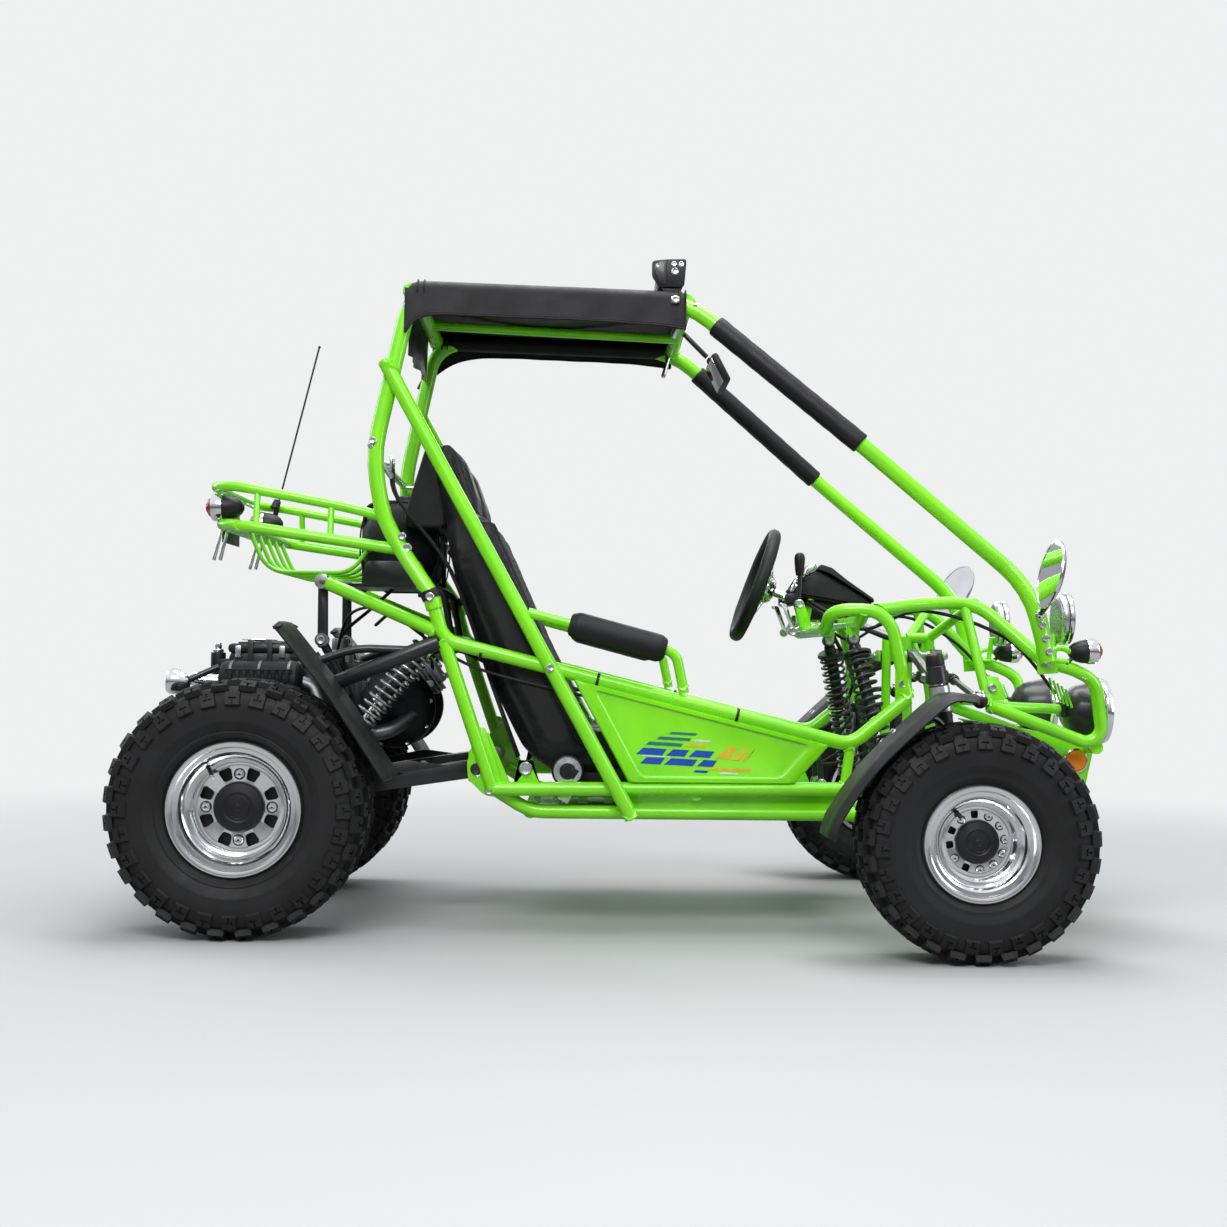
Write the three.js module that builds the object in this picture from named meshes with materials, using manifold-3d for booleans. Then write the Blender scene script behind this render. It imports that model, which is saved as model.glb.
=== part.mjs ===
// Off-road go kart with a tubular cage, two seats, coil-over suspension and four knobbly tyres.
// Millimetres. +X is the front of the kart, +Y its left side, +Z up.
// Places are measured from the middle of the wheelbase, on the ground, and from the centre line.
// The finished group is moved so that its origin is the middle of its footprint, on the ground.

import * as THREE from "three";
import { mergeVertices } from "three/addons/utils/BufferGeometryUtils.js";
import Module from "manifold-3d";

const wasm = await Module();
wasm.setup();

// Clearances and common stock
const seatGap = 0.3; // between two pieces that rest on each other
const runGap = 0.3; // round a pin or shaft that turns or slides in a bore
const weldDepth = 3; // how far one welded tube end sinks into the next
const cutOverrun = 6; // how far a cutting tool runs past the piece it cuts
const pinDiameter = 10; // suspension pivot bolts
const earThickness = 5; // plate of every bolt bracket
const bridgeWall = 8; // plate that joins two ears at their root
const eyeLength = 26; // rubber bushing between two ears
const eyeDiameter = 30;
const earReach = 11; // how far an ear runs past its bolt
const railTube = 30; // welded main tubes
const cageTube = 35; // roll cage tubes
const braceTube = 32; // long side diagonal
const lightTube = 22; // rack, armrest and small brace tubes

// Wheels
const wheelbase = 1494;
const rearTyreRadius = 269;
const rearTyreWidth = 250;
const rearTyreInnerY = 259;
const rearBeadRadius = 127;
const frontTyreRadius = 235;
const frontTyreWidth = 180;
const frontTyreInnerY = 543;
const frontBeadRadius = 101.5;
const rimWall = 4;
const rimFlangeHeight = 14;
const beadShare = 0.74; // half width of the rim as a share of the tyre's
const crownShare = 0.6; // half width of the flat tread as a share of the tyre's
const wallShare = 0.42; // where the side wall is widest, from bead to tread
const shoulderShare = 0.22;
const tyreClear = 1.5; // from the rim's edge to the bulge of the side wall
const rearDishDepth = 62;
const frontDishDepth = 50;
const rimDiscWall = 8;
const rearHubRadius = 34;
const frontHubRadius = 31;
const slotDiameter = 17;
const rearSlots = 8;
const hubCapProud = 22;

// Rear axle and swing arm
const axleDiameter = 30;
const axleFlangeRadius = 62;
const axleFlangeWall = 9;
const sprocketRadius = 98;
const sprocketWall = 8;
const sprocketY = 96;
const brakeDiscRadius = 92;
const brakeDiscWall = 5;
const brakeDiscY = -92;
const swingPivotX = -254;
const swingPivotZ = 343;
const swingBeamY = 206;
const swingBeamHeight = 40;
const swingBeamWidth = 34;
const swingPivotTube = 46;
const swingPivotBolt = 20;
const swingCrossX = -420;
const axleHousingRadius = 38;
const axleHousingLength = 54;

// Side frame places
const sideY = 345; // centre of the side rails
const clampX = -360; // where the cage is clamped on the side frame
const clampZ = 722;
const clampCollar = 46;
const clampCollarLength = 34;
const waistX = -331; // where the upper rail starts down to the front
const waistZ = 623;
const railKneeBack = 202;
const railKneeZ = 407;
const railTopBack = 79;
const railTopZ = 508;
const sillRearX = -222;
const sillRearZ = 306;
const sillFrontBack = 215;
const sillFrontZ = 312;
const floorRearX = -142;
const floorFrontBack = 187;
const floorZ = 256;
const floorY = 318;
const floorPlateWall = 4;
const braceTopX = -461;
const braceTopY = 332;
const braceTopZ = 1214;
const braceFootX = 77;
const braceFootY = 370;
const braceFootZ = 248;
const strutMidX = -190; // strut from the waist down to the rear end of the sill
const seatTubeRearX = -70; // cross tubes that carry the seats
const seatTubeFrontX = 215;
const seatTubeZ = 300;
const pivotPlateWall = 6;
const pivotPlateReach = 42;
const bayRearX = -611; // rear end of the engine bay
const bayRearY = 205;
const bayRearZ = 752;
const bayFrontZ = 640;
const bayFrontX = -344;
const armrestRearX = -150;
const armrestRearZ = 684;
const armrestBendX = 168;
const armrestBendZ = 601;
const armrestFootX = 186;
const armrestY = 352;

// Roll cage places
const roofY = 305;
const roofRearX = -413;
const roofRearZ = 1384;
const roofFrontX = 186;
const roofFrontZ = 1368;
const hipX = -492; // rearmost bend of the upright
const hipZ = 1020;
const hipLowX = -466;
const hipLowZ = 884;
const hipY = 316;
const pillarMidX = 567;
const pillarMidY = 368;
const pillarMidZ = 1047;
const pillarKneeReach = 178;
const pillarKneeY = 364;
const pillarKneeZ = 748;
const pillarFootReach = 219;
const pillarFootZ = 590;
const sleeveDiameter = 46;
const sleeveStartShare = 0.14; // start and end of the foam sleeve along the sloping pillar
const sleeveEndShare = 0.98;
const tieTube = 18; // thin cross rod between the uprights

// Front frame places
const dashLegBack = 120;
const dashLegZ = 698;
const dashRearBack = 244;
const dashCrossZ = 655;
const dashCrossY = 250;
const dashTube = 28;
const noseRailY = 150;
const noseRailReach = 313;
const noseRailZ = 330;
const noseRailBendReach = 213;
const noseRailBendZ = 292;
const hoodRearBack = 24;
const hoodRearZ = 716;
const hoodMidReach = 87;
const hoodMidZ = 719;
const hoodY = 262;
const bumperY = 330;
const bumperTopReach = 286;
const bumperTopZ = 574;
const bumperBendReach = 331;
const bumperBendZ = 548;
const bumperLowReach = 359;
const bumperLowZ = 400;
const bumperBackReach = 103;
const bumperBackZ = 494;
const postTopReach = 59;
const noseY = 236;
const noseTopReach = 343;
const noseTopZ = 404;
const noseRearReach = 158;
const noseRearZ = 448;
const noseTipReach = 335;
const noseTipZ = 320;
const noseWall = 4;

// Front suspension: parallel arms, a carrier that stays upright and a knuckle that steers on it
const casterDegrees = 9;
const kingpinY = 512;
const kingpinDiameter = 24;
const kingpinLow = -52; // ends of the kingpin along its own axis, from hub height
const kingpinHigh = 350;
const kingpinCapLength = 20;
const kingpinCapDiameter = 38;
const knuckleSleeve = 40;
const knuckleLow = -22;
const carrierInset = 34; // from the kingpin to the inner pivots of the carrier
const armInnerY = 200;
const armOuterDrop = 45; // how much lower the outer end of each arm is
const lowerArmLift = 5; // inner pivots of the arms above the front axle
const upperArmHeight = 365;
const lowerRearBack = 157;
const lowerFrontReach = 158;
const upperRearBack = 41;
const upperFrontReach = 11;
const armTube = 24;
const armStub = 26; // straight run of an arm leg beside its bushing
const towerY = 128; // posts that carry the upper arms
const towerHeight = 42; // top of the posts above the upper arms
const stubAxleDiameter = 22;
const stubAxleTip = 28;
const steerArmReach = 88;
const steerArmRod = 14;
const steerArmHeight = 262;
const tieRodDiameter = 14;
const tieBallDiameter = 24;
const rackDiameter = 22;
const rackHousing = 38;
const rackHousingHalf = 105;

// Coil-over shock absorbers
const frontShockTopBack = 174;
const frontShockTopY = 190;
const frontShockTopZ = 636;
const frontShockFootY = 300;
const frontShockFootOffset = 3.25; // from the middle of the lower arm's rear leg
const frontShockFootHeight = 36; // above the arm's inner pivots
const rearShockTopX = -362;
const rearShockY = 208;
const rearShockTopZ = 630;
const rearShockFootShare = 0.6734; // along the swing arm, from its pivot
const rearShockFootZ = 366;
const damperDiameter = 34;
const damperBoreStart = 62;
const damperEnd = 196;
const damperRod = 14;
const damperOverlap = 70;
const springSeatDiameter = 64;
const springSeatWall = 6;
const springSeatTop = 34;
const springSeatFoot = 34;
const springWire = 9;
const springMeanRadius = 25;
const frontSpringCurls = 6;
const rearSpringCurls = 5;
const looseBolt = 8; // bolt at the foot of each shock
const looseEyeBore = 16;
const looseEarGap = 4.2;

// Steering, pedals and dash
const driverY = 170;
const steerHubBack = 359;
const steerHubZ = 771;
const steerTiltDegrees = 20.3;
const steerRimDiameter = 292;
const steerGrip = 32;
const steerShaft = 20;
const steerShaftLength = 410;
const steerHubDiameter = 74;
const steerHubDepth = 34;
const steerHubBackShare = 1.4;
const spokeWidth = 34;
const spokeWall = 7;
const spokeCount = 3;
const bearingBlock = 44;
const pedalBack = 202;
const pedalZ = 292;
const pedalLength = 128;
const pedalLean = 12; // degrees that a pedal leans back at rest
const pedalPadWidth = 62;
const pedalPadHeight = 70;
const pedalPadWall = 12;
const brakeY = 196;
const throttleY = 104;
const pedalArm = 14;
const pedalPadDropShare = 0.3; // how far the pad sits below the tip of its arm
const smallEyeShare = 0.8;
const leverBack = 265;
const leverY = 62;
const leverPivotZ = 722;
const leverTopZ = 846;
const leverDiameter = 12;
const leverKnob = 26;
const podRearBack = 273;
const podFrontBack = 83;
const podHalfWidth = 78;
const podBaseZ = 742;
const podPeakBack = 211;
const podPeakZ = 812;
const podNoseZ = 728;
const podFootZ = 712;
const podPostDiameter = 16;
const podBackRunShare = 0.2; // corners of the pod's side view, from its lip to its nose
const podBackRiseShare = 0.6;
const podNoseRunShare = 0.4;
const podNoseDropShare = 0.35;

// Seats, pads and skins
const seatY = 168;
const seatWidth = 300;
const headrestWidth = 190;
const seatThickness = 92;
const seatBolster = 34;
const seatGrooveShare = 0.72;
const seatStations = 14;
const seatFrontX = 268;
const seatCushionZ = 392;
const seatHipX = -70;
const seatWaistX = -150;
const seatWaistZ = 560;
const seatShoulderX = -262;
const seatShoulderZ = 800;
const seatNeckX = -312;
const seatNeckZ = 912;
const seatHeadX = -356;
const seatHeadZ = 1060;
const seatLipShare = 0.1; // how the spine falls and rises along the cushion, in thicknesses
const seatHollowShare = 0.12;
const seatRiseShare = 0.22;
const seatMidShare = 0.45;
const seatHipShare = 0.4;
const seatCurveShare = 0.4;
const seatHeadFromShare = 0.78; // where the back narrows to the headrest
const seatHeadToShare = 0.9;
const seatHeadThinShare = 0.28;
const seatEndPower = 14; // how square the seat's ends are
const seatEndShare = 0.12;
const seatWaistShare = 0.14;
const seatGrooveEvery = 4;
const seatGrooveToShare = 0.75;
const seatBolsterRunShare = 1.15;
const seatEdgeFromShare = 0.6;
const seatEdgeToShare = 0.9;
const seatProfileShares = [
  [-1, -0.3], [-1, 0.35], [-0.86, 0.5], [-0.62, 0.44], [-0.3, 0.42], [0, 0.44], [0.3, 0.42],
  [0.62, 0.44], [0.86, 0.5], [1, 0.35], [1, -0.3], [0.8, -0.5], [-0.8, -0.5],
]; // section of the seat: across, and out from its spine
const seatRailWidth = 28;
const seatRailHeight = 40;
const armPadDiameter = 64;
const armPadStartX = -52;
const armPadLength = 200;
const armPadShares = [[0.7, 0], [0.92, 0.05], [1, 0.3], [1, 0.7], [0.92, 0.95], [0.7, 1]];
const panelWall = 4;
const panelStep = 7;
const panelProud = 6;
const panelLapShare = 0.3; // how close the sheet's edge comes to the middle of a tube
const panelEdge = 2.25; // how much further the sloping edge keeps off the rail
const panelFieldShare = 0.86;
const panelRearX = -40;
const panelFrontBack = 323;
const panelTopBack = 247;
const canopyWall = 4;
const canopyGap = 1.5;
const canopyDrop = 68;
const canopySag = 16;
const canopyRearX = -440;
const canopyFrontX = 196;
const canopyRearDrop = 62;
const canopyDip = 22;
const canopyDipShare = 0.6; // how far out the hollow of the top reaches
const canopyFlare = 7;
const canopyFold = 7;
const canopyFoldCount = 5;
const canopyStations = 10;
const lightBarTopZ = 1464;
const lightBarHeight = 62;
const lightBarDepth = 76;
const lightBarX = 110;
const lightBarHalf = 292;
const lightFinWall = 5;
const lightBodyDepthShare = 0.62;
const lightBodyHeightShare = 0.86;
const lightCapNotchShare = 0.45;
const lightCapFootShare = 0.2;

// Lamps, mirrors and mudguards
const headlampReach = 313;
const headlampY = 262;
const headlampZ = 488;
const headlampRadius = 62;
const headlampDepth = 74;
const headlampShares = [
  [0, -0.5], [0.45, -0.5], [0.85, -0.2], [1, 0.2], [1, 0.4], [0.9, 0.45], [0.5, 0.52], [0, 0.55],
]; // profile from the back of the bowl to the middle of the glass
const mirrorStalkReach = 201;
const mirrorY = 462;
const mirrorHeadZ = 772;
const mirrorRadius = 74;
const mirrorWall = 16;
const mirrorFootReach = 193;
const mirrorBall = 22;
const stalkMeetShare = 0.4; // how far below its middle the stalk meets the mirror
const insideMirrorX = 262;
const insideMirrorDrop = 58;
const insideMirrorWidth = 190;
const insideMirrorHeight = 62;
const insideMirrorWall = 14;
const insideMirrorDropShare = 0.6;
const guardWall = 4;
const guardLegShare = 0.55; // where the guard's leg starts up the knuckle
const guardTopClear = 54; // from the front tyre to the top of its guard
const guardTopShares = [0.1, 0.3]; // how far the flat top reaches back, in tyre radii
const guardDropShares = [[0.94, 0.62], [1.2, 0.25], [1.28, 0.04]]; // back and up from the hub
const frontGuardInnerY = 556;
const frontGuardOuterY = 716;
const rearGuardInnerY = 290;
const rearGuardOuterY = 486;
const rearGuardTopReach = 85; // upper and lower edge of the guard, from the rear axle
const rearGuardTopZ = 652;
const rearGuardLowReach = 317;
const rearGuardLowZ = 338;
const rearGuardBulge = 16;
const rearGuardSteps = 5;
const rearGuardStayRow = 2; // row of the guard that its stay holds
const stayDiameter = 34;

// Rear rack
const rackY = 300;
const rackFrontX = -428;
const rackFrontZ = 818;
const rackRearX = -836;
const rackRearZ = 876;
const rackTopFrontX = -470;
const rackTopFrontZ = 890;
const rackTopBendX = -543;
const rackTopBendZ = 910;
const rackTopRearX = -850;
const rackTopRearZ = 958;
const rackCornerX = 60;
const basketRod = 10;
const basketRun = 42;
const basketFrontX = -512;
const basketRearX = -782;
const rackTube = 25;
const rackPostRearX = -745;
const rackPostFrontX = -584;
const postDiameter = 14;
const basketY = 190;

// Engine
const engineX = -520;
const engineZ = 470;
const caseLength = 230;
const caseWidth = 190;
const caseHeight = 150;
const coverRadius = 92;
const coverWall = 54;
const coverReach = 240;
const barrelRadius = 52;
const barrelLength = 130;
const barrelRunShare = 1.05; // the barrel leans forward: its run and its rise
const barrelRiseShare = 0.75;
const backCoverShare = 0.75;
const coverBridgeShare = 0.7;
const airboxLength = 150;
const airboxWidth = 200;
const airboxHeight = 96;
const airboxX = -770;
const airboxZ = 566;
const mufflerRadius = 48;
const mufflerLength = 190;
const mufflerX = -850;
const mufflerZ = 525;
const mufflerY = -150;
const tailpipeRadius = 17;
const tailpipeLength = 60;

const weldStep = 0.001; // corners closer than this are one corner
const flatness = 0.14; // slivers thinner than this are taken out of the joined solids
const wideTube = 36; // tubes from this size up are drawn with more sides
const wireSize = 11; // and rods up to this size with fewer
const tubeSides = 8;
const thinSides = 6;
const wireSides = 4;
const pinSides = 6;
const fineSides = 8;
const shaftSides = 12;
const wheelSteps = 16;
const bendRoomShare = 0.45; // the most of a straight length that one bend takes
const bendStep = 0.8; // radians of a bend for each straight length that draws it
const coilStepsPerCurl = 8;
const coilSides = 5;

// Places worked out from the sizes above
const rearAxleX = -wheelbase / 2;
const frontAxleX = wheelbase / 2;
const rearAxleZ = rearTyreRadius;
const frontAxleZ = frontTyreRadius;
const rearWheelY = rearTyreInnerY + rearTyreWidth / 2;
const frontWheelY = frontTyreInnerY + frontTyreWidth / 2;
const railKneeX = frontAxleX - railKneeBack;
const railTopX = frontAxleX - railTopBack;
const sillFrontX = frontAxleX - sillFrontBack;
const floorFrontX = frontAxleX - floorFrontBack;
const pillarKneeX = frontAxleX + pillarKneeReach;
const pillarFootX = frontAxleX + pillarFootReach;
const dashLegX = frontAxleX - dashLegBack;
const dashRearX = frontAxleX - dashRearBack;
const noseRailX = frontAxleX + noseRailReach;
const noseRailBendX = frontAxleX + noseRailBendReach;
const hoodRearX = frontAxleX - hoodRearBack;
const hoodMidX = frontAxleX + hoodMidReach;
const bumperTopX = frontAxleX + bumperTopReach;
const bumperBendX = frontAxleX + bumperBendReach;
const bumperLowX = frontAxleX + bumperLowReach;
const bumperBackX = frontAxleX + bumperBackReach;
const postTopX = frontAxleX + postTopReach;
const noseTopX = frontAxleX + noseTopReach;
const noseRearX = frontAxleX + noseRearReach;
const noseTipX = frontAxleX + noseTipReach;
const lowerRearX = frontAxleX - lowerRearBack;
const lowerFrontX = frontAxleX + lowerFrontReach;
const upperRearX = frontAxleX - upperRearBack;
const upperFrontX = frontAxleX + upperFrontReach;
const steerHubX = frontAxleX - steerHubBack;
const pedalX = frontAxleX - pedalBack;
const leverX = frontAxleX - leverBack;
const podRearX = frontAxleX - podRearBack;
const podFrontX = frontAxleX - podFrontBack;
const podPeakX = frontAxleX - podPeakBack;
const panelFrontX = frontAxleX - panelFrontBack;
const panelTopX = frontAxleX - panelTopBack;
const headlampX = frontAxleX + headlampReach;
const mirrorStalkX = frontAxleX + mirrorStalkReach;
const mirrorFootX = frontAxleX + mirrorFootReach;
const lowerInnerZ = frontAxleZ + lowerArmLift;
const upperInnerZ = frontAxleZ + upperArmHeight;
const towerTopZ = upperInnerZ + towerHeight;
const frontShockTopX = frontAxleX - frontShockTopBack;
const guardPlateZ = frontAxleZ + frontTyreRadius + guardTopClear;
const rearGuardTopX = rearAxleX + rearGuardTopReach;
const rearGuardLowX = rearAxleX + rearGuardLowReach;
const caster = THREE.MathUtils.degToRad(casterDegrees);
const steerTilt = THREE.MathUtils.degToRad(steerTiltDegrees);

function at(x, y, z) {
  return new THREE.Vector3(x, y, z);
}

function mirrored(points, side) {
  return points.map((point) => at(point.x, point.y * side, point.z));
}

// A closed geometry becomes a solid that can be joined and cut
function solidOf(geometry) {
  const plain = geometry.clone();
  plain.deleteAttribute("normal");
  plain.deleteAttribute("uv");
  const merged = mergeVertices(plain, weldStep);
  const corners = Float32Array.from(merged.attributes.position.array);
  const faces = Uint32Array.from(merged.index.array);
  const a = new THREE.Vector3();
  const b = new THREE.Vector3();
  const c = new THREE.Vector3();
  let volume = 0;
  for (let i = 0; i < faces.length; i += 3) {
    a.fromArray(corners, faces[i] * 3);
    b.fromArray(corners, faces[i + 1] * 3);
    c.fromArray(corners, faces[i + 2] * 3);
    volume += a.dot(b.cross(c));
  }
  if (volume < 0) {
    for (let i = 0; i < faces.length; i += 3) {
      [faces[i], faces[i + 1]] = [faces[i + 1], faces[i]];
    }
  }
  const mesh = new wasm.Mesh({ numProp: 3, vertProperties: corners, triVerts: faces });
  mesh.merge();
  return new wasm.Manifold(mesh);
}

function join(...solids) {
  return solids.flat().reduce((whole, solid) => whole.add(solid));
}

function cut(solid, ...tools) {
  return tools.flat().reduce((whole, tool) => whole.subtract(tool), solid);
}

function geometryOf(solid) {
  const mesh = solid.asOriginal().simplify(flatness).getMesh();
  const geometry = new THREE.BufferGeometry();
  geometry.setAttribute("position", new THREE.BufferAttribute(mesh.vertProperties, 3));
  geometry.setIndex(new THREE.BufferAttribute(mesh.triVerts, 1));
  geometry.computeVertexNormals();
  return geometry;
}

// A run of straight lengths and round bends, stepped only where its direction changes
class BentRun extends THREE.Curve {
  constructor(stations) {
    super();
    this.stations = stations;
  }

  getUtoTmapping(u) {
    return u;
  }

  getPoint(t) {
    const place = t * (this.stations.length - 1);
    const start = Math.min(Math.floor(place), this.stations.length - 2);
    return this.stations[start].clone().lerp(this.stations[start + 1], place - start);
  }
}

function roundedStations(points, bendRadius) {
  const stations = [points[0]];
  for (let i = 1; i < points.length - 1; i += 1) {
    const corner = points[i];
    const back = points[i - 1].clone().sub(corner);
    const ahead = points[i + 1].clone().sub(corner);
    const room = Math.min(back.length(), ahead.length()) * bendRoomShare;
    const reach = Math.min(bendRadius, room);
    const start = corner.clone().addScaledVector(back.normalize(), reach);
    const end = corner.clone().addScaledVector(ahead.normalize(), reach);
    const steps = Math.round((Math.PI - back.angleTo(ahead)) / bendStep);
    const bend = new THREE.QuadraticBezierCurve3(start, corner, end);
    stations.push(...(steps > 0 ? bend.getPoints(steps) : [corner]));
  }
  stations.push(points[points.length - 1]);
  return stations;
}

function ringShape(radius, sides) {
  const corners = [];
  for (let i = 0; i < sides; i += 1) {
    const angle = (2 * Math.PI * (i + 0.5)) / sides;
    corners.push(new THREE.Vector2(radius * Math.cos(angle), radius * Math.sin(angle)));
  }
  return new THREE.Shape(corners);
}

function sidesOf(diameter) {
  if (diameter < wireSize) {
    return wireSides;
  }
  return diameter < wideTube ? thinSides : tubeSides;
}

// Half the distance between the flat sides of a tube as drawn
function flatOf(diameter) {
  return (diameter / 2) * Math.cos(Math.PI / sidesOf(diameter));
}

function bentTube(points, diameter, bendRadius = diameter * 2) {
  const stations = points.length > 2 ? roundedStations(points, bendRadius) : points;
  const path = new BentRun(stations);
  const options = { steps: stations.length - 1, extrudePath: path, bevelEnabled: false };
  return solidOf(new THREE.ExtrudeGeometry(ringShape(diameter / 2, sidesOf(diameter)), options));
}

function rod(from, to, diameter, sides = sidesOf(diameter)) {
  const along = to.clone().sub(from);
  const geometry = new THREE.CylinderGeometry(diameter / 2, diameter / 2, along.length(), sides);
  geometry.rotateY(Math.PI / sides);
  const turn = new THREE.Quaternion().setFromUnitVectors(at(0, 1, 0), along.clone().normalize());
  geometry.applyQuaternion(turn);
  const middle = from.clone().lerp(to, 0.5);
  geometry.translate(middle.x, middle.y, middle.z);
  return solidOf(geometry);
}

function ball(centre, diameter) {
  const geometry = new THREE.SphereGeometry(diameter / 2, thinSides, wireSides);
  geometry.translate(centre.x, centre.y, centre.z);
  return solidOf(geometry);
}

function block(centre, sizeX, sizeY, sizeZ, turnY = 0) {
  const geometry = new THREE.BoxGeometry(sizeX, sizeY, sizeZ);
  geometry.rotateY(turnY);
  geometry.translate(centre.x, centre.y, centre.z);
  return solidOf(geometry);
}

// A flat outline in the side view, given as [x, z] corners, with its thickness along Y
function sidePlate(corners, fromY, toY) {
  const shape = new THREE.Shape(corners.map(([x, z]) => new THREE.Vector2(x, z)));
  const depth = Math.abs(toY - fromY);
  const geometry = new THREE.ExtrudeGeometry(shape, { depth, bevelEnabled: false });
  geometry.rotateX(Math.PI / 2);
  geometry.translate(0, Math.max(fromY, toY), 0);
  return solidOf(geometry);
}

// A profile of [radius, along] points turned round the Y axis through a centre
function turned(profile, centre, steps = wheelSteps) {
  const points = profile.map(([radius, along]) => new THREE.Vector2(radius, along));
  points.push(points[0].clone());
  const geometry = new THREE.LatheGeometry(points, steps, Math.PI / steps);
  geometry.translate(centre.x, centre.y, centre.z);
  return solidOf(geometry);
}

// Two ears on a bridge, with the bolt between them that holds a bushing.
// The ears run from the bolt to the bridge, along the direction of the carrier.
function clevis(centre, axis, toCarrier, reach, gap = seatGap, boltDiameter = pinDiameter) {
  const along = axis.clone().normalize();
  const up = toCarrier.clone().addScaledVector(along, -toCarrier.dot(along)).normalize();
  const across = along.clone().cross(up);
  const inner = eyeLength / 2 + gap;
  const outer = inner + earThickness;
  const outline = [
    [-outer, -earReach],
    [-inner, -earReach],
    [-inner, reach - bridgeWall],
    [inner, reach - bridgeWall],
    [inner, -earReach],
    [outer, -earReach],
    [outer, reach],
    [-outer, reach],
  ];
  const shape = new THREE.Shape(outline.map(([x, y]) => new THREE.Vector2(x, y)));
  const fork = new THREE.ExtrudeGeometry(shape, { depth: earReach * 2, bevelEnabled: false });
  fork.translate(0, 0, -earReach);
  fork.applyMatrix4(new THREE.Matrix4().makeBasis(along, up, across));
  fork.translate(centre.x, centre.y, centre.z);
  const half = inner + earThickness / 2;
  const start = centre.clone().addScaledVector(along, -half);
  const end = centre.clone().addScaledVector(along, half);
  return join(solidOf(fork), rod(start, end, boltDiameter, pinSides));
}

function eye(centre, axis, diameter = eyeDiameter, length = eyeLength) {
  const along = axis.clone().normalize();
  const start = centre.clone().addScaledVector(along, -length / 2);
  const end = centre.clone().addScaledVector(along, length / 2);
  return rod(start, end, diameter, pinSides);
}

// A bore whose flat sides clear a round shaft of the given diameter at every angle
function boreFor(shaft, sides) {
  return (shaft + runGap * 2) / Math.cos(Math.PI / sides);
}

function eyeBore(centre, axis, bore) {
  return eye(centre, axis, bore, eyeLength + cutOverrun * 2);
}

const boltBore = boreFor(pinDiameter, pinSides);

// Main frame: floor, side rails, long braces, armrest tubes and the engine bay, welded in one
function sideTubes(side, grow) {
  const upperRail = [
    at(clampX, sideY, clampZ - seatGap),
    at(waistX, sideY, waistZ),
    at(railKneeX, sideY, railKneeZ),
    at(railTopX, sideY, railTopZ),
  ];
  const strut = [at(waistX, sideY, waistZ), at(sillRearX, sideY, sillRearZ)];
  const secondStrut = [at(strutMidX, sideY, waistZ + (railKneeZ - waistZ) * ((strutMidX - waistX)
    / (railKneeX - waistX))), at(floorRearX, sideY, sillRearZ)];
  const sill = [at(sillRearX, sideY, sillRearZ), at(sillFrontX, sideY, sillFrontZ)];
  const floorTube = [
    at(sillRearX, floorY + weldDepth, sillRearZ),
    at(floorRearX, floorY, floorZ),
    at(floorFrontX, floorY, floorZ),
  ];
  const sillRise = [at(sillFrontX, sideY, sillFrontZ), at(railKneeX, sideY, railKneeZ)];
  const brace = [at(braceTopX, braceTopY, braceTopZ), at(braceFootX, braceFootY, braceFootZ)];
  const bay = [
    at(bayFrontX, sideY, bayFrontZ),
    at((bayFrontX + bayRearX) / 2, (sideY + bayRearY) / 2, (bayFrontZ + bayRearZ) / 2),
    at(bayRearX, bayRearY, bayRearZ),
  ];
  const armrest = [
    at(armrestRearX, armrestY, armrestRearZ),
    at(armrestBendX, armrestY, armrestBendZ),
    at(armrestFootX, sideY, (waistZ + railKneeZ) / 2),
  ];
  const runs = [
    [upperRail, railTube],
    [strut, railTube],
    [secondStrut, lightTube],
    [sill, railTube],
    [floorTube, railTube],
    [sillRise, lightTube],
    [brace, braceTube],
    [bay, railTube],
    [armrest, lightTube],
  ];
  return runs.map(([points, size]) => bentTube(mirrored(points, side), size + grow, size));
}

function crossTubes(grow) {
  const runs = [
    [floorRearX, floorY, floorZ],
    [floorFrontX, floorY, floorZ],
    [seatTubeRearX, sideY, seatTubeZ],
    [seatTubeFrontX, sideY, seatTubeZ],
    [waistX, sideY, waistZ],
    [bayRearX, bayRearY, bayRearZ],
  ];
  return runs.map(([x, y, z]) => rod(at(x, -y, z), at(x, y, z), railTube + grow));
}

function frameTubes(grow) {
  return join(sideTubes(-1, grow), sideTubes(1, grow), crossTubes(grow));
}

function pivotPlate(side) {
  const inner = sideY - railTube / 2;
  const corners = [
    [swingPivotX - pivotPlateReach / 2, swingPivotZ - pivotPlateReach / 2],
    [sillRearX, sillRearZ - railTube / 2],
    [sillRearX + pivotPlateReach, sillRearZ],
    [swingPivotX + pivotPlateReach / 2, swingPivotZ + pivotPlateReach * 2],
    [swingPivotX - pivotPlateReach / 2, swingPivotZ + pivotPlateReach],
  ];
  return sidePlate(corners, side * inner, side * (inner + pivotPlateWall));
}

function floorPlate() {
  const length = floorFrontX - floorRearX;
  const middle = at((floorFrontX + floorRearX) / 2, 0, floorZ);
  return block(middle, length, floorY * 2, floorPlateWall);
}

function pedalBrackets() {
  return [brakeY, throttleY].map((y) => {
    const centre = at(pedalX, y, pedalZ);
    return clevis(centre, at(0, 1, 0), at(0, 0, -1), pedalZ - floorZ);
  });
}

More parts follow.
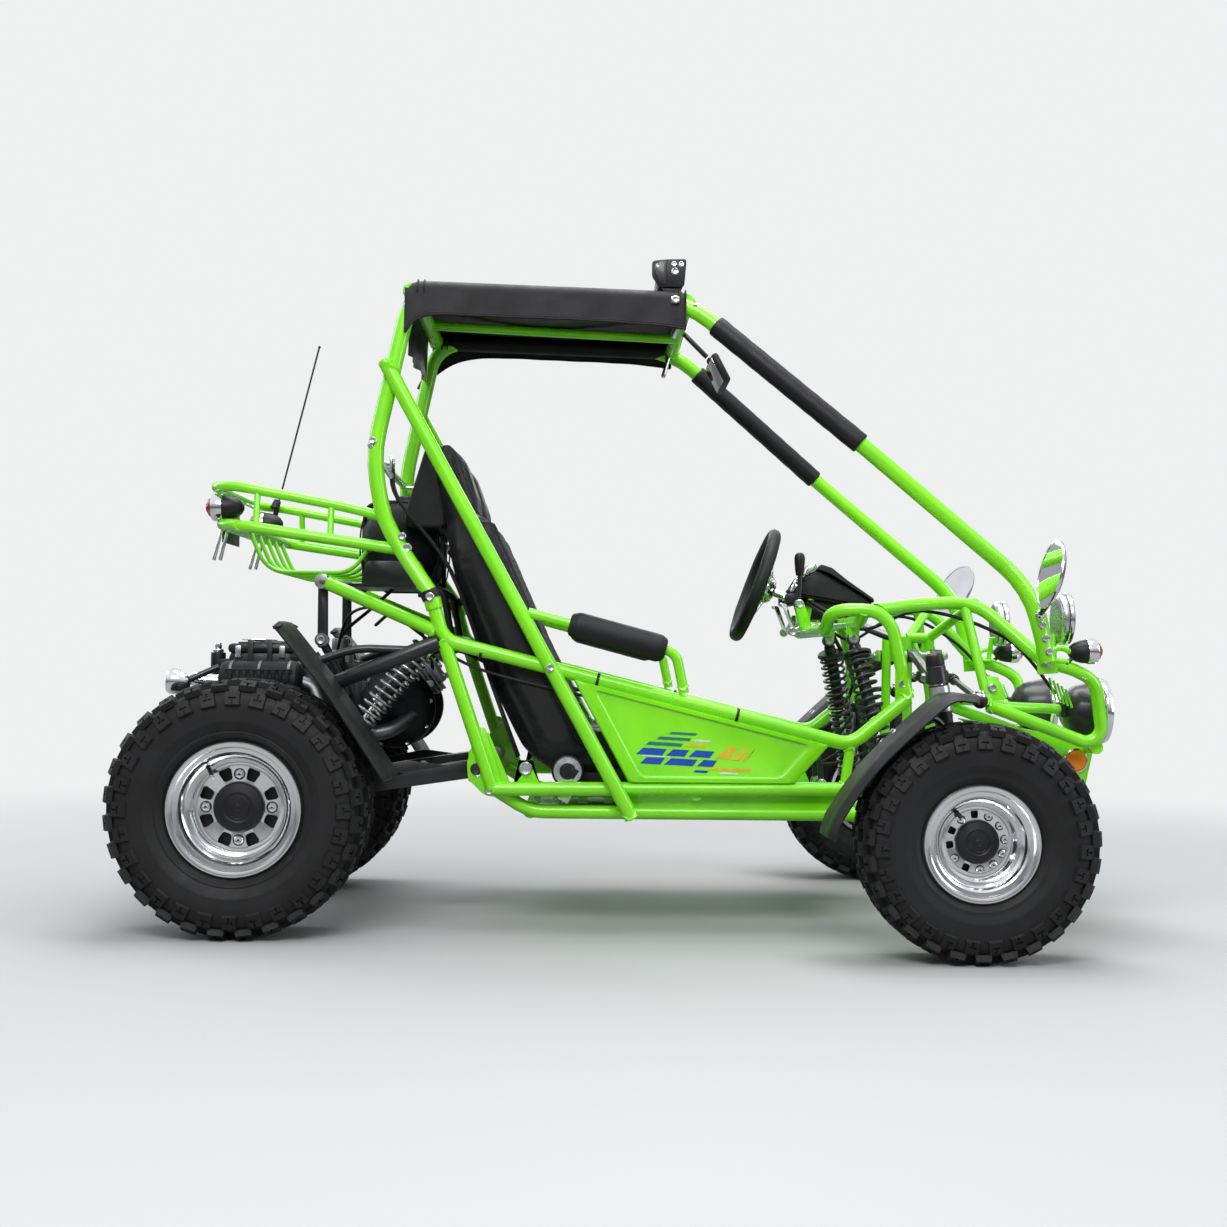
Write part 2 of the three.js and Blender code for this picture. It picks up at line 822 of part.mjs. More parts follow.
function mainFrame() {
  const pivotEnd = sideY;
  const pivotBolt = rod(
    at(swingPivotX, -pivotEnd, swingPivotZ),
    at(swingPivotX, pivotEnd, swingPivotZ),
    swingPivotBolt,
    fineSides,
  );
  const collars = [-1, 1].map((side) => {
    const down = at(waistX, 0, waistZ).sub(at(clampX, 0, clampZ)).normalize();
    const start = at(clampX, side * sideY, clampZ - seatGap);
    return rod(start, start.clone().addScaledVector(down, clampCollarLength), clampCollar);
  });
  const shockBrackets = [-1, 1].map((side) => {
    const place = rearShock(side).top;
    const toTube = at(waistX - rearShockTopX, 0, waistZ - rearShockTopZ);
    return clevis(place, at(0, 1, 0), toTube, toTube.length());
  });
  const whole = join(frameTubes(0), pivotPlate(-1), pivotPlate(1), pivotBolt, floorPlate(), collars,
    shockBrackets, pedalBrackets());
  return cut(whole, cageTubes(seatGap * 2));
}

// Roll cage: uprights, roof rails and front pillars, with the cross tubes between them
function cageTubes(grow) {
  const tubes = [];
  for (const side of [-1, 1]) {
    const run = [
      at(clampX, sideY, clampZ - grow),
      at(rackFrontX, hipY, rackFrontZ),
      at(hipLowX, hipY, hipLowZ),
      at(hipX, hipY, hipZ),
      at(roofRearX, roofY, roofRearZ),
      at(roofFrontX, roofY, roofFrontZ),
      at(pillarMidX, pillarMidY, pillarMidZ),
      at(pillarKneeX, pillarKneeY, pillarKneeZ),
      at(pillarFootX, pillarKneeY, pillarFootZ),
    ];
    tubes.push(bentTube(mirrored(run, side), cageTube + grow));
  }
  const crossings = [
    [roofRearX, roofY, roofRearZ, cageTube],
    [roofFrontX, roofY, roofFrontZ, cageTube],
    [hipX, hipY, hipZ, tieTube],
  ];
  for (const [x, y, z, size] of crossings) {
    tubes.push(rod(at(x, -y, z), at(x, y, z), size + grow));
  }
  return join(tubes);
}

// A short arm on the pillar that holds the ball of the door mirror
function mirrorFoot(side) {
  const ballPlace = mirrorPivot(side);
  const inner = at(mirrorFootX, side * pillarKneeY, ballPlace.z);
  const outer = ballPlace.clone();
  outer.y -= side * (mirrorBall / 2 + seatGap);
  return rod(inner, outer, leverDiameter);
}

function pillarSleeve(side) {
  const top = at(roofFrontX, side * roofY, roofFrontZ);
  const middle = at(pillarMidX, side * pillarMidY, pillarMidZ);
  const start = top.clone().lerp(middle, sleeveStartShare);
  const end = top.clone().lerp(middle, sleeveEndShare);
  return rod(start, end, sleeveDiameter);
}

function rollCage() {
  return join(cageTubes(0), pillarSleeve(-1), pillarSleeve(1), insideMirrorCarrier(), mirrorFoot(-1),
    mirrorFoot(1));
}

// Front frame: dash hoop, nose rails, hood hoops, bumper loops and the towers of the arms
function frontTubes(grow) {
  const tubes = [];
  const dash = [
    at(railTopX, sideY, railTopZ),
    at(dashLegX, sideY, dashLegZ),
    at(dashRearX, sideY - dashTube / 2, dashLegZ),
    at(dashRearX, dashCrossY, dashCrossZ),
  ];
  const hoop = [...mirrored(dash, -1), ...mirrored(dash, 1).reverse()];
  tubes.push(bentTube(hoop, dashTube + grow));
  const shockCross = [
    at(frontShockTopX, sideY, dashLegZ),
    at(frontShockTopX, sideY - dashTube * 2, shockCrossZ()),
  ];
  tubes.push(bentTube([...mirrored(shockCross, -1), ...mirrored(shockCross, 1).reverse()],
    dashTube + grow));
  for (const side of [-1, 1]) {
    const noseRail = [
      at(floorFrontX, noseRailY, floorZ),
      at(noseRailBendX, noseRailY, noseRailBendZ),
      at(noseRailX, noseRailY, noseRailZ),
      at(noseTopX, noseRailY, noseTopZ),
    ];
    const hood = [
      at(dashLegX - dashTube, sideY - dashTube / 2, dashLegZ),
      at(hoodRearX, hoodY, hoodRearZ),
      at(hoodMidX, hoodY, hoodMidZ),
      at(pillarFootX, bumperY, pillarFootZ),
    ];
    const bumper = [
      at(pillarFootX, bumperY, pillarFootZ),
      at(bumperTopX, bumperY, bumperTopZ),
      at(bumperBendX, bumperY, bumperBendZ),
      at(bumperLowX, bumperY - dashTube, bumperLowZ),
      at(bumperBackX, bumperY - dashTube / 2, bumperBackZ),
    ];
    const post = [at(postTopX, hoodY, hoodMidZ), at(bumperBackX, bumperY - dashTube / 2, bumperBackZ)];
    const towers = [upperRearX, upperFrontX].map((x) => [
      at(x, noseRailY, (floorZ + noseRailBendZ) / 2),
      at(x, towerY, towerTopZ),
    ]);
    const towerTop = [at(upperRearX, towerY, towerTopZ), at(upperFrontX, towerY, towerTopZ)];
    const towerStay = [at(upperFrontX, towerY, towerTopZ), at(hoodMidX, hoodY, hoodMidZ)];
    for (const run of [noseRail, hood, bumper]) {
      tubes.push(bentTube(mirrored(run, side), dashTube + grow));
    }
    for (const run of [post, towerTop, towerStay, ...towers]) {
      tubes.push(bentTube(mirrored(run, side), lightTube + grow));
    }
  }
  tubes.push(rod(at(upperFrontX, -towerY, towerTopZ), at(upperFrontX, towerY, towerTopZ),
    lightTube + grow));
  tubes.push(rod(at(noseTopX, dashTube - bumperY, noseTopZ), at(noseTopX, bumperY - dashTube,
    noseTopZ), dashTube + grow));
  return join(tubes);
}

function nosePlate() {
  const corners = [
    [noseRearX, noseRearZ],
    [noseTopX, noseTopZ + dashTube / 2],
    [noseTopX + dashTube / 2, noseTopZ],
    [noseTipX + noseWall, noseTipZ],
    [noseTipX, noseTipZ],
    [noseTopX + dashTube / 2 - noseWall, noseTopZ],
    [noseTopX - noseWall, noseTopZ + dashTube / 2 - noseWall],
    [noseRearX, noseRearZ - noseWall],
  ];
  return sidePlate(corners, -noseY, noseY);
}

const lowerPivots = [lowerRearX, lowerFrontX];
const upperPivots = [upperRearX, upperFrontX];

function shockCrossZ() {
  return frontShockTopZ + (eyeDiameter + dashTube) / 2 + bridgeWall;
}

function noseRailZAt(x) {
  const share = (x - floorFrontX) / (noseRailBendX - floorFrontX);
  return THREE.MathUtils.lerp(floorZ, noseRailBendZ, share);
}

function rackPlace() {
  return at(steerTip(1).x, 0, steerTip(1).z + armOuterDrop);
}

function frontBrackets() {
  const pieces = [];
  for (const side of [-1, 1]) {
    for (const x of lowerPivots) {
      const toRail = at(0, side * (noseRailY - armInnerY), noseRailZAt(x) - lowerInnerZ);
      pieces.push(clevis(at(x, side * armInnerY, lowerInnerZ), at(1, 0, 0), toRail, toRail.length()));
    }
    for (const x of upperPivots) {
      pieces.push(clevis(at(x, side * armInnerY, upperInnerZ), at(1, 0, 0), at(0, -side, 0),
        armInnerY - towerY));
    }
    const top = frontShockTop(side);
    pieces.push(clevis(top, frontShockAxis(side), at(0, 0, 1), shockCrossZ() - top.z));
  }
  return pieces;
}

function rackHousingSolid() {
  const place = rackPlace();
  const housing = rod(at(place.x, -rackHousingHalf, place.z), at(place.x, rackHousingHalf, place.z),
    rackHousing, fineSides);
  const stays = [-1, 1].map((side) => {
    const y = side * (rackHousingHalf - earThickness * 2);
    return bentTube([at(upperFrontX, y, towerTopZ), at(place.x, y, place.z)], lightTube);
  });
  return join(housing, stays);
}

function shaftPoint(distance) {
  const x = steerHubX + Math.cos(steerTilt) * distance;
  return at(x, driverY, steerHubZ - Math.sin(steerTilt) * distance);
}

function columnBearing(grow) {
  const distance = (frontShockTopX - steerHubX) / Math.cos(steerTilt);
  const half = (bearingBlock + grow) / 2;
  const middle = shaftPoint(distance);
  const foot = at(frontShockTopX, driverY, shockCrossZ());
  const bearing = rod(shaftPoint(distance - half), shaftPoint(distance + half), bearingBlock + grow,
    fineSides);
  return join(bearing, rod(foot, middle, bearingBlock / 2 + grow));
}

// The case at the low end of the shaft, on a stay from the rack housing
function gearCase() {
  const place = rackPlace();
  const start = shaftPoint(steerShaftLength - bearingBlock / 2);
  const end = shaftPoint(steerShaftLength + bearingBlock / 2);
  const middle = shaftPoint(steerShaftLength + bearingBlock / 4);
  const foot = at(place.x, rackHousingHalf - railTube, place.z);
  return join(rod(start, end, bearingBlock, fineSides), rod(foot, middle, lightTube));
}

function shaftBore() {
  return rod(shaftPoint(0), shaftPoint(steerShaftLength + cutOverrun), boreFor(steerShaft, shaftSides),
    shaftSides);
}

function leverBracket() {
  const toTube = at(dashRearX - leverX, 0, dashCrossZ - leverPivotZ);
  return clevis(at(leverX, leverY, leverPivotZ), at(0, 1, 0), toTube, toTube.length());
}

function podPosts(grow) {
  return [-1, 1].map((side) => {
    const y = driverY + side * (podHalfWidth - podPostDiameter);
    const foot = at(dashRearX, y, dashCrossZ);
    const top = at(dashRearX + podPostDiameter, y, podFloor(dashRearX) + podPostDiameter + grow);
    return rod(foot, top, podPostDiameter + grow);
  });
}

function headlampStays() {
  return [-1, 1].map((side) => {
    const y = side * headlampY;
    const back = headlampX - headlampDepth / 2 - seatGap;
    return bentTube([
      at(back, y, headlampZ),
      at(back - lightTube * 2, y, headlampZ),
      at(bumperBackX, side * (bumperY - dashTube / 2), bumperBackZ),
    ], lightTube, lightTube);
  });
}

function frontFrame() {
  const place = rackPlace();
  const whole = join(frontTubes(0), nosePlate(), frontBrackets(), rackHousingSolid(), columnBearing(0),
    gearCase(), leverBracket(), podPosts(0), headlampStays());
  const rackBore = rod(at(place.x, -rackHousingHalf - cutOverrun, place.z), at(place.x, rackHousingHalf
    + cutOverrun, place.z), rackDiameter + runGap * 2, fineSides);
  const touching = join(frameTubes(seatGap * 2), cageTubes(seatGap * 2));
  return cut(whole, rackBore, shaftBore(), touching);
}

// Shocks
function frontShockTop(side) {
  return at(frontShockTopX, frontShockTopY * side, frontShockTopZ);
}

// The foot stands over the rear leg of the lower arm
function frontShockFoot(side) {
  const inner = at(lowerRearX, armInnerY * side, lowerInnerZ);
  const outer = outerPivot(side, lowerInnerZ);
  const share = (frontShockFootY - armInnerY) / (Math.abs(outer.y) - armInnerY);
  const onLeg = inner.lerp(outer, share);
  return at(onLeg.x + frontShockFootOffset, frontShockFootY * side, lowerInnerZ + frontShockFootHeight);
}

function frontShockAxis(side) {
  const top = frontShockTop(side);
  const foot = frontShockFoot(side);
  const along = foot.clone().sub(top).normalize();
  const radius = foot.clone().sub(at(foot.x, side * armInnerY, lowerInnerZ));
  const travel = at(1, 0, 0).cross(radius).normalize();
  return along.clone().cross(travel).normalize();
}

function shockFrame(top, foot, axis) {
  const along = foot.clone().sub(top).normalize();
  const cross = axis.clone().addScaledVector(along, -axis.dot(along)).normalize();
  return { top, foot, along, cross, length: foot.distanceTo(top) };
}

function frontShock(side) {
  return shockFrame(frontShockTop(side), frontShockFoot(side), frontShockAxis(side));
}

function rearShock(side) {
  const footX = swingPivotX + (rearAxleX - swingPivotX) * rearShockFootShare;
  const top = at(rearShockTopX, rearShockY * side, rearShockTopZ);
  return shockFrame(top, at(footX, rearShockY * side, rearShockFootZ), at(0, 1, 0));
}

function onShock(frame, distance) {
  return frame.top.clone().addScaledVector(frame.along, distance);
}

function shockBody(frame) {
  const tube = rod(onShock(frame, 0), onShock(frame, damperEnd), damperDiameter, fineSides);
  const seat = rod(onShock(frame, springSeatTop), onShock(frame, springSeatTop + springSeatWall),
    springSeatDiameter, fineSides);
  const bore = rod(onShock(frame, damperBoreStart), onShock(frame, damperEnd + cutOverrun),
    damperRod + runGap * 2, fineSides);
  const sides = [-1, 1].map((side) => {
    const near = frame.top.clone().addScaledVector(frame.cross, (side * eyeLength) / 2);
    const far = near.clone().addScaledVector(frame.cross, side * damperDiameter * 2);
    return rod(near, far, eyeDiameter + earReach * 2);
  });
  const head = eye(frame.top, frame.cross);
  return cut(join(cut(join(tube, seat), sides), head), eyeBore(frame.top, frame.cross, boltBore), bore);
}

function shockRod(frame) {
  const start = damperEnd - damperOverlap;
  const shaft = rod(onShock(frame, start), onShock(frame, frame.length), damperRod, fineSides);
  const seatPlace = frame.length - springSeatFoot - springSeatWall;
  const seat = rod(onShock(frame, seatPlace), onShock(frame, seatPlace + springSeatWall),
    springSeatDiameter, fineSides);
  const foot = eye(frame.foot, frame.cross);
  return cut(join(shaft, seat, foot), eyeBore(frame.foot, frame.cross, looseEyeBore));
}

// One unbroken wire: a straight start, round curls, a straight end
function coilSpring(frame, curls, name) {
  const start = springSeatTop + springSeatWall + seatGap;
  const end = frame.length - springSeatFoot - springSeatWall - seatGap;
  const rise = (end - start - springWire * 2) / (curls * coilStepsPerCurl);
  const side = frame.along.clone().cross(frame.cross);
  const stations = [];
  const steps = curls * coilStepsPerCurl;
  const radialAt = (angle) => frame.cross.clone().multiplyScalar(Math.cos(angle))
    .addScaledVector(side, Math.sin(angle));
  const roundAt = (angle) => frame.cross.clone().multiplyScalar(-Math.sin(angle))
    .addScaledVector(side, Math.cos(angle));
  const slope = Math.atan2(rise * coilStepsPerCurl, 2 * Math.PI * springMeanRadius);
  const add = (distance, angle, lean) => {
    const radial = radialAt(angle);
    const centre = onShock(frame, distance).addScaledVector(radial, springMeanRadius);
    const tangent = frame.along.clone().multiplyScalar(Math.sin(lean))
      .addScaledVector(roundAt(angle), Math.cos(lean));
    stations.push({ centre, radial, up: tangent.clone().cross(radial), tangent });
  };
  const half = (slope + Math.PI / 2) / 2;
  add(start, 0, Math.PI / 2);
  add(start + springWire, 0, half);
  for (let i = 1; i < steps; i += 1) {
    add(start + springWire + i * rise, (i * 2 * Math.PI) / coilStepsPerCurl, slope);
  }
  add(end - springWire, (steps * 2 * Math.PI) / coilStepsPerCurl, half);
  add(end, (steps * 2 * Math.PI) / coilStepsPerCurl, Math.PI / 2);
  const corners = [];
  for (const station of stations) {
    for (let i = 0; i < coilSides; i += 1) {
      const angle = (2 * Math.PI * i) / coilSides;
      const corner = station.centre.clone()
        .addScaledVector(station.radial, (springWire / 2) * Math.cos(angle))
        .addScaledVector(station.up, (springWire / 2) * Math.sin(angle));
      corners.push(corner.x, corner.y, corner.z);
    }
  }
  const faces = [];
  for (let row = 0; row < stations.length - 1; row += 1) {
    for (let i = 0; i < coilSides; i += 1) {
      const next = (i + 1) % coilSides;
      const a = row * coilSides + i;
      const b = row * coilSides + next;
      faces.push(a, b, b + coilSides, a, b + coilSides, a + coilSides);
    }
  }
  const last = (stations.length - 1) * coilSides;
  for (let i = 1; i < coilSides - 1; i += 1) {
    faces.push(0, i + 1, i, last, last + i, last + i + 1);
  }
  let least = Infinity;
  for (let i = 0; i < stations.length; i += 1) {
    for (let j = i + coilStepsPerCurl / 2; j < stations.length; j += 1) {
      least = Math.min(least, stations[i].centre.distanceTo(stations[j].centre) - springWire);
    }
  }
  console.log(`${name}: least gap between curls ${least.toFixed(2)} mm`);
  const geometry = new THREE.BufferGeometry();
  geometry.setAttribute("position", new THREE.Float32BufferAttribute(corners, 3));
  geometry.setIndex(faces);
  return solidOf(geometry);
}

// Front suspension
function casterFrame(side) {
  const place = new THREE.Matrix4().makeTranslation(frontAxleX, side * kingpinY, frontAxleZ);
  return place.multiply(new THREE.Matrix4().makeRotationY(-caster));
}

function onKingpin(side, height, x = 0, y = 0) {
  return at(x, y * side, height).applyMatrix4(casterFrame(side));
}

function outerPivot(side, innerZ) {
  const z = innerZ - armOuterDrop;
  const x = frontAxleX - Math.tan(caster) * (z - frontAxleZ);
  return at(x, side * (kingpinY - carrierInset), z);
}

function armSolid(side, pivots, innerZ) {
  const outer = outerPivot(side, innerZ);
  const pieces = [eye(outer, at(1, 0, 0))];
  const bores = [eyeBore(outer, at(1, 0, 0), boltBore)];
  for (const x of pivots) {
    const inner = at(x, side * armInnerY, innerZ);
    const stubShare = (armStub / (kingpinY - carrierInset - armInnerY));
    const stub = at(x, side * (armInnerY + armStub), innerZ - armOuterDrop * stubShare);
    const near = at(outer.x, side * (Math.abs(outer.y) - armStub), outer.z + armOuterDrop * stubShare);
    pieces.push(eye(inner, at(1, 0, 0)));
    pieces.push(bentTube([inner, stub, near, outer], armTube, armStub / 2));
    bores.push(eyeBore(inner, at(1, 0, 0), boltBore));
  }
  return { pieces, bores };
}

function upperArm(side) {
  const arm = armSolid(side, upperPivots, upperInnerZ);
  return cut(join(arm.pieces), arm.bores);
}

function lowerArm(side) {
  const arm = armSolid(side, lowerPivots, lowerInnerZ);
  const frame = frontShock(side);
  const carrier = at(0, 0, -1);
  const bracket = clevis(frame.foot, frame.cross, carrier, frontShockFootHeight + armTube,
    looseEarGap, looseBolt);
  return cut(join(arm.pieces, bracket), arm.bores);
}

function carrierSolid(side) {
  const pieces = [
    rod(onKingpin(side, kingpinLow), onKingpin(side, kingpinHigh), kingpinDiameter, fineSides),
    rod(onKingpin(side, kingpinHigh), onKingpin(side, kingpinHigh + kingpinCapLength),
      kingpinCapDiameter, fineSides),
  ];
  for (const innerZ of [lowerInnerZ, upperInnerZ]) {
    const pivot = outerPivot(side, innerZ);
    pieces.push(clevis(pivot, at(1, 0, 0), at(0, side, 0), carrierInset));
    const width = eyeLength + (seatGap + earThickness) * 2;
    pieces.push(block(at(pivot.x, side * kingpinY, pivot.z), width, earThickness * 2,
      earReach * 2));
  }
  return join(pieces);
}

function steerTip(side) {
  return onKingpin(side, steerArmHeight, steerArmReach, -carrierInset);
}

function knuckle(side) {
  const low = knuckleLow;
  const sleeve = rod(onKingpin(side, low), onKingpin(side, upperReach(side)), knuckleSleeve, fineSides);
  const bore = rod(onKingpin(side, low - cutOverrun), onKingpin(side, upperReach(side) + cutOverrun),
    boreFor(kingpinDiameter, fineSides), fineSides);
  const start = at(frontAxleX, side * kingpinY, frontAxleZ);
  const tip = at(frontAxleX, side * (frontWheelY + stubAxleTip), frontAxleZ);
  const shoulder = at(frontAxleX, side * (frontWheelY - frontHubLength() - seatGap), frontAxleZ);
  const axle = rod(start, tip, stubAxleDiameter, fineSides);
  const collar = rod(start, shoulder, stubAxleDiameter + earThickness * 2, fineSides);
  return cut(join(sleeve, axle, collar, steerArm(side)), bore);
}

// Height along the kingpin where the knuckle ends, just under the upper pivot of the carrier
function upperReach() {
  const z = upperInnerZ - armOuterDrop - frontAxleZ - earReach;
  return z / Math.cos(caster) - Math.tan(caster) * knuckleSleeve / 2 - seatGap;
}

function steerArm(side) {
  const tip = steerTip(side);
  const rise = (tieBallDiameter + steerArmRod) / 2 + seatGap;
  const root = onKingpin(side, upperReach() - steerArmRod);
  const knee = root.clone().lerp(tip, 0.5);
  const above = at(tip.x, tip.y, tip.z + rise);
  return bentTube([root, at(knee.x, knee.y, root.z), at(knee.x, knee.y, above.z), above], steerArmRod,
    steerArmRod);
}

function frontHubLength() {
  return frontTyreWidth / 2 - frontDishDepth + hubCapProud;
}

function tieRod(side) {
  const tip = steerTip(side);
  const inner = at(tip.x, side * armInnerY, tip.z + armOuterDrop);
  return join(rod(inner, tip, tieRodDiameter), ball(tip, tieBallDiameter), ball(inner, tieBallDiameter));
}

function rackSolid() {
  const place = rackPlace();
  const end = armInnerY - tieBallDiameter / 2 - seatGap;
  return rod(at(place.x, -end, place.z), at(place.x, end, place.z), rackDiameter, fineSides);
}

// Wheels
function tyre(side, axleX, wheelY, radius, width, beadRadius) {
  const half = width / 2;
  const depth = radius - beadRadius;
  const outerRadius = radius / Math.cos(Math.PI / wheelSteps);
  const crown = half * crownShare;
  const beadY = half * beadShare;
  const outer = [
    [beadRadius, beadY],
    [beadRadius + rimFlangeHeight + tyreClear, beadY],
    [beadRadius + depth * wallShare, half],
    [outerRadius - depth * shoulderShare, half],
    [outerRadius, crown],
  ];
  const profile = [...outer, ...outer.map(([r, y]) => [r, -y]).reverse()];
  return turned(profile, at(axleX, side * wheelY, radius), wheelSteps);
}

function rim(side, axleX, wheelY, radius, width, beadRadius, dish, hub) {
  const seat = beadRadius - seatGap / Math.cos(Math.PI / wheelSteps);
  const half = (width / 2) * beadShare + seatGap;
  const lip = half + rimWall;
  const flange = beadRadius + rimFlangeHeight;
  const inside = seat - rimWall;
  const faceOut = lip - dish;
  const faceIn = faceOut - rimDiscWall;
  const profile = [
    [flange, side * half],
    [flange, side * lip],
    [inside, side * lip],
    [inside, side * faceOut],
    [hub.bore, side * faceOut],
    [hub.bore, side * faceIn],
    [inside, side * faceIn],
    [inside, -side * lip],
    [flange, -side * lip],
    [flange, -side * half],
    [seat, -side * half],
    [seat, side * half],
  ];
  const centre = at(axleX, side * wheelY, radius);
  const ring = (hub.flange + inside) / 2;
  const reach = rimDiscWall + cutOverrun;
  const y = centre.y + side * (faceIn + rimDiscWall / 2);
  const tools = [];
  for (let i = 0; i < hub.slots; i += 1) {
    const angle = ((i + 0.5) * 2 * Math.PI) / hub.slots;
    const x = centre.x + ring * Math.cos(angle);
    const z = centre.z + ring * Math.sin(angle);
    tools.push(rod(at(x, y - reach, z), at(x, y + reach, z), slotDiameter, wireSides));
  }
  return cut(turned(profile, centre, wheelSteps), tools);
}

function frontRim(side) {
  const hub = {
    bore: frontHubRadius - weldDepth,
    flange: frontHubRadius + slotDiameter / 2,
    slots: 0,
  };
  const centre = at(frontAxleX, side * frontWheelY, frontAxleZ);
  const body = rim(side, frontAxleX, frontWheelY, frontTyreRadius, frontTyreWidth, frontBeadRadius,
    frontDishDepth, hub);
  const bore = boreFor(stubAxleDiameter, fineSides) / 2;
  const inner = -frontHubLength();
  const outer = stubAxleTip + earThickness + runGap;
  const barrel = turned([
    [0, side * outer],
    [frontHubRadius, side * outer],
    [frontHubRadius, side * inner],
    [bore, side * inner],
    [bore, side * (stubAxleTip + runGap)],
    [0, side * (stubAxleTip + runGap)],
  ], centre, fineSides);
  return join(body, barrel);
}

function rearRim(side) {
  const hub = {
    bore: boreFor(rearHubRadius * 2, wheelSteps) / 2,
    flange: axleFlangeRadius - slotDiameter,
    slots: rearSlots,
  };
  return rim(side, rearAxleX, rearWheelY, rearTyreRadius, rearTyreWidth, rearBeadRadius,
    rearDishDepth, hub);
}

function rearFaceY() {
  return (rearTyreWidth / 2) * beadShare + seatGap + rimWall - rearDishDepth - rimDiscWall;
}

function rearAxle() {
  const centre = at(rearAxleX, 0, rearAxleZ);
  const pieces = [];
  const end = rearWheelY + rearFaceY() + rimDiscWall + hubCapProud;
  const shaftFrom = at(rearAxleX, -end, rearAxleZ);
  pieces.push(rod(shaftFrom, at(rearAxleX, end, rearAxleZ), axleDiameter, shaftSides));
  for (const side of [-1, 1]) {
    const face = rearWheelY + rearFaceY() - seatGap;
    const flange = [
      [0, side * face],
      [axleFlangeRadius, side * face],
      [axleFlangeRadius, side * (face - axleFlangeWall)],
      [0, side * (face - axleFlangeWall)],
    ];
    const boss = [
      [0, side * (face - axleFlangeWall / 2)],
      [rearHubRadius, side * (face - axleFlangeWall / 2)],
      [rearHubRadius, side * end],
      [0, side * end],
    ];
    pieces.push(turned(flange, centre, wheelSteps));
    pieces.push(turned(boss, centre, fineSides));
  }
  for (const [y, wall, radius] of [
    [sprocketY, sprocketWall, sprocketRadius],
    [brakeDiscY, brakeDiscWall, brakeDiscRadius],
  ]) {
    pieces.push(rod(at(rearAxleX, y - wall / 2, rearAxleZ), at(rearAxleX, y + wall / 2, rearAxleZ),
      radius * 2, wheelSteps));
  }
  return join(pieces);
}

function swingArm() {
  const pivot = at(swingPivotX, 0, swingPivotZ);
  const axle = at(rearAxleX, 0, rearAxleZ);
  const along = axle.clone().sub(pivot);
  const length = along.length();
  const angle = Math.atan2(along.z, -along.x);
  const pieces = [];
  const outer = sideY - railTube / 2 - seatGap;
  pieces.push(rod(at(pivot.x, -outer, pivot.z), at(pivot.x, outer, pivot.z), swingPivotTube, fineSides));
  for (const side of [-1, 1]) {
    const middle = pivot.clone().add(axle).multiplyScalar(0.5);
    middle.y = side * swingBeamY;
    pieces.push(block(middle, length, swingBeamWidth, swingBeamHeight, angle));
    const inner = side * (swingBeamY - axleHousingLength / 2);
    const far = side * (swingBeamY + axleHousingLength / 2);
    pieces.push(rod(at(axle.x, inner, axle.z), at(axle.x, far, axle.z), axleHousingRadius * 2,
      fineSides));
    const foot = rearShock(side).foot;
    const share = (foot.x - pivot.x) / along.x;
    const beamZ = pivot.z + along.z * share;
    pieces.push(clevis(foot, at(0, 1, 0), at(0, 0, -1), foot.z - beamZ, looseEarGap, looseBolt));
  }
  const crossShare = (swingCrossX - pivot.x) / along.x;
  const crossZ = pivot.z + along.z * crossShare;
  pieces.push(rod(at(swingCrossX, -swingBeamY, crossZ), at(swingCrossX, swingBeamY, crossZ), railTube));
  const pivotBore = rod(at(pivot.x, -sideY, pivot.z), at(pivot.x, sideY, pivot.z),
    boreFor(swingPivotBolt, fineSides), fineSides);
  const far = swingBeamY + axleHousingLength;
  const axleBore = rod(at(axle.x, -far, axle.z), at(axle.x, far, axle.z),
    boreFor(axleDiameter, shaftSides), shaftSides);
  return cut(join(pieces), pivotBore, axleBore);
}

// Mudguards
function frontGuard(side) {
  const plateZ = guardPlateZ;
  const rows = [
    [frontAxleX - frontTyreRadius * guardTopShares[0], plateZ],
    [frontAxleX - frontTyreRadius * guardTopShares[1], plateZ - guardWall],
    ...guardDropShares.map(([back, up]) => [
      frontAxleX - frontTyreRadius * back,
      frontAxleZ + frontTyreRadius * up,
    ]),
  ];
  const sheet = curvedSheet(rows, side * frontGuardInnerY, side * frontGuardOuterY);
  const legY = side * (kingpinY + knuckleSleeve / 2 + seatGap);
  const legX = onKingpin(side, upperReach()).x;
  const legLow = frontAxleZ + upperReach() * guardLegShare;
  const leg = block(at(legX, legY + (side * guardWall) / 2, (legLow + plateZ) / 2), knuckleSleeve,
    guardWall, plateZ - legLow);
  const reach = frontGuardInnerY - Math.abs(legY) + guardWall;
  const arm = block(at(legX, legY + (side * reach) / 2, plateZ - guardWall), knuckleSleeve, reach,
    guardWall);
  return join(sheet, arm, leg);
}

function curvedSheet(rows, fromY, toY) {
  const upper = rows.map(([x, z], i) => {
    const before = rows[Math.max(i - 1, 0)];
    const after = rows[Math.min(i + 1, rows.length - 1)];
    const length = Math.hypot(after[0] - before[0], after[1] - before[1]);
    const nx = (after[1] - before[1]) / length;
    const nz = -(after[0] - before[0]) / length;
    return [x - nx * guardWall, z - nz * guardWall];
  });
  return sidePlate([...rows, ...upper.reverse()], fromY, toY);
}

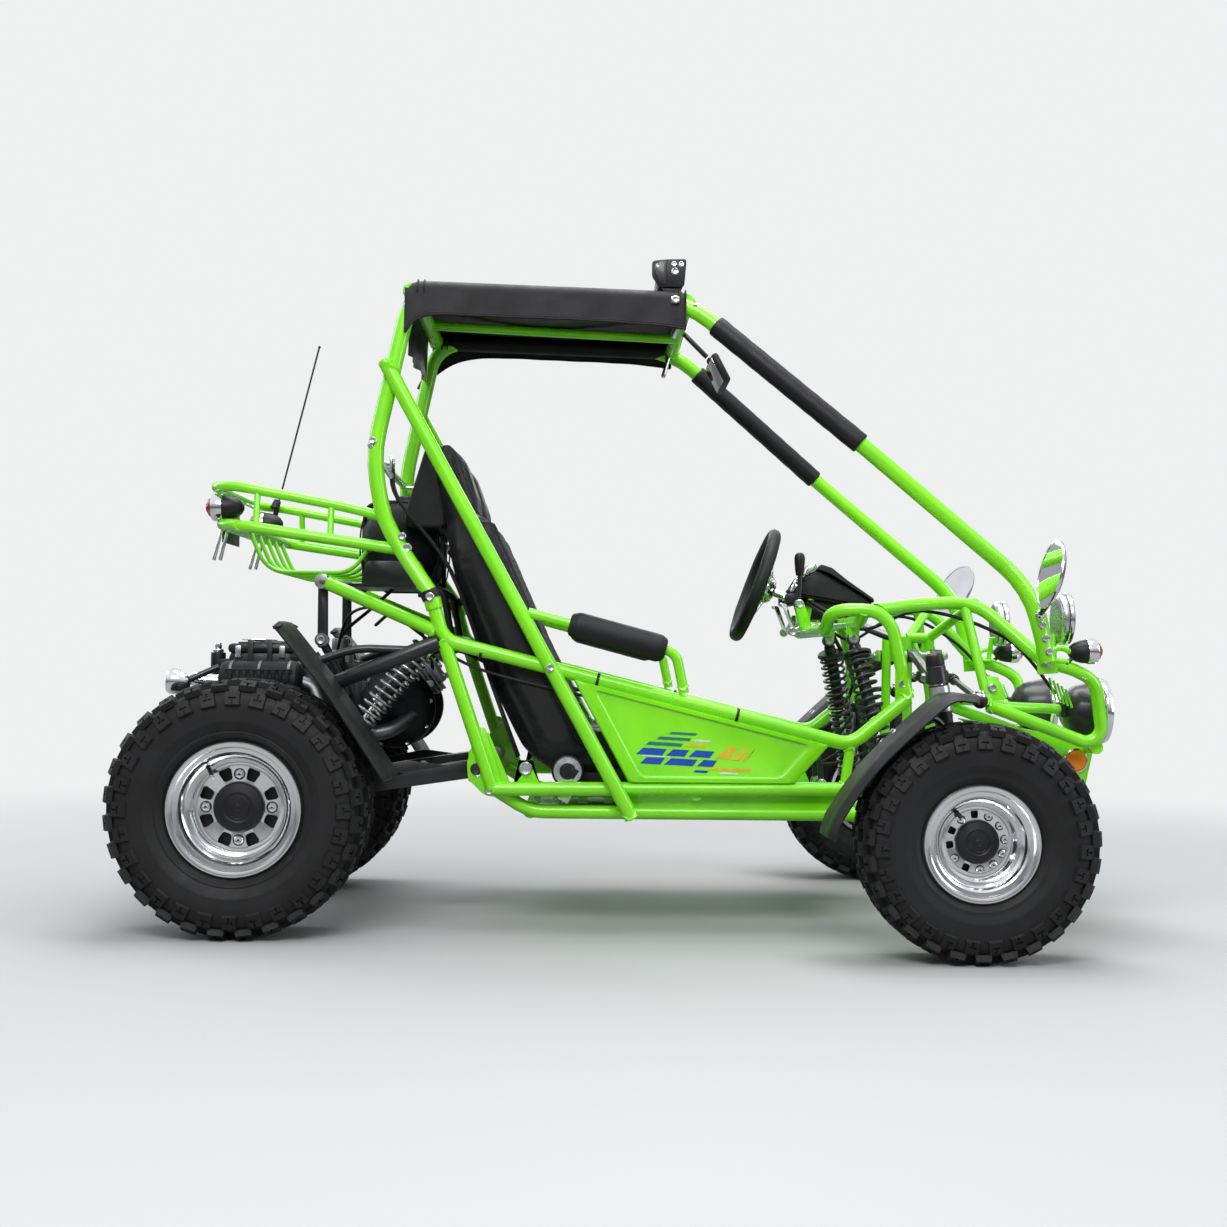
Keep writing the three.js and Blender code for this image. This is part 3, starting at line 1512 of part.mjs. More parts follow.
function rearGuard(side) {
  const rows = [];
  const runX = rearGuardLowX - rearGuardTopX;
  const runZ = rearGuardLowZ - rearGuardTopZ;
  const length = Math.hypot(runX, runZ);
  for (let i = 0; i <= rearGuardSteps; i += 1) {
    const share = i / rearGuardSteps;
    const bulge = rearGuardBulge * Math.sin(Math.PI * share);
    rows.push([
      rearGuardTopX + runX * share - (runZ / length) * bulge,
      rearGuardTopZ + runZ * share + (runX / length) * bulge,
    ]);
  }
  const sheet = curvedSheet(rows, side * rearGuardInnerY, side * rearGuardOuterY);
  const stayY = side * (rearGuardInnerY + stayDiameter);
  const start = at(waistX, side * sideY, waistZ);
  const middle = rows[rearGuardStayRow];
  const end = at(middle[0], stayY, middle[1]);
  const stay = rod(end, start, stayDiameter);
  const inner = curvedSheetTool(rows, side);
  return cut(join(cut(stay, inner), sheet), frameTubes(seatGap * 2), pivotPlate(side));
}

function curvedSheetTool(rows, side) {
  const below = rows.map(([x, z]) => [x - rearGuardOuterY, z - rearGuardOuterY]);
  return sidePlate([...rows, ...below.reverse()], side * (rearGuardInnerY - stayDiameter),
    side * rearGuardOuterY);
}

// Soft and thin pieces built as a grid of points joined into one closed skin
function closedGrid(rows) {
  const corners = rows.flat().flatMap((point) => point.toArray());
  const across = rows[0].length;
  const faces = [];
  for (let i = 0; i < rows.length - 1; i += 1) {
    for (let j = 0; j < across; j += 1) {
      const next = (j + 1) % across;
      const a = i * across + j;
      const b = i * across + next;
      faces.push(a, b, b + across, a, b + across, a + across);
    }
  }
  const last = (rows.length - 1) * across;
  for (let j = 1; j < across - 1; j += 1) {
    faces.push(0, j + 1, j, last, last + j, last + j + 1);
  }
  const geometry = new THREE.BufferGeometry();
  geometry.setAttribute("position", new THREE.Float32BufferAttribute(corners, 3));
  geometry.setIndex(faces);
  return solidOf(geometry);
}

// Seat: a spine from the front lip, along the cushion, up the back to the headrest.
// Each station has a width, a thickness and a side bolster; grooves draw the thickness in.
function seatSolid(side) {
  const spine = new THREE.CatmullRomCurve3([
    at(seatFrontX, 0, seatCushionZ - seatThickness * seatLipShare),
    at(seatFrontX * seatMidShare, 0, seatCushionZ),
    at(seatHipX * seatHipShare, 0, seatCushionZ - seatThickness * seatHollowShare),
    at(seatHipX, 0, seatCushionZ + seatThickness * seatRiseShare),
    at(seatWaistX, 0, seatWaistZ),
    at(seatShoulderX, 0, seatShoulderZ),
    at(seatNeckX, 0, seatNeckZ),
    at(seatHeadX, 0, seatHeadZ),
  ], false, "catmullrom", seatCurveShare);
  const rows = [];
  for (let i = 0; i <= seatStations; i += 1) {
    const t = i / seatStations;
    const centre = spine.getPoint(t);
    const tangent = spine.getTangent(t);
    const out = at(tangent.z, 0, -tangent.x);
    const head = THREE.MathUtils.smoothstep(t, seatHeadFromShare, seatHeadToShare);
    const toEnd = 1 - Math.abs(2 * t - 1) ** seatEndPower;
    const endRound = Math.min(1, Math.sqrt(Math.max(seatEndShare, toEnd)));
    const width = THREE.MathUtils.lerp(seatWidth, headrestWidth, head);
    const halfWidth = (width / 2) * (1 - seatWaistShare + seatWaistShare * endRound);
    const grooved = i % seatGrooveEvery === seatGrooveEvery / 2 && t < seatGrooveToShare;
    const thick = seatThickness * (1 - seatHeadThinShare * head) * endRound;
    const bolsterRun = Math.min(1, t * seatBolsterRunShare);
    const bolster = seatBolster * Math.sin(Math.PI * bolsterRun) * (1 - head);
    const row = [];
    for (const [shareY, shareOut] of seatProfileShares) {
      const edge = THREE.MathUtils.smoothstep(Math.abs(shareY), seatEdgeFromShare, seatEdgeToShare);
      const front = shareOut > 0;
      const lift = front ? bolster * edge : 0;
      const groove = grooved && front && edge < 1 / 2 ? seatGrooveShare : 1;
      const point = centre.clone().addScaledVector(out, shareOut * thick * groove + lift);
      point.y = side * seatY + shareY * halfWidth;
      row.push(point);
    }
    rows.push(row);
  }
  return closedGrid(rows);
}

function seatPiece(side) {
  const foot = seatTubeZ + flatOf(railTube) + seatGap;
  const rails = [-1, 1].map((edge) => {
    const y = side * seatY + (edge * seatWidth) / 3;
    const length = seatTubeFrontX - seatTubeRearX + railTube;
    return block(at((seatTubeFrontX + seatTubeRearX) / 2, y, foot + seatRailHeight / 2), length,
      seatRailWidth, seatRailHeight);
  });
  return join(seatSolid(side), rails);
}

// Armrest pad: a round roll with a crown and drawn-in ends, slid over the armrest tube
function armrestPad(side) {
  const start = at(armrestRearX, armrestY * side, armrestRearZ);
  const along = at(armrestBendX, armrestY * side, armrestBendZ).sub(start).normalize();
  const from = start.clone().addScaledVector(along, (armPadStartX - armrestRearX) / along.x);
  const radius = armPadDiameter / 2;
  const bore = boreFor(lightTube, fineSides) / 2;
  const roll = armPadShares.map(([across, length]) => [radius * across, armPadLength * length]);
  const profile = [[bore, 0], ...roll, [bore, armPadLength]];
  const points = profile.map(([r, y]) => new THREE.Vector2(r, y));
  points.push(points[0].clone());
  const geometry = new THREE.LatheGeometry(points, fineSides, Math.PI / fineSides);
  geometry.applyQuaternion(new THREE.Quaternion().setFromUnitVectors(at(0, 1, 0), along));
  geometry.translate(from.x, from.y, from.z);
  return solidOf(geometry);
}

// Side panel: a pressed sheet between the brace, the upper rail and the sill, with a raised field
function sidePanel(side) {
  const inset = railTube * panelLapShare;
  const edge = inset + panelEdge;
  const railZ = (x) => waistZ + (railKneeZ - waistZ) * ((x - waistX) / (railKneeX - waistX));
  const braceSlope = (braceFootX - braceTopX) / (braceFootZ - braceTopZ);
  const braceX = (z) => braceTopX + (z - braceTopZ) * braceSlope;
  const low = sillRearZ + inset + panelStep;
  const upperBack = railZ(panelRearX) - edge;
  const outline = [
    [braceX(low) + braceTube, low],
    [panelFrontX, low],
    [panelTopX, railZ(panelTopX) - edge],
    [braceX(upperBack) + braceTube, railZ(braceX(upperBack) + braceTube) - edge],
  ];
  const centre = outline.reduce((sum, [x, z]) => [sum[0] + x / 4, sum[1] + z / 4], [0, 0]);
  const field = outline.map(([x, z]) => [
    centre[0] + (x - centre[0]) * panelFieldShare,
    centre[1] + (z - centre[1]) * panelFieldShare,
  ]);
  const y = side * (sideY + panelProud);
  const sheet = sidePlate(outline, y, y + side * panelWall);
  const raised = sidePlate(field, y + side * (panelWall - weldDepth), y + side * (panelWall + panelStep));
  const hollow = sidePlate(field.map(([x, z]) => [
    centre[0] + (x - centre[0]) * panelFieldShare,
    centre[1] + (z - centre[1]) * panelFieldShare,
  ]), y - side * cutOverrun, y + side * panelStep);
  return cut(join(sheet, raised), hollow, frameTubes(seatGap * 2));
}

// Canopy: a cloth skin laid over the roof rails, its sides hanging in shallow folds
function canopyZ(x) {
  return THREE.MathUtils.lerp(roofRearZ, roofFrontZ, (x - roofRearX) / (roofFrontX - roofRearX));
}

function canopyHalf(centreZ, radius, dip, drop, fold) {
  const corner = radius * Math.tan(Math.PI / 8);
  const topZ = centreZ + radius;
  return [
    [0, topZ - dip],
    [roofY * canopyDipShare, topZ - dip * canopyDipShare],
    [roofY - corner, topZ],
    [roofY + corner, topZ],
    [roofY + radius, centreZ + corner],
    [roofY + radius + canopyFlare / 2 + fold, centreZ - drop / 2],
    [roofY + radius + canopyFlare, centreZ - drop],
  ];
}

function canopy() {
  const rows = [];
  for (let i = 0; i <= canopyStations; i += 1) {
    const t = i / canopyStations;
    const x = THREE.MathUtils.lerp(canopyRearX, canopyFrontX, t);
    const fold = (canopyFold * (1 + Math.sin(t * Math.PI * canopyFoldCount))) / 2;
    const rearDrop = canopyRearDrop * (1 - t) ** canopyFoldCount;
    const drop = canopyDrop + canopySag * Math.sin(Math.PI * t) + rearDrop;
    const dip = canopyDip * Math.sin(Math.PI * t) ** 2;
    const under = cageTube / 2 + canopyGap;
    const outer = canopyHalf(canopyZ(x), under + canopyWall, dip, drop, fold);
    const inner = canopyHalf(canopyZ(x), under, dip, drop, fold);
    const left = (list) => list.map(([y, z]) => at(x, y, z));
    const right = (list) => list.map(([y, z]) => at(x, -y, z));
    rows.push([
      ...left(outer),
      ...left(inner).reverse(),
      ...right(inner).slice(1),
      ...right(outer).reverse().slice(0, -1),
    ]);
  }
  return closedGrid(rows);
}

function lightBar() {
  const top = lightBarTopZ;
  const low = top - lightBarHeight;
  const middle = at(lightBarX + lightBarDepth / 2, 0, (top + low) / 2);
  const bar = block(middle, lightBarDepth * lightBodyDepthShare, lightBarHalf * 2, lightBarHeight
    * lightBodyHeightShare);
  const pieces = [bar];
  for (const side of [-1, 1]) {
    const y = side * (lightBarHalf + lightFinWall / 2);
    const cap = [
      [lightBarX, top - lightFinWall],
      [lightBarX + lightBarDepth * lightCapNotchShare, top - lightFinWall * 2],
      [lightBarX + lightBarDepth, top],
      [lightBarX + lightBarDepth, low],
      [lightBarX + lightBarDepth * lightCapFootShare, low],
    ];
    pieces.push(sidePlate(cap, side * lightBarHalf - side * weldDepth, y + side * lightFinWall));
    const footZ = canopyZ(lightBarX) + cageTube / 2 + canopyGap + canopyWall + seatGap;
    const footY = side * (lightBarHalf + lightFinWall);
    pieces.push(block(at(middle.x, footY, (footZ + low + weldDepth) / 2), lightBarDepth / 2,
      lightFinWall * 3, low + weldDepth - footZ));
  }
  return join(pieces);
}

// Rear rack: two rails round the back, posts between them and a basket of bent rods
function rearRack() {
  const pieces = [];
  const rackSlope = (rackRearZ - rackFrontZ) / (rackRearX - rackFrontX);
  const topSlope = (rackTopRearZ - rackTopBendZ) / (rackTopRearX - rackTopBendX);
  const rackLine = (x) => rackFrontZ + (x - rackFrontX) * rackSlope;
  const topLine = (x) => rackTopBendZ + (x - rackTopBendX) * topSlope;
  const half = [
    at(rackFrontX, rackY + lightTube / 2, rackFrontZ),
    at(rackRearX + rackCornerX, rackY, rackLine(rackRearX + rackCornerX)),
    at(rackRearX, rackY - rackCornerX, rackRearZ),
  ];
  const lower = [...mirrored(half, -1), ...mirrored(half, 1).reverse()];
  const topHalf = [
    at(rackTopFrontX, rackY, rackTopFrontZ),
    at(rackTopBendX, rackY - railTube / 2, rackTopBendZ),
    at(rackTopRearX + rackCornerX, rackY - railTube / 2, rackTopRearZ - weldDepth),
    at(rackTopRearX, rackY - rackCornerX, rackTopRearZ),
  ];
  const upper = [...mirrored(topHalf, -1), ...mirrored(topHalf, 1).reverse()];
  pieces.push(bentTube(lower, rackTube), bentTube(upper, lightTube));
  for (const side of [-1, 1]) {
    for (const x of [rackPostRearX, rackPostFrontX]) {
      pieces.push(rod(at(x, side * rackY, rackLine(x)), at(x, side * (rackY - railTube / 2), topLine(x)),
        postDiameter));
    }
  }
  const basketZ = bayRearZ + (railTube + basketRod) / 2 + seatGap;
  for (const y of [-basketY, 0, basketY]) {
    const run = [
      at(basketRearX, y, rackLine(basketRearX)),
      at(basketRearX + basketRun, y, basketZ),
      at(basketFrontX - basketRun, y, basketZ),
      at(basketFrontX, y, rackLine(basketFrontX)),
    ];
    pieces.push(bentTube(run, basketRod, basketRun));
  }
  for (const x of [basketRearX, basketFrontX]) {
    pieces.push(rod(at(x, -rackY, rackLine(x)), at(x, rackY, rackLine(x)), lightTube));
  }
  return cut(join(pieces), cageTubes(seatGap * 2));
}

// Engine: crankcase, side covers, leaning barrel, air box and silencer, bolted into one unit
function engine() {
  const centre = at(engineX, 0, engineZ);
  const pieces = [block(centre, caseLength, caseWidth, caseHeight)];
  const coverY = caseWidth / 2 + coverWall / 2 - weldDepth;
  for (const side of [-1, 1]) {
    const y = side * coverY;
    const from = at(engineX + coverReach / 4, y - coverWall / 2, engineZ);
    const to = at(engineX + coverReach / 4, y + coverWall / 2, engineZ);
    pieces.push(rod(from, to, coverRadius * 2, fineSides));
    if (side < 0) {
      const backX = engineX - coverReach / 2;
      const backZ = engineZ + coverRadius / 4;
      const backSize = coverRadius * 2 * backCoverShare;
      pieces.push(rod(at(backX, y - coverWall / 2, backZ), at(backX, y + coverWall / 2, backZ), backSize,
        fineSides));
      pieces.push(block(at(engineX - coverReach / 8, y, engineZ + coverRadius / 6),
        coverReach * coverBridgeShare, coverWall, backSize));
    }
  }
  const barrelTop = at(engineX + barrelLength * barrelRunShare, 0, engineZ + barrelLength
    * barrelRiseShare);
  pieces.push(rod(centre, barrelTop, barrelRadius * 2, fineSides));
  const airbox = block(at(airboxX, 0, airboxZ), airboxLength, airboxWidth, airboxHeight);
  pieces.push(airbox);
  pieces.push(rod(at(airboxX, 0, airboxZ), at(engineX, 0, engineZ + caseHeight / 2), railTube * 2,
    fineSides));
  const silencerStart = at(mufflerX + mufflerLength, mufflerY, mufflerZ);
  const silencerEnd = at(mufflerX, mufflerY, mufflerZ);
  const tail = at(mufflerX - tailpipeLength, mufflerY, mufflerZ + tailpipeRadius / 2);
  pieces.push(rod(silencerStart, silencerEnd, mufflerRadius * 2, fineSides));
  pieces.push(rod(silencerEnd, tail, tailpipeRadius * 2, tubeSides));
  pieces.push(rod(silencerStart, at(engineX, mufflerY / 2, engineZ), tailpipeRadius * 2, tubeSides));
  const hanger = at(waistX - seatGap - railTube / 2, 0, waistZ);
  const hangerRoot = at(engineX + barrelLength / 2, 0, engineZ + barrelLength / 3);
  pieces.push(rod(hangerRoot, hanger, railTube, tubeSides));
  return cut(join(pieces), crossTubes(seatGap * 2));
}

// Lamps and mirrors
function headlamp(side) {
  const centre = at(headlampX, side * headlampY, headlampZ);
  const points = headlampShares.map(([across, along]) => new THREE.Vector2(
    headlampRadius * across,
    headlampDepth * along,
  ));
  const geometry = new THREE.LatheGeometry(points, fineSides);
  geometry.rotateZ(-Math.PI / 2);
  geometry.translate(centre.x, centre.y, centre.z);
  return cut(solidOf(geometry), cageTubes(seatGap * 2), frontTubes(seatGap * 2));
}

function mirrorPivot(side) {
  const share = (mirrorFootX - pillarFootX) / (pillarKneeX - pillarFootX);
  return at(mirrorFootX, side * (pillarKneeY + cageTube / 2 + seatGap + mirrorBall / 2),
    THREE.MathUtils.lerp(pillarFootZ, pillarKneeZ, share));
}

function doorMirror(side) {
  const pivot = mirrorPivot(side);
  const head = at(mirrorStalkX, side * mirrorY, mirrorHeadZ);
  const back = at(head.x - mirrorWall / 2, head.y, head.z);
  const front = at(head.x + mirrorWall / 2, head.y, head.z);
  const disc = rod(back, front, mirrorRadius * 2, wheelSteps);
  const end = at(front.x, head.y, head.z - mirrorRadius * stalkMeetShare);
  const knee = at(pivot.x + mirrorWall, head.y, (pivot.z + end.z) / 2);
  return join(ball(pivot, mirrorBall), bentTube([pivot, knee, end], leverDiameter), disc);
}

function insideMirrorPivot() {
  return at(insideMirrorX, 0, roofFrontZ - cageTube / 2 - insideMirrorDrop);
}

function insideMirrorCarrier() {
  const pivot = insideMirrorPivot();
  const top = at(roofFrontX, 0, roofFrontZ);
  const away = top.clone().sub(pivot).normalize();
  return rod(top, pivot.clone().addScaledVector(away, mirrorBall / 2 + seatGap), leverDiameter);
}

function insideMirror() {
  const pivot = insideMirrorPivot();
  const glass = at(pivot.x - insideMirrorWall, 0, pivot.z - insideMirrorHeight * insideMirrorDropShare);
  return join(ball(pivot, mirrorBall), block(glass, insideMirrorWall, insideMirrorWidth,
    insideMirrorHeight, -caster), rod(pivot, glass, leverDiameter));
}

// Steering wheel with its shaft
function steeringWheel() {
  const centre = shaftPoint(0);
  const axis = at(Math.cos(steerTilt), 0, -Math.sin(steerTilt));
  const ringRadius = (steerRimDiameter - steerGrip) / 2;
  const ring = new THREE.TorusGeometry(ringRadius, steerGrip / 2, thinSides, wheelSteps);
  const turn = new THREE.Quaternion().setFromUnitVectors(at(0, 0, 1), axis);
  ring.applyQuaternion(turn);
  ring.translate(centre.x, centre.y, centre.z);
  const shaftEnd = shaftPoint(steerShaftLength);
  const hubBack = shaftPoint(steerHubDepth * steerHubBackShare);
  const hub = rod(shaftPoint(steerHubDepth / 3), hubBack, steerHubDiameter, fineSides);
  const pieces = [solidOf(ring), hub, rod(shaftPoint(steerHubDepth), shaftEnd, steerShaft, shaftSides)];
  const down = axis.clone().cross(at(0, 1, 0)).normalize();
  for (let i = 0; i < spokeCount; i += 1) {
    const angle = (i / spokeCount) * 2 * Math.PI + Math.PI / 2;
    const out = at(0, 1, 0).multiplyScalar(Math.cos(angle)).addScaledVector(down, Math.sin(angle));
    const side = out.clone().cross(axis);
    const spoke = new THREE.BoxGeometry(ringRadius, spokeWidth, spokeWall);
    spoke.translate(ringRadius / 2, 0, 0);
    spoke.applyMatrix4(new THREE.Matrix4().makeBasis(out, side, out.clone().cross(side)));
    const root = shaftPoint(steerHubDepth / 2 - spokeWall / 4);
    spoke.translate(root.x, root.y, root.z);
    pieces.push(solidOf(spoke));
  }
  return join(pieces);
}

// Pedals, lever and pod
function pedal(y) {
  const pivot = at(pedalX, y, pedalZ);
  const lean = THREE.MathUtils.degToRad(pedalLean);
  const top = at(pivot.x - Math.sin(lean) * pedalLength, y, pivot.z + Math.cos(lean) * pedalLength);
  const padPlace = at(top.x, y, top.z - pedalPadHeight * pedalPadDropShare);
  const pad = block(padPlace, pedalPadWall, pedalPadWidth, pedalPadHeight, -lean);
  return cut(join(eye(pivot, at(0, 1, 0), eyeDiameter * smallEyeShare), rod(pivot, top, pedalArm), pad),
    eyeBore(pivot, at(0, 1, 0), boltBore));
}

function dashLever() {
  const pivot = at(leverX, leverY, leverPivotZ);
  const top = at(leverX, leverY, leverTopZ - leverKnob / 2);
  const hub = eye(pivot, at(0, 1, 0), eyeDiameter * smallEyeShare);
  const whole = join(hub, rod(pivot, top, leverDiameter), ball(top, leverKnob));
  return cut(whole, eyeBore(pivot, at(0, 1, 0), boltBore));
}

function podFloor(x) {
  const share = (x - podRearX) / (podFrontX - podRearX);
  return THREE.MathUtils.lerp(podBaseZ, podFootZ, share);
}

function dashPod() {
  const corners = [
    [podRearX, podFloor(podRearX)],
    [podRearX + podHalfWidth * podBackRunShare, podBaseZ + (podPeakZ - podBaseZ) * podBackRiseShare],
    [podPeakX, podPeakZ],
    [
      podPeakX + (podFrontX - podPeakX) * podNoseRunShare,
      podPeakZ - (podPeakZ - podNoseZ) * podNoseDropShare,
    ],
    [podFrontX, podNoseZ],
    [podFrontX, podFloor(podFrontX)],
  ];
  const body = sidePlate(corners, driverY - podHalfWidth, driverY + podHalfWidth);
  const shaftWay = rod(shaftPoint(0), shaftPoint(steerShaftLength), steerShaft * 2, fineSides);
  return cut(body, shaftWay, podPosts(seatGap * 2), columnBearing(seatGap * 2));
}

const group = new THREE.Group();
group.name = "off_road_go_kart";

function paint(color, roughness, metalness) {
  return () => new THREE.MeshStandardMaterial({ color, roughness, metalness });
}

const greenPaint = paint(0x66d013, 0.32, 0.05);
const blackPlastic = paint(0x17181a, 0.55, 0);
const blackSteel = paint(0x1c1d1f, 0.4, 0.6);
const rubber = paint(0x121213, 0.85, 0);
const polished = paint(0xd8d9dc, 0.18, 1);
const chrome = paint(0xe6e7ea, 0.08, 1);
const vinyl = paint(0x1d1e20, 0.5, 0);
const greyMetal = paint(0x6f7274, 0.45, 0.7);

function addPiece(name, solid, makeMaterial) {
  const mesh = new THREE.Mesh(geometryOf(solid), makeMaterial());
  mesh.name = name;
  group.add(mesh);
}

addPiece("main_frame", mainFrame(), greenPaint);
addPiece("front_frame", frontFrame(), greenPaint);
addPiece("roll_cage", rollCage(), greenPaint);
addPiece("rear_rack", rearRack(), greenPaint);
addPiece("canopy", canopy(), vinyl);
addPiece("roof_light_bar", lightBar(), blackSteel);
addPiece("engine", engine(), greyMetal);
addPiece("dash_pod", dashPod(), blackPlastic);
addPiece("steering_wheel", steeringWheel(), rubber);
addPiece("steering_rack", rackSolid(), polished);
addPiece("brake_pedal", pedal(brakeY), blackSteel);
addPiece("throttle_pedal", pedal(throttleY), blackSteel);
addPiece("dash_lever", dashLever(), blackPlastic);
addPiece("inside_mirror", insideMirror(), blackPlastic);
addPiece("swing_arm", swingArm(), blackSteel);
addPiece("rear_axle", rearAxle(), blackSteel);

for (const [word, side] of [["right", -1], ["left", 1]]) {
  const pieces = [
    ["side_panel", sidePanel(side), greenPaint],
    ["seat", seatPiece(side), vinyl],
    ["armrest_pad", armrestPad(side), vinyl],
    ["headlamp", headlamp(side), chrome],
    ["mirror", doorMirror(side), chrome],
    ["upper_arm", upperArm(side), greenPaint],
    ["lower_arm", lowerArm(side), greenPaint],
    ["kingpin_carrier", carrierSolid(side), polished],
    ["knuckle", knuckle(side), blackSteel],
    ["tie_rod", tieRod(side), blackSteel],
    ["front_guard", frontGuard(side), blackPlastic],
    ["front_shock_body", shockBody(frontShock(side)), blackSteel],
    ["front_shock_rod", shockRod(frontShock(side)), chrome],
    ["front_spring", coilSpring(frontShock(side), frontSpringCurls, "front spring"), blackSteel],
    ["front_tyre", tyre(side, frontAxleX, frontWheelY, frontTyreRadius, frontTyreWidth,
      frontBeadRadius), rubber],
    ["front_rim", frontRim(side), polished],
    ["rear_guard", rearGuard(side), blackPlastic],
    ["rear_shock_body", shockBody(rearShock(side)), blackSteel],
    ["rear_shock_rod", shockRod(rearShock(side)), chrome],
    ["rear_spring", coilSpring(rearShock(side), rearSpringCurls, "rear spring"), blackSteel],
    ["rear_tyre", tyre(side, rearAxleX, rearWheelY, rearTyreRadius, rearTyreWidth, rearBeadRadius),
      rubber],
    ["rear_rim", rearRim(side), polished],
  ];
  for (const [name, solid, makeMaterial] of pieces) {
    addPiece(`${name}_${word}`, solid, makeMaterial);
  }
}

// The origin goes to the middle of the footprint, on the ground
const bounds = new THREE.Box3().setFromObject(group);
const middle = bounds.getCenter(new THREE.Vector3());
group.position.set(-middle.x, -middle.y, -bounds.min.z);

export default group;
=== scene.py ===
# %% [markdown]
# # An off-road go kart, built piece by piece
# The kart has a welded tube frame, a cage with a cloth canopy, two seats, coil-over shocks and four knobbly
# tyres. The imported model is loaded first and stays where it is: it gives every piece its place and its body.
# Then each piece is modelled over it, in metres, with +X to the front, +Y to the kart's left and +Z up.

# %% Load the frame
import math

import bpy
from mathutils import Matrix, Vector
from mathutils.kdtree import KDTree


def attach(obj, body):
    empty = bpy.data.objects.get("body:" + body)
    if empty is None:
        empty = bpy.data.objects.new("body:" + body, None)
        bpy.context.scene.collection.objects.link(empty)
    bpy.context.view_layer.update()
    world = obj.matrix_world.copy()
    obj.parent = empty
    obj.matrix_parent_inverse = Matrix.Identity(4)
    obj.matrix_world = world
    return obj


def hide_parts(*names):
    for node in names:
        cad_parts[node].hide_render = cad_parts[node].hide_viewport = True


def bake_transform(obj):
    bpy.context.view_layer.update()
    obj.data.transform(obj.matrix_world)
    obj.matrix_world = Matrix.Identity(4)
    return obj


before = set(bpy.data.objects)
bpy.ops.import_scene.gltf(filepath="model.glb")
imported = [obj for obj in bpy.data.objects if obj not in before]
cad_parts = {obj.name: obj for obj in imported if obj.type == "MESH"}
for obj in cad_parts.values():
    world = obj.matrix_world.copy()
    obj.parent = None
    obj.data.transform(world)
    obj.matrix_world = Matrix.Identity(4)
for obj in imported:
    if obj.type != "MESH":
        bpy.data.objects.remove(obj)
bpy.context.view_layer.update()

# %% [markdown]
# ## The camera
# The object was photographed from its right-hand side with a short telephoto lens, a little below the height
# of the seats. The camera could be placed by eye, but four wheels on flat ground give enough known points to
# work its place and turn out, so it is written as numbers: yaw, a slight look upwards and a small roll.

# %% Camera
def turned_camera(place, yaw, pitch, roll, lens):
    bpy.ops.object.camera_add(location=place)
    camera = bpy.context.object
    camera.name = "photo_camera"
    to_world = Matrix(((1, 0, 0), (0, 0, -1), (0, 1, 0))).to_4x4()
    turn = Matrix.Rotation(yaw, 4, "Z") @ Matrix.Rotation(pitch, 4, "X") @ Matrix.Rotation(roll, 4, "Y")
    camera.matrix_world = Matrix.Translation(place) @ turn @ to_world
    camera.data.sensor_width = 36
    camera.data.lens = lens
    camera.data.clip_end = 200
    bpy.context.scene.camera = camera
    return camera


camera = turned_camera(Vector((-0.06897, -3.9531, 0.5902)), math.radians(-0.874), math.radians(1.491),
                       math.radians(-0.602), 49.295)
print("camera at", tuple(round(v, 3) for v in camera.location))

# %% [markdown]
# ## Floor and light
# A plain pale floor carries the shadow. One plane is enough: it bounces less light than it shows to the
# camera, and far from the kart it glows by itself for the camera alone, so that it runs into the
# background with no horizon line. The light is soft: large lamps above, in front and at both ends, and a
# world that is pale above and darker near the horizon, which gives chrome and polished metal something to
# show.

# %% Shader nodes and their links
def shader_node(tree, kind, **values):
    """A new node. A name with a capital is the value of a socket, and any other is a setting of the node."""
    made = tree.nodes.new("ShaderNode" + kind)
    for name, value in values.items():
        if name[0].isupper():
            made.inputs[name.replace("_", " ")].default_value = value
        else:
            setattr(made, name, value)
    return made


def connect(tree, *runs):
    """Links, each as the node and the output that it leaves, then the node and the input that it enters."""
    for start, output, end, entry in runs:
        tree.links.new(start.outputs[output], end.inputs[entry])


# %% World
PALE = (0.86, 0.865, 0.87, 1)
world = bpy.data.worlds.new("pale_studio")
bpy.context.scene.world = world
world.use_nodes = True
tree = world.node_tree
tree.nodes.clear()
out = shader_node(tree, "OutputWorld")
mix = shader_node(tree, "MixShader")
light = shader_node(tree, "Background", Color=(0.86, 0.92, 1, 1), Strength=0.3)
seen = shader_node(tree, "Background", Strength=1)
path = shader_node(tree, "LightPath")
mirrored = shader_node(tree, "Math", operation="ADD")
share = shader_node(tree, "Math", operation="ADD", use_clamp=True)
place = shader_node(tree, "TexCoord")
split = shader_node(tree, "SeparateXYZ")
ramp = shader_node(tree, "ValToRGB")
low, high = ramp.color_ramp.elements
low.position, high.position = 0.02, 0.55
low.color, high.color = (0.16, 0.165, 0.17, 1), (0.9, 0.92, 0.95, 1)
backdrop = shader_node(tree, "Mix", data_type="RGBA", B=PALE)
connect(tree, (path, "Is Camera Ray", share, 0), (path, "Is Glossy Ray", mirrored, 0),
        (path, "Is Transmission Ray", mirrored, 1), (mirrored, 0, share, 1), (place, "Generated", split, 0),
        (split, "Z", ramp, "Fac"), (path, "Is Camera Ray", backdrop, "Factor"),
        (ramp, "Color", backdrop, "A"), (backdrop, "Result", seen, "Color"), (share, 0, mix, 0),
        (light, 0, mix, 1), (seen, 0, mix, 2), (mix, 0, out, "Surface"))
print("world:", len(tree.nodes), "nodes")

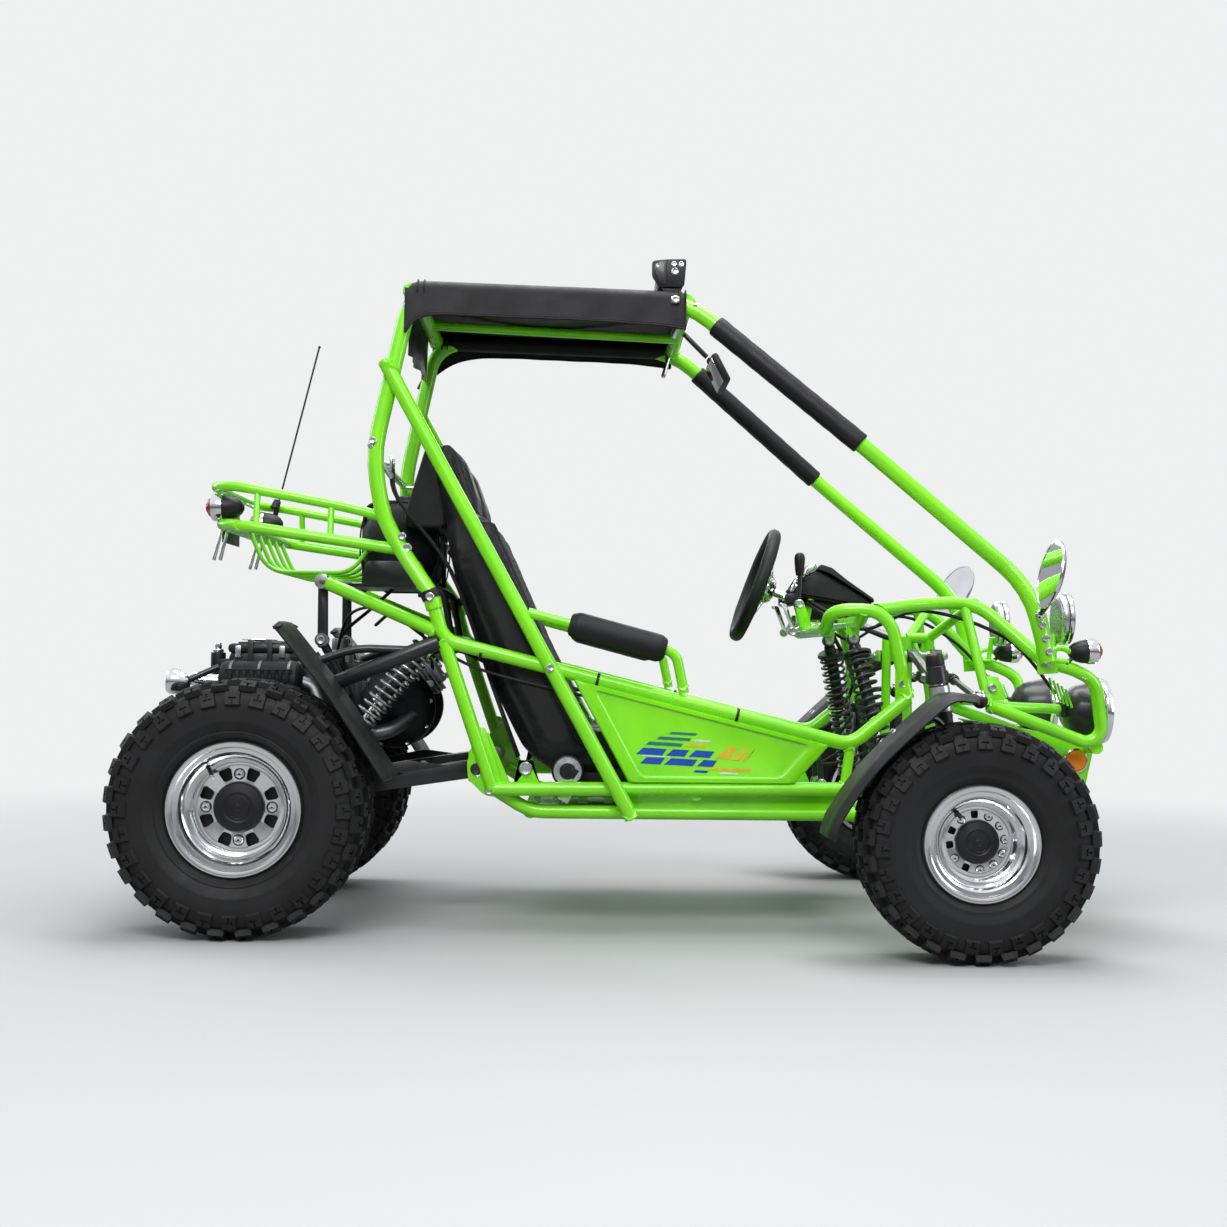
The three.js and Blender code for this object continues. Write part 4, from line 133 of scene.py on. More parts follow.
# %% Lamps
def soft_lamp(name, place, aim, width, height, watts, colour=(1, 1, 1)):
    bpy.ops.object.light_add(type="AREA", location=place)
    lamp = bpy.context.object
    lamp.name = name
    lamp.data.shape = "RECTANGLE"
    lamp.data.size = width
    lamp.data.size_y = height
    lamp.data.energy = watts
    lamp.data.color = colour
    lamp.rotation_euler = (Vector(aim) - Vector(place)).to_track_quat("-Z", "Y").to_euler()


soft_lamp("key_lamp", (-0.6, -3.6, 3.3), (0, 0, 0.6), 2.8, 1.4, 128)
soft_lamp("top_lamp", (0.2, 0.2, 3.8), (0, 0, 0.5), 3.2, 2.0, 128)
soft_lamp("nose_lamp", (3.6, -1.6, 1.7), (0.4, 0, 0.6), 1.4, 2.4, 40, (0.95, 0.98, 1))
soft_lamp("tail_lamp", (-3.6, 1.4, 2.2), (-0.4, 0, 0.6), 1.4, 2.4, 34)
soft_lamp("far_lamp", (0.4, 3.8, 2.4), (0, 0, 0.7), 2.8, 1.4, 34)
bpy.context.scene.view_settings.view_transform = "Standard"
print("five soft lamps")

# %% Floor
bpy.ops.mesh.primitive_plane_add(size=120)
floor = bpy.context.object
floor.name = "studio_floor"
paint = bpy.data.materials.new("floor_paint")
paint.use_nodes = True
tree = paint.node_tree
base, out = tree.nodes["Principled BSDF"], tree.nodes["Material Output"]
base.inputs["Roughness"].default_value = 0.7
base.inputs["Specular IOR Level"].default_value = 0.2
glow = shader_node(tree, "Emission", Color=PALE)
far = shader_node(tree, "TexCoord")
length = shader_node(tree, "VectorMath", operation="LENGTH")
fade = shader_node(tree, "MapRange", interpolation_type="SMOOTHSTEP", From_Min=1.5, From_Max=4.2)
spread = shader_node(tree, "MapRange", From_Min=0.9, From_Max=3.4)
path = shader_node(tree, "LightPath")
paler = shader_node(tree, "Mix", data_type="RGBA", A=(0.47, 0.473, 0.478, 1), B=(0.6, 0.604, 0.61, 1))
tone = shader_node(tree, "Mix", data_type="RGBA", A=(0.32, 0.32, 0.325, 1))
both = shader_node(tree, "Math", operation="MULTIPLY")
mix = shader_node(tree, "MixShader")
connect(tree, (far, "Object", length, 0), (length, "Value", fade, "Value"),
        (length, "Value", spread, "Value"), (spread, "Result", paler, "Factor"),
        (paler, "Result", tone, "B"), (path, "Is Camera Ray", tone, "Factor"),
        (tone, "Result", base, "Base Color"), (fade, "Result", both, 0), (path, "Is Camera Ray", both, 1),
        (both, 0, mix, 0), (base, 0, mix, 1), (glow, 0, mix, 2), (mix, 0, out, "Surface"))
floor.data.materials.append(paint)
print("floor:", len(tree.nodes), "nodes")

# %% [markdown]
# ## Finishes
# Every finish is made of nodes, so it needs no pictures and has the same scale on every piece. Each starts
# from one shader, and noise in Object coordinates varies its colour and roughness and lifts a fine bump.
# What differs is the scale: orange peel in paint, grain in vinyl, casting sand in the engine, fine turning
# lines on the rims.

# %% A finish and its noise
class Finish:
    """A material under construction: its shader, and the noises that vary it."""

    def __init__(self, name, colour, roughness, metallic=0.0, **sockets):
        self.material = bpy.data.materials.new(name)
        self.material.use_nodes = True
        self.tree = self.material.node_tree
        self.shader = self.tree.nodes["Principled BSDF"]
        self.colour = colour
        sockets.update(Base_Color=(*colour, 1), Roughness=roughness, Metallic=metallic)
        for socket, value in sockets.items():
            self.shader.inputs[socket.replace("_", " ")].default_value = value
        self.place = shader_node(self.tree, "TexCoord").outputs["Object"]
        self.normal = None

    def noise(self, scale, detail=4, stretch=(1, 1, 1)):
        where = self.place
        if stretch != (1, 1, 1):
            mapping = shader_node(self.tree, "Mapping", Scale=stretch)
            self.tree.links.new(where, mapping.inputs["Vector"])
            where = mapping.outputs["Vector"]
        noise = shader_node(self.tree, "TexNoise", Scale=scale, Detail=detail)
        self.tree.links.new(where, noise.inputs["Vector"])
        return noise.outputs["Fac"]

    def cells(self, scale, feature):
        cells = shader_node(self.tree, "TexVoronoi", feature=feature, Scale=scale)
        self.tree.links.new(self.place, cells.inputs["Vector"])
        return cells.outputs["Distance"]

    def span(self, factor, to_low, to_high, low=0.3, high=0.7):
        spread = shader_node(self.tree, "MapRange", From_Min=low, From_Max=high, To_Min=to_low,
                             To_Max=to_high)
        self.tree.links.new(factor, spread.inputs["Value"])
        return spread.outputs["Result"]

    def vary_colour(self, factor, other, low=0.35, high=0.7):
        mix = shader_node(self.tree, "Mix", data_type="RGBA", A=(*self.colour, 1), B=(*other, 1))
        self.tree.links.new(self.span(factor, 0, 1, low, high), mix.inputs["Factor"])
        self.tree.links.new(mix.outputs["Result"], self.shader.inputs["Base Color"])
        return self

    def vary_roughness(self, factor, low, high):
        self.tree.links.new(self.span(factor, low, high), self.shader.inputs["Roughness"])
        return self

    def bump(self, height, strength, distance):
        bump = shader_node(self.tree, "Bump", Strength=strength, Distance=distance)
        self.tree.links.new(height, bump.inputs["Height"])
        if self.normal:
            self.tree.links.new(self.normal, bump.inputs["Normal"])
        self.normal = bump.outputs["Normal"]
        self.tree.links.new(self.normal, self.shader.inputs["Normal"])
        return self


# %% Paints
def sprayed_paint(name, colour, shade, roughness=0.3, coat=0.5):
    """Sprayed enamel: a faint orange peel, and a shade more where it lies thick."""
    finish = Finish(name, colour, roughness, Coat_Weight=coat, Coat_Roughness=0.08)
    finish.vary_colour(finish.noise(9, 3), shade)
    finish.vary_roughness(finish.noise(24, 5), roughness - 0.05, roughness + 0.09)
    finish.bump(finish.noise(300, 2), 0.035, 0.0006)
    finish.bump(finish.noise(70, 3), 0.05, 0.001)
    return finish.material


LIME = (0.255, 0.87, 0.006)
lime_paint = sprayed_paint("lime_paint", LIME, (0.2, 0.76, 0.004))
black_paint = sprayed_paint("satin_black_paint", (0.01, 0.01, 0.011), (0.017, 0.017, 0.019), 0.36, 0.2)

# %% Metals
def polished(name, colour, roughness, spread=0.05, scale=60, stretch=(1, 1, 1)):
    """Bright metal with wiping marks: only its roughness and a very fine bump vary."""
    finish = Finish(name, colour, roughness, 1.0)
    marks = finish.noise(scale, 6, stretch)
    finish.vary_roughness(marks, roughness, roughness + spread)
    finish.vary_colour(finish.noise(14, 3), tuple(c * 0.88 for c in colour))
    finish.bump(marks, 0.05, 0.0004)
    return finish.material


chrome = polished("chrome", (0.86, 0.87, 0.88), 0.05, 0.06)
alloy = polished("polished_alloy", (0.88, 0.885, 0.9), 0.11, 0.1, 35, (1, 14, 1))
zinc = polished("zinc_plated_steel", (0.62, 0.63, 0.64), 0.24, 0.12, 90)
dark_steel = polished("dark_steel", (0.2, 0.2, 0.21), 0.34, 0.14, 80)


def cast_metal(name, colour, roughness):
    """A sand casting: coarse skin, dull in the hollows."""
    finish = Finish(name, colour, roughness, 0.85)
    skin = finish.noise(260, 6)
    finish.vary_colour(finish.noise(18, 4), tuple(c * 0.6 for c in colour))
    finish.vary_roughness(skin, roughness, roughness + 0.2)
    finish.bump(skin, 0.35, 0.0012)
    return finish.material


cast_grey = cast_metal("cast_aluminium", (0.34, 0.35, 0.36), 0.42)
cast_black = cast_metal("black_casting", (0.026, 0.027, 0.03), 0.42)

# %% Plastics, rubbers and vinyls
def moulded(name, colour, roughness, grain=900, depth=0.25, lighter=1.6):
    finish = Finish(name, colour, roughness, Specular_IOR_Level=0.3)
    fine = finish.noise(grain, 3)
    finish.vary_colour(finish.noise(12, 4), tuple(c * lighter for c in colour))
    finish.vary_roughness(finish.noise(40, 4), roughness - 0.06, roughness + 0.1)
    finish.bump(fine, depth, 0.0006)
    return finish.material


black_plastic = moulded("black_moulded_plastic", (0.01, 0.01, 0.011), 0.4)
guard_plastic = moulded("mudguard_plastic", (0.011, 0.011, 0.012), 0.46, 1400, 0.3)
grip_rubber = moulded("steering_grip", (0.008, 0.008, 0.009), 0.5, 1600, 0.5)
foam_rubber = moulded("foam_sleeve", (0.008, 0.008, 0.009), 0.44, 1100, 0.35)
hose_rubber = moulded("hose_rubber", (0.008, 0.008, 0.008), 0.48, 700, 0.3)
tyre_rubber = moulded("tyre_rubber", (0.009, 0.009, 0.0095), 0.6, 500, 0.4, 1.7)


def vinyl(name, colour, roughness, sheen):
    """Coated cloth: small cells between creases, as in leather grain."""
    finish = Finish(name, colour, roughness, Sheen_Weight=sheen, Sheen_Roughness=0.4,
                    Specular_IOR_Level=0.25)
    grain = finish.cells(620, "DISTANCE_TO_EDGE")
    finish.vary_colour(finish.noise(10, 4), tuple(c * 1.7 for c in colour))
    finish.vary_roughness(finish.noise(30, 5), roughness - 0.07, roughness + 0.1)
    finish.bump(finish.span(grain, 0, 1, 0, 0.25), 0.4, 0.0005)
    finish.bump(finish.noise(45, 4), 0.15, 0.003)
    return finish.material


seat_vinyl = vinyl("seat_vinyl", (0.009, 0.009, 0.01), 0.42, 0.03)
canopy_cloth = vinyl("canopy_cloth", (0.006, 0.006, 0.007), 0.46, 0.0)
thread = moulded("seam_thread", (0.025, 0.025, 0.028), 0.6, 2400, 0.5)

# %% Lenses
def lens(name, colour, roughness=0.08):
    """Moulded lamp glass: clear, with a fine fluting that spreads the light."""
    finish = Finish(name, colour, roughness, Transmission_Weight=0.85, IOR=1.46, Coat_Weight=0.4)
    wave = shader_node(finish.tree, "TexWave", bands_direction="Y", Scale=38)
    finish.tree.links.new(finish.place, wave.inputs["Vector"])
    finish.bump(wave.outputs["Fac"], 0.35, 0.0012)
    finish.vary_roughness(finish.noise(60, 3), roughness, roughness + 0.06)
    return finish.material


clear_lens = lens("clear_lens", (0.95, 0.96, 0.97), 0.03)
amber_lens = lens("amber_lens", (0.95, 0.3, 0.02))
red_lens = lens("red_lens", (0.8, 0.02, 0.015))
orange_reflector = moulded("orange_reflector", (0.95, 0.27, 0.01), 0.2, 260, 0.5, 1.0)
mirror_glass = polished("mirror_glass", (0.9, 0.91, 0.93), 0.02, 0.015, 20)
print(len(bpy.data.materials), "finishes")

# %% [markdown]
# ## Working habits
# Places are written in millimetres from the middle of the wheelbase, as on a workshop drawing, and `at` turns
# them into the frame's metres. Every operator acts on what is selected, so each helper starts by selecting
# nothing. `settle` puts a new object's place into its mesh, so that the object itself sits at the origin.

# %% Places and selections
SHIFT = -46.768  # from the middle of the wheelbase to the middle of the kart


def at(x, y, z):
    return Vector(((x + SHIFT) / 1000, y / 1000, z / 1000))


def mm(value):
    return value / 1000


SIDES = ((-1, "right"), (1, "left"))


def clear():
    if bpy.context.mode != "OBJECT":
        bpy.ops.object.mode_set(mode="OBJECT")
    bpy.ops.object.select_all(action="DESELECT")


def settle(finish):
    """The new object's place goes into its mesh, and it gets its finish."""
    if bpy.context.mode != "OBJECT":
        bpy.ops.object.mode_set(mode="OBJECT")
    bpy.ops.object.transform_apply(location=True, rotation=True, scale=True)
    piece = bpy.context.object
    piece.data.materials.append(finish)
    return piece


def edit(select="SELECT"):
    bpy.ops.object.mode_set(mode="EDIT")
    bpy.ops.mesh.select_all(action=select)


def outward():
    """Merges doubles and turns every face outwards."""
    bpy.ops.mesh.select_all(action="SELECT")
    bpy.ops.mesh.remove_doubles(threshold=0.00002)
    bpy.ops.mesh.normals_make_consistent(inside=False)
    bpy.ops.object.mode_set(mode="OBJECT")


def facing(direction):
    return Vector(direction).to_track_quat("Z", "Y").to_euler()


def join(pieces, name, angle=32):
    """Pieces that are bolted or welded into one."""
    clear()
    for piece in pieces:
        piece.select_set(True)
    bpy.context.view_layer.objects.active = pieces[0]
    if len(pieces) > 1:
        bpy.ops.object.join()
    bpy.ops.object.shade_smooth_by_angle(angle=math.radians(angle))
    whole = bpy.context.object
    whole.name = whole.data.name = name
    return whole


def ridden(piece, body, slot, *nodes):
    """The piece moves with a body and stands for its nodes. The slot is not used."""
    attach(piece, body)
    if nodes:
        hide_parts(*nodes)
    print(piece.name, "rides on", body, "with", len(piece.data.polygons), "faces")
    return piece


def fit(pieces, name, slot, *nodes, body="chassis", angle=32):
    """Joins pieces into one, smooths it below the angle and fits it to its body."""
    return ridden(join(pieces, name, angle), body, slot, *nodes)


def copied(piece, matrix, name=None):
    """A copy with a mesh of its own, moved in its mesh."""
    twin = piece.copy()
    twin.data = piece.data.copy()
    twin.data.transform(matrix)
    if matrix.determinant() < 0:
        twin.data.flip_normals()
    bpy.context.collection.objects.link(twin)
    if name:
        twin.name = twin.data.name = name
    return twin


def mirror_y():
    return Matrix.Scale(-1, 4, (0, 1, 0))


# %% One piece at a time
def chosen(piece):
    """Selects one piece alone and makes it the active one."""
    clear()
    bpy.context.view_layer.objects.active = piece
    piece.select_set(True)
    return piece


def from_points(points, faces=None):
    """A new piece from points: with faces between them, or else with a line from each point to the next."""
    line = [] if faces else [(i, i + 1) for i in range(len(points) - 1)]
    mesh = bpy.data.meshes.new("outline")
    mesh.from_pydata([tuple(p) for p in points], line, faces or [])
    piece = bpy.data.objects.new("outline", mesh)
    bpy.context.collection.objects.link(piece)
    return chosen(piece)


def modified(piece, kind, **settings):
    """Puts a modifier with its settings on the piece and applies it."""
    chosen(piece)
    change = piece.modifiers.new(kind.lower(), kind)
    for name, value in settings.items():
        setattr(change, name, value)
    bpy.ops.object.modifier_apply(modifier=change.name)
    return piece


# %% Bars, plates and turned pieces
def bar(start, end, diameter, finish, sides=24, edge=0.0):
    """A round bar between two points. Its rims are bevelled when an edge is given."""
    clear()
    start, end = Vector(start), Vector(end)
    along = end - start
    bpy.ops.mesh.primitive_cylinder_add(vertices=sides, radius=mm(diameter / 2), depth=along.length,
                                        location=(start + end) / 2, rotation=facing(along))
    if edge:
        edit("DESELECT")
        bpy.ops.mesh.select_mode(type="FACE")
        bpy.ops.object.mode_set(mode="OBJECT")
        for face in bpy.context.object.data.polygons:
            face.select = len(face.vertices) > 4 or sides <= 4 and abs(face.normal.z) > 0.9
        bpy.ops.object.mode_set(mode="EDIT")
        bpy.ops.mesh.region_to_loop()
        bpy.ops.mesh.bevel(offset=mm(edge), segments=2, affect="EDGES")
        bpy.ops.mesh.select_mode(type="VERT")
    return settle(finish)


def block(centre, size, finish, edge=2.0, turn=(0, 0, 0)):
    """A block with rounded edges, size in millimetres."""
    clear()
    bpy.ops.mesh.primitive_cube_add(size=1, location=centre, rotation=turn)
    bpy.context.object.scale = tuple(mm(s) for s in size)
    bpy.ops.object.transform_apply(location=False, rotation=False, scale=True)
    if edge:
        edit()
        bpy.ops.mesh.bevel(offset=mm(edge), segments=2, affect="EDGES")
    return settle(finish)


def plate(outline, along, thickness, finish, edge=0.0):
    """A flat outline drawn out along a direction. The outline is a list of points."""
    from_points(outline, [tuple(range(len(outline)))])
    edit()
    step = Vector(along).normalized() * mm(thickness)
    bpy.ops.mesh.extrude_region_move(TRANSFORM_OT_translate={"value": step})
    outward()
    if edge:
        edit()
        bpy.ops.mesh.bevel(offset=mm(edge), segments=2, affect="EDGES")
        bpy.ops.object.mode_set(mode="OBJECT")
    return settle(finish)


def turned(profile, centre, axis, finish, steps=64):
    """A profile of (radius, along) points in millimetres, spun round an axis through a centre."""
    axis = Vector(axis).normalized()
    out = axis.orthogonal().normalized()
    centre = Vector(centre)
    from_points([centre + out * mm(r) + axis * mm(a) for r, a in profile])
    edit()
    bpy.ops.mesh.spin(steps=steps, angle=math.tau, center=centre, axis=axis)
    outward()
    return settle(finish)


def ball(centre, diameter, finish, rings=12):
    clear()
    bpy.ops.mesh.primitive_uv_sphere_add(segments=rings * 2, ring_count=rings, radius=mm(diameter / 2),
                                         location=centre)
    return settle(finish)


# %% [markdown]
# ## Bent tube
# The frame is bent from round tube. A curve with a bevel would give the same shape, but the spin tool works
# the way a tube bender does: a disc is drawn out along a straight length, spun round the centre of the bend,
# and drawn out again.

# %% Tube bender
def tube(points, diameter, finish, reach=None, sides=20):
    clear()
    points = [Vector(p) for p in points]
    reach = mm(diameter * 2 if reach is None else reach)
    heading = (points[1] - points[0]).normalized()
    bpy.ops.mesh.primitive_circle_add(vertices=sides, radius=mm(diameter / 2), fill_type="NGON",
                                      location=points[0], rotation=facing(heading))
    bpy.ops.object.transform_apply(location=True, rotation=True)
    edit()
    here = points[0]
    for before, corner, after in zip(points, points[1:], points[2:]):
        ahead = (after - corner).normalized()
        turn = heading.angle(ahead)
        if turn < 0.02:
            continue
        room = 0.45 * min((corner - before).length, (after - corner).length)
        run = min(reach, room)
        start = corner - heading * run
        bpy.ops.mesh.extrude_region_move(TRANSFORM_OT_translate={"value": start - here})
        axis = heading.cross(ahead).normalized()
        centre = start + axis.cross(heading) * (run / math.tan(turn / 2))
        bpy.ops.mesh.spin(steps=max(2, round(turn / 0.16)), angle=-turn, center=centre, axis=axis)
        here = corner + ahead * run
        heading = ahead
    bpy.ops.mesh.extrude_region_move(TRANSFORM_OT_translate={"value": points[-1] - here})
    outward()
    return settle(finish)


def both(points):
    """The same run on the right-hand and the left-hand side."""
    return [[at(x, side * y, z) for x, y, z in points] for side in (-1, 1)]


def across(points):
    """A run from the right-hand side round to the left-hand side."""
    right, left = both(points)
    return right + left[::-1]


# %% [markdown]
# ## Welds and bolts
# Where one tube ends on another, the welder leaves a low bead that follows the saddle between them. A torus
# gives the ring, and moving each of its points along the tube by the other tube's curve gives the saddle.
# Bolts are repeated everywhere, so one is modelled, and the rest are copies of it.

# %% Weld bead
def bead(end, toward, diameter, other, other_along, finish=None):
    """A bead round a tube that ends at `end` on a tube of diameter `other`."""
    toward = (Vector(toward) - Vector(end)).normalized()
    along = Vector(other_along).normalized()
    side = toward.cross(along).normalized()
    clear()
    bpy.ops.mesh.primitive_torus_add(major_segments=36, minor_segments=6, major_radius=mm(diameter / 2),
                                     minor_radius=mm(2.6), location=(0, 0, 0), rotation=facing(toward))
    ring = settle(finish or lime_paint)
    for count, point in enumerate(ring.data.vertices, 1):
        reach = min(abs(point.co.dot(side)), mm(other / 2))
        rise = math.sqrt(mm(other / 2) ** 2 - reach ** 2)
        point.co += Vector(end) + toward * (rise + mm(0.5) * math.sin(count * 1.3))
    return ring


# %% Bolt
def bolt(place, direction, size=10, finish=None):
    """A flange bolt: washer, flange and hexagon with a dished top. `size` is its thread in millimetres."""
    direction = Vector(direction).normalized()
    place = Vector(place)
    finish = finish or zinc
    washer = turned([(size * 0.45, 0), (size * 1.05, 0), (size * 1.05, size * 0.1),
                     (size * 0.9, size * 0.24), (size * 0.45, size * 0.26)], place, direction, finish, 18)
    clear()
    middle = place + direction * mm(size * 0.48)
    bpy.ops.mesh.primitive_cylinder_add(vertices=6, radius=mm(size * 0.82), depth=mm(size * 0.56),
                                        location=middle, rotation=facing(direction))
    edit("DESELECT")
    bpy.ops.object.mode_set(mode="OBJECT")
    for face in bpy.context.object.data.polygons:
        face.select = face.normal.z > 0.9
    bpy.ops.object.mode_set(mode="EDIT")
    bpy.ops.mesh.select_mode(type="FACE")
    bpy.ops.mesh.inset(thickness=mm(size * 0.2))
    bpy.ops.transform.translate(value=direction * mm(-size * 0.08))
    bpy.ops.mesh.select_mode(type="VERT")
    head = settle(finish)
    return join([washer, head], "bolt", 25)


# %% Bracket
def ears(centre, axis, toward, reach, finish, gap=0.3, size=10, wall=5):
    """Two rounded plates with the bolt that holds a bushing between them."""
    centre = Vector(centre)
    along = Vector(axis).normalized()
    toward = Vector(toward)
    up = (toward - along * toward.dot(along)).normalized()
    side = along.cross(up)
    pieces = []
    inner = 13 + gap
    round_end = [(11 * math.cos(a), 11 * math.sin(a)) for a in [math.pi + math.pi * i / 8 for i in range(9)]]
    outline = round_end + [(13, reach), (-13, reach)]
    for edge in (-1, 1):
        start = centre + along * mm(edge * inner)
        flat = [start + side * mm(u) + up * mm(v) for u, v in outline]
        pieces.append(plate(flat, along * edge, wall, finish, 0.8))
    end = mm(inner + wall)
    pieces.append(bar(centre - along * end, centre + along * end, size, zinc, 12))
    pieces.append(bolt(centre + along * end, along, size))
    pieces.append(bolt(centre - along * end, -along, size))
    return pieces


def bush(centre, axis, length=26, finish=None, diameter=30):
    """A welded eye with its rubber bushing and steel sleeve."""
    centre, along = Vector(centre), Vector(axis).normalized()
    r = diameter / 2
    half = length / 2
    eye = turned([(r * 0.72, -half + 1), (r, -half + 1), (r, half - 1), (r * 0.72, half - 1),
                  (r * 0.72, -half + 1)], centre, along, finish or lime_paint, 28)
    rubber = turned([(5.4, -half), (r * 0.7, -half), (r * 0.78, -half + 1.5), (r * 0.78, half - 1.5),
                     (r * 0.7, half), (5.4, half), (5.4, -half)], centre, along, hose_rubber, 24)
    return [eye, rubber]


probe = tube([(0, 0, 0), (1, 0, 0), (1, 1, 0)], 30, lime_paint, 100)
top = max(v.co.y for v in probe.data.vertices)
print("a test bend ends at", round(top, 3), "of 1.0 m, with", len(probe.data.vertices), "points")
bpy.data.objects.remove(probe)


# %% Rounded outlines
def rounded(outline, radius, steps=5):
    """The outline with its corners rounded by arcs."""
    out = []
    for i, (x, z) in enumerate(outline):
        a = Vector(outline[i - 1]) - Vector((x, z))
        b = Vector(outline[(i + 1) % len(outline)]) - Vector((x, z))
        a.normalize(), b.normalize()
        for k in range(steps + 1):
            t = k / steps
            p = Vector((x, z)) + a * radius * (1 - t) ** 2 + b * radius * t ** 2
            out.append((p.x, p.y))
    return out

# %% [markdown]
# ## Main frame
# The lower frame is a welded ladder: side rails, sills and floor tubes on each side, cross tubes between
# them, long diagonals up to the cage, and a bay for the engine behind. Each tube is bent on its own and the
# whole is joined, as the welder does, with beads where the tubes meet.

# %% Main frame tubes
SIDE_RUNS = [
    ([(-360, 345, 722), (-331, 345, 623), (545, 345, 407), (668, 345, 508)], 30),
    ([(-331, 345, 623), (-222, 345, 306)], 30),
    ([(-222, 345, 306), (532, 345, 312)], 30),
    ([(-222, 321, 306), (-142, 318, 256), (560, 318, 256)], 30),
    ([(532, 345, 312), (545, 345, 407)], 22),
    ([(-461, 332, 1214), (77, 370, 248)], 32),
    ([(-344, 345, 640), (-477.5, 275, 696), (-611, 205, 752)], 30),
    ([(-150, 352, 684), (168, 352, 601), (186, 345, 515)], 22),
]
CROSS_RUNS = [(-142, 318, 256), (560, 318, 256), (-70, 345, 300), (215, 345, 300), (-331, 345, 623),
              (-611, 205, 752)]
parts = []
for run, size in SIDE_RUNS:
    for points in both(run):
        parts.append(tube(points, size, lime_paint, size))
for x, y, z in CROSS_RUNS:
    parts.append(bar(at(x, -y, z), at(x, y, z), 30, lime_paint))
for side in (-1, 1):
    parts.append(bar(at(-360, side * 345, 721.7), at(-350.4, side * 345, 689), 37, lime_paint, 28, 2))
    skirt = [(70, 264), (552, 264), (536, 304), (62, 304)]
    parts.append(plate([at(x, side * 326, z) for x, z in rounded(skirt, 6, 3)], (0, side, 0), 3, lime_paint,
                       1))
    for x in (150, 330, 500):
        parts.append(block(at(x, side * 330, 300), (20, 6, 12), lime_paint, 2))
    outline = [(-275, 322), (-222, 291), (-180, 306), (-233, 427), (-275, 385)]
    flat = [at(x, side * 330, z) for x, z in outline]
    parts.append(plate(flat, (0, side, 0), 6, lime_paint, 1.2))
    top = at(-362, side * 208, 630)
    parts += ears(top, (0, 1, 0), at(-331, 0, 623) - at(-362, 0, 630), 24, lime_paint)
parts.append(bar(at(-254, -345, 343), at(-254, 345, 343), 20, dark_steel))
for y in (196, 104):
    parts += ears(at(545, y, 292), (0, 1, 0), (0, 0, -1), 34, lime_paint)
print(len(parts), "parts in the main frame")

# %% Weld beads and bolts of the main frame
def side_beads(end, toward, size, other, along):
    made = []
    for side in (-1, 1):
        a = at(end[0], side * end[1], end[2])
        b = at(toward[0], side * toward[1], toward[2])
        made.append(bead(a, b, size, other, (along[0], side * along[1], along[2])))
    return made


parts += side_beads((-331, 345, 623), (-222, 345, 306), 30, 30, (876, 0, -216))
parts += side_beads((545, 345, 407), (532, 345, 312), 22, 30, (876, 0, -216))
parts += side_beads((532, 345, 312), (545, 345, 407), 22, 30, (1, 0, 0))
parts += side_beads((-461, 332, 1214), (77, 370, 248), 32, 35, (79, 0, 364))
parts += side_beads((77, 370, 248), (-461, 332, 1214), 32, 30, (1, 0, 0))
parts += side_beads((-344, 345, 640), (-477, 275, 696), 30, 30, (0, 0, 1))
parts += side_beads((186, 345, 515), (168, 352, 601), 22, 30, (876, 0, -216))
for side in (-1, 1):
    for x, z in ((-252, 416), (-221, 303), (-254, 343)):
        parts.append(bolt(at(x, side * 336, z), (0, side, 0), 14 if z == 343 else 10))
    brace_bolt = at(-101, side * 374, 566)
    parts.append(bolt(brace_bolt, (0.2, side, 0.1), 8))
    parts.append(bolt(at(-360, side * 364, 715), (0, side, 0), 9))
    parts.append(bar(at(-461, side * 332, 1214), at(-468, side * 331, 1227), 32, lime_paint, 24, 4))
main_frame = fit(parts, "main_frame_tubes", "green_paint")
tray = block(at(209, 0, 256), (700, 634, 4), lime_paint, 1)
for x in range(-90, 520, 60):
    for side in (-1, 1):
        rib = block(at(x, side * 150, 259), (22, 240, 3), lime_paint, 1.4)
        tray = join([tray, rib], "floor_tray")
ridden(tray, "chassis", "green_paint", "main_frame")
print("main frame:", len(main_frame.data.polygons), "faces")

# %% [markdown]
# ## Roll cage
# One long tube on each side makes upright, roof rail and front pillar, and cross tubes tie the two together.
# Foam sleeves pad the sloping pillars. Bolted joints in the real cage show as domed bolt heads.

# %% Roll cage
CAGE_RUN = [(-360, 345, 722), (-428, 316, 818), (-466, 316, 884), (-492, 316, 1020), (-413, 305, 1384),
            (186, 305, 1368), (567, 368, 1047), (925, 364, 748), (966, 364, 590)]
parts = []
for points in both(CAGE_RUN):
    parts.append(tube(points, 35, lime_paint, 70, 24))
for x, y, z, size in ((-413, 305, 1384, 35), (186, 305, 1368, 35), (-492, 316, 1020, 18)):
    parts.append(bar(at(x, -y, z), at(x, y, z), size, lime_paint))
    for side in (-1, 1):
        parts.append(bead(at(x, side * y, z), at(x, 0, z), size, 35, (0.2, 0, 1)))
for side in (-1, 1):
    parts.append(bar(at(940, side * 364, 690.2), at(940, side * 381.5, 690.2), 12, lime_paint, 16, 1))
parts.append(bar(at(186, 0, 1368), at(252.8, 0, 1301.6), 12, black_paint, 16, 1))
parts.append(bar(at(-413, 60, 1380), at(186, 60, 1354), 22, lime_paint))
cage = fit(parts, "cage_tubes", "green_paint", "roll_cage")
print("cage:", len(cage.data.polygons), "faces")

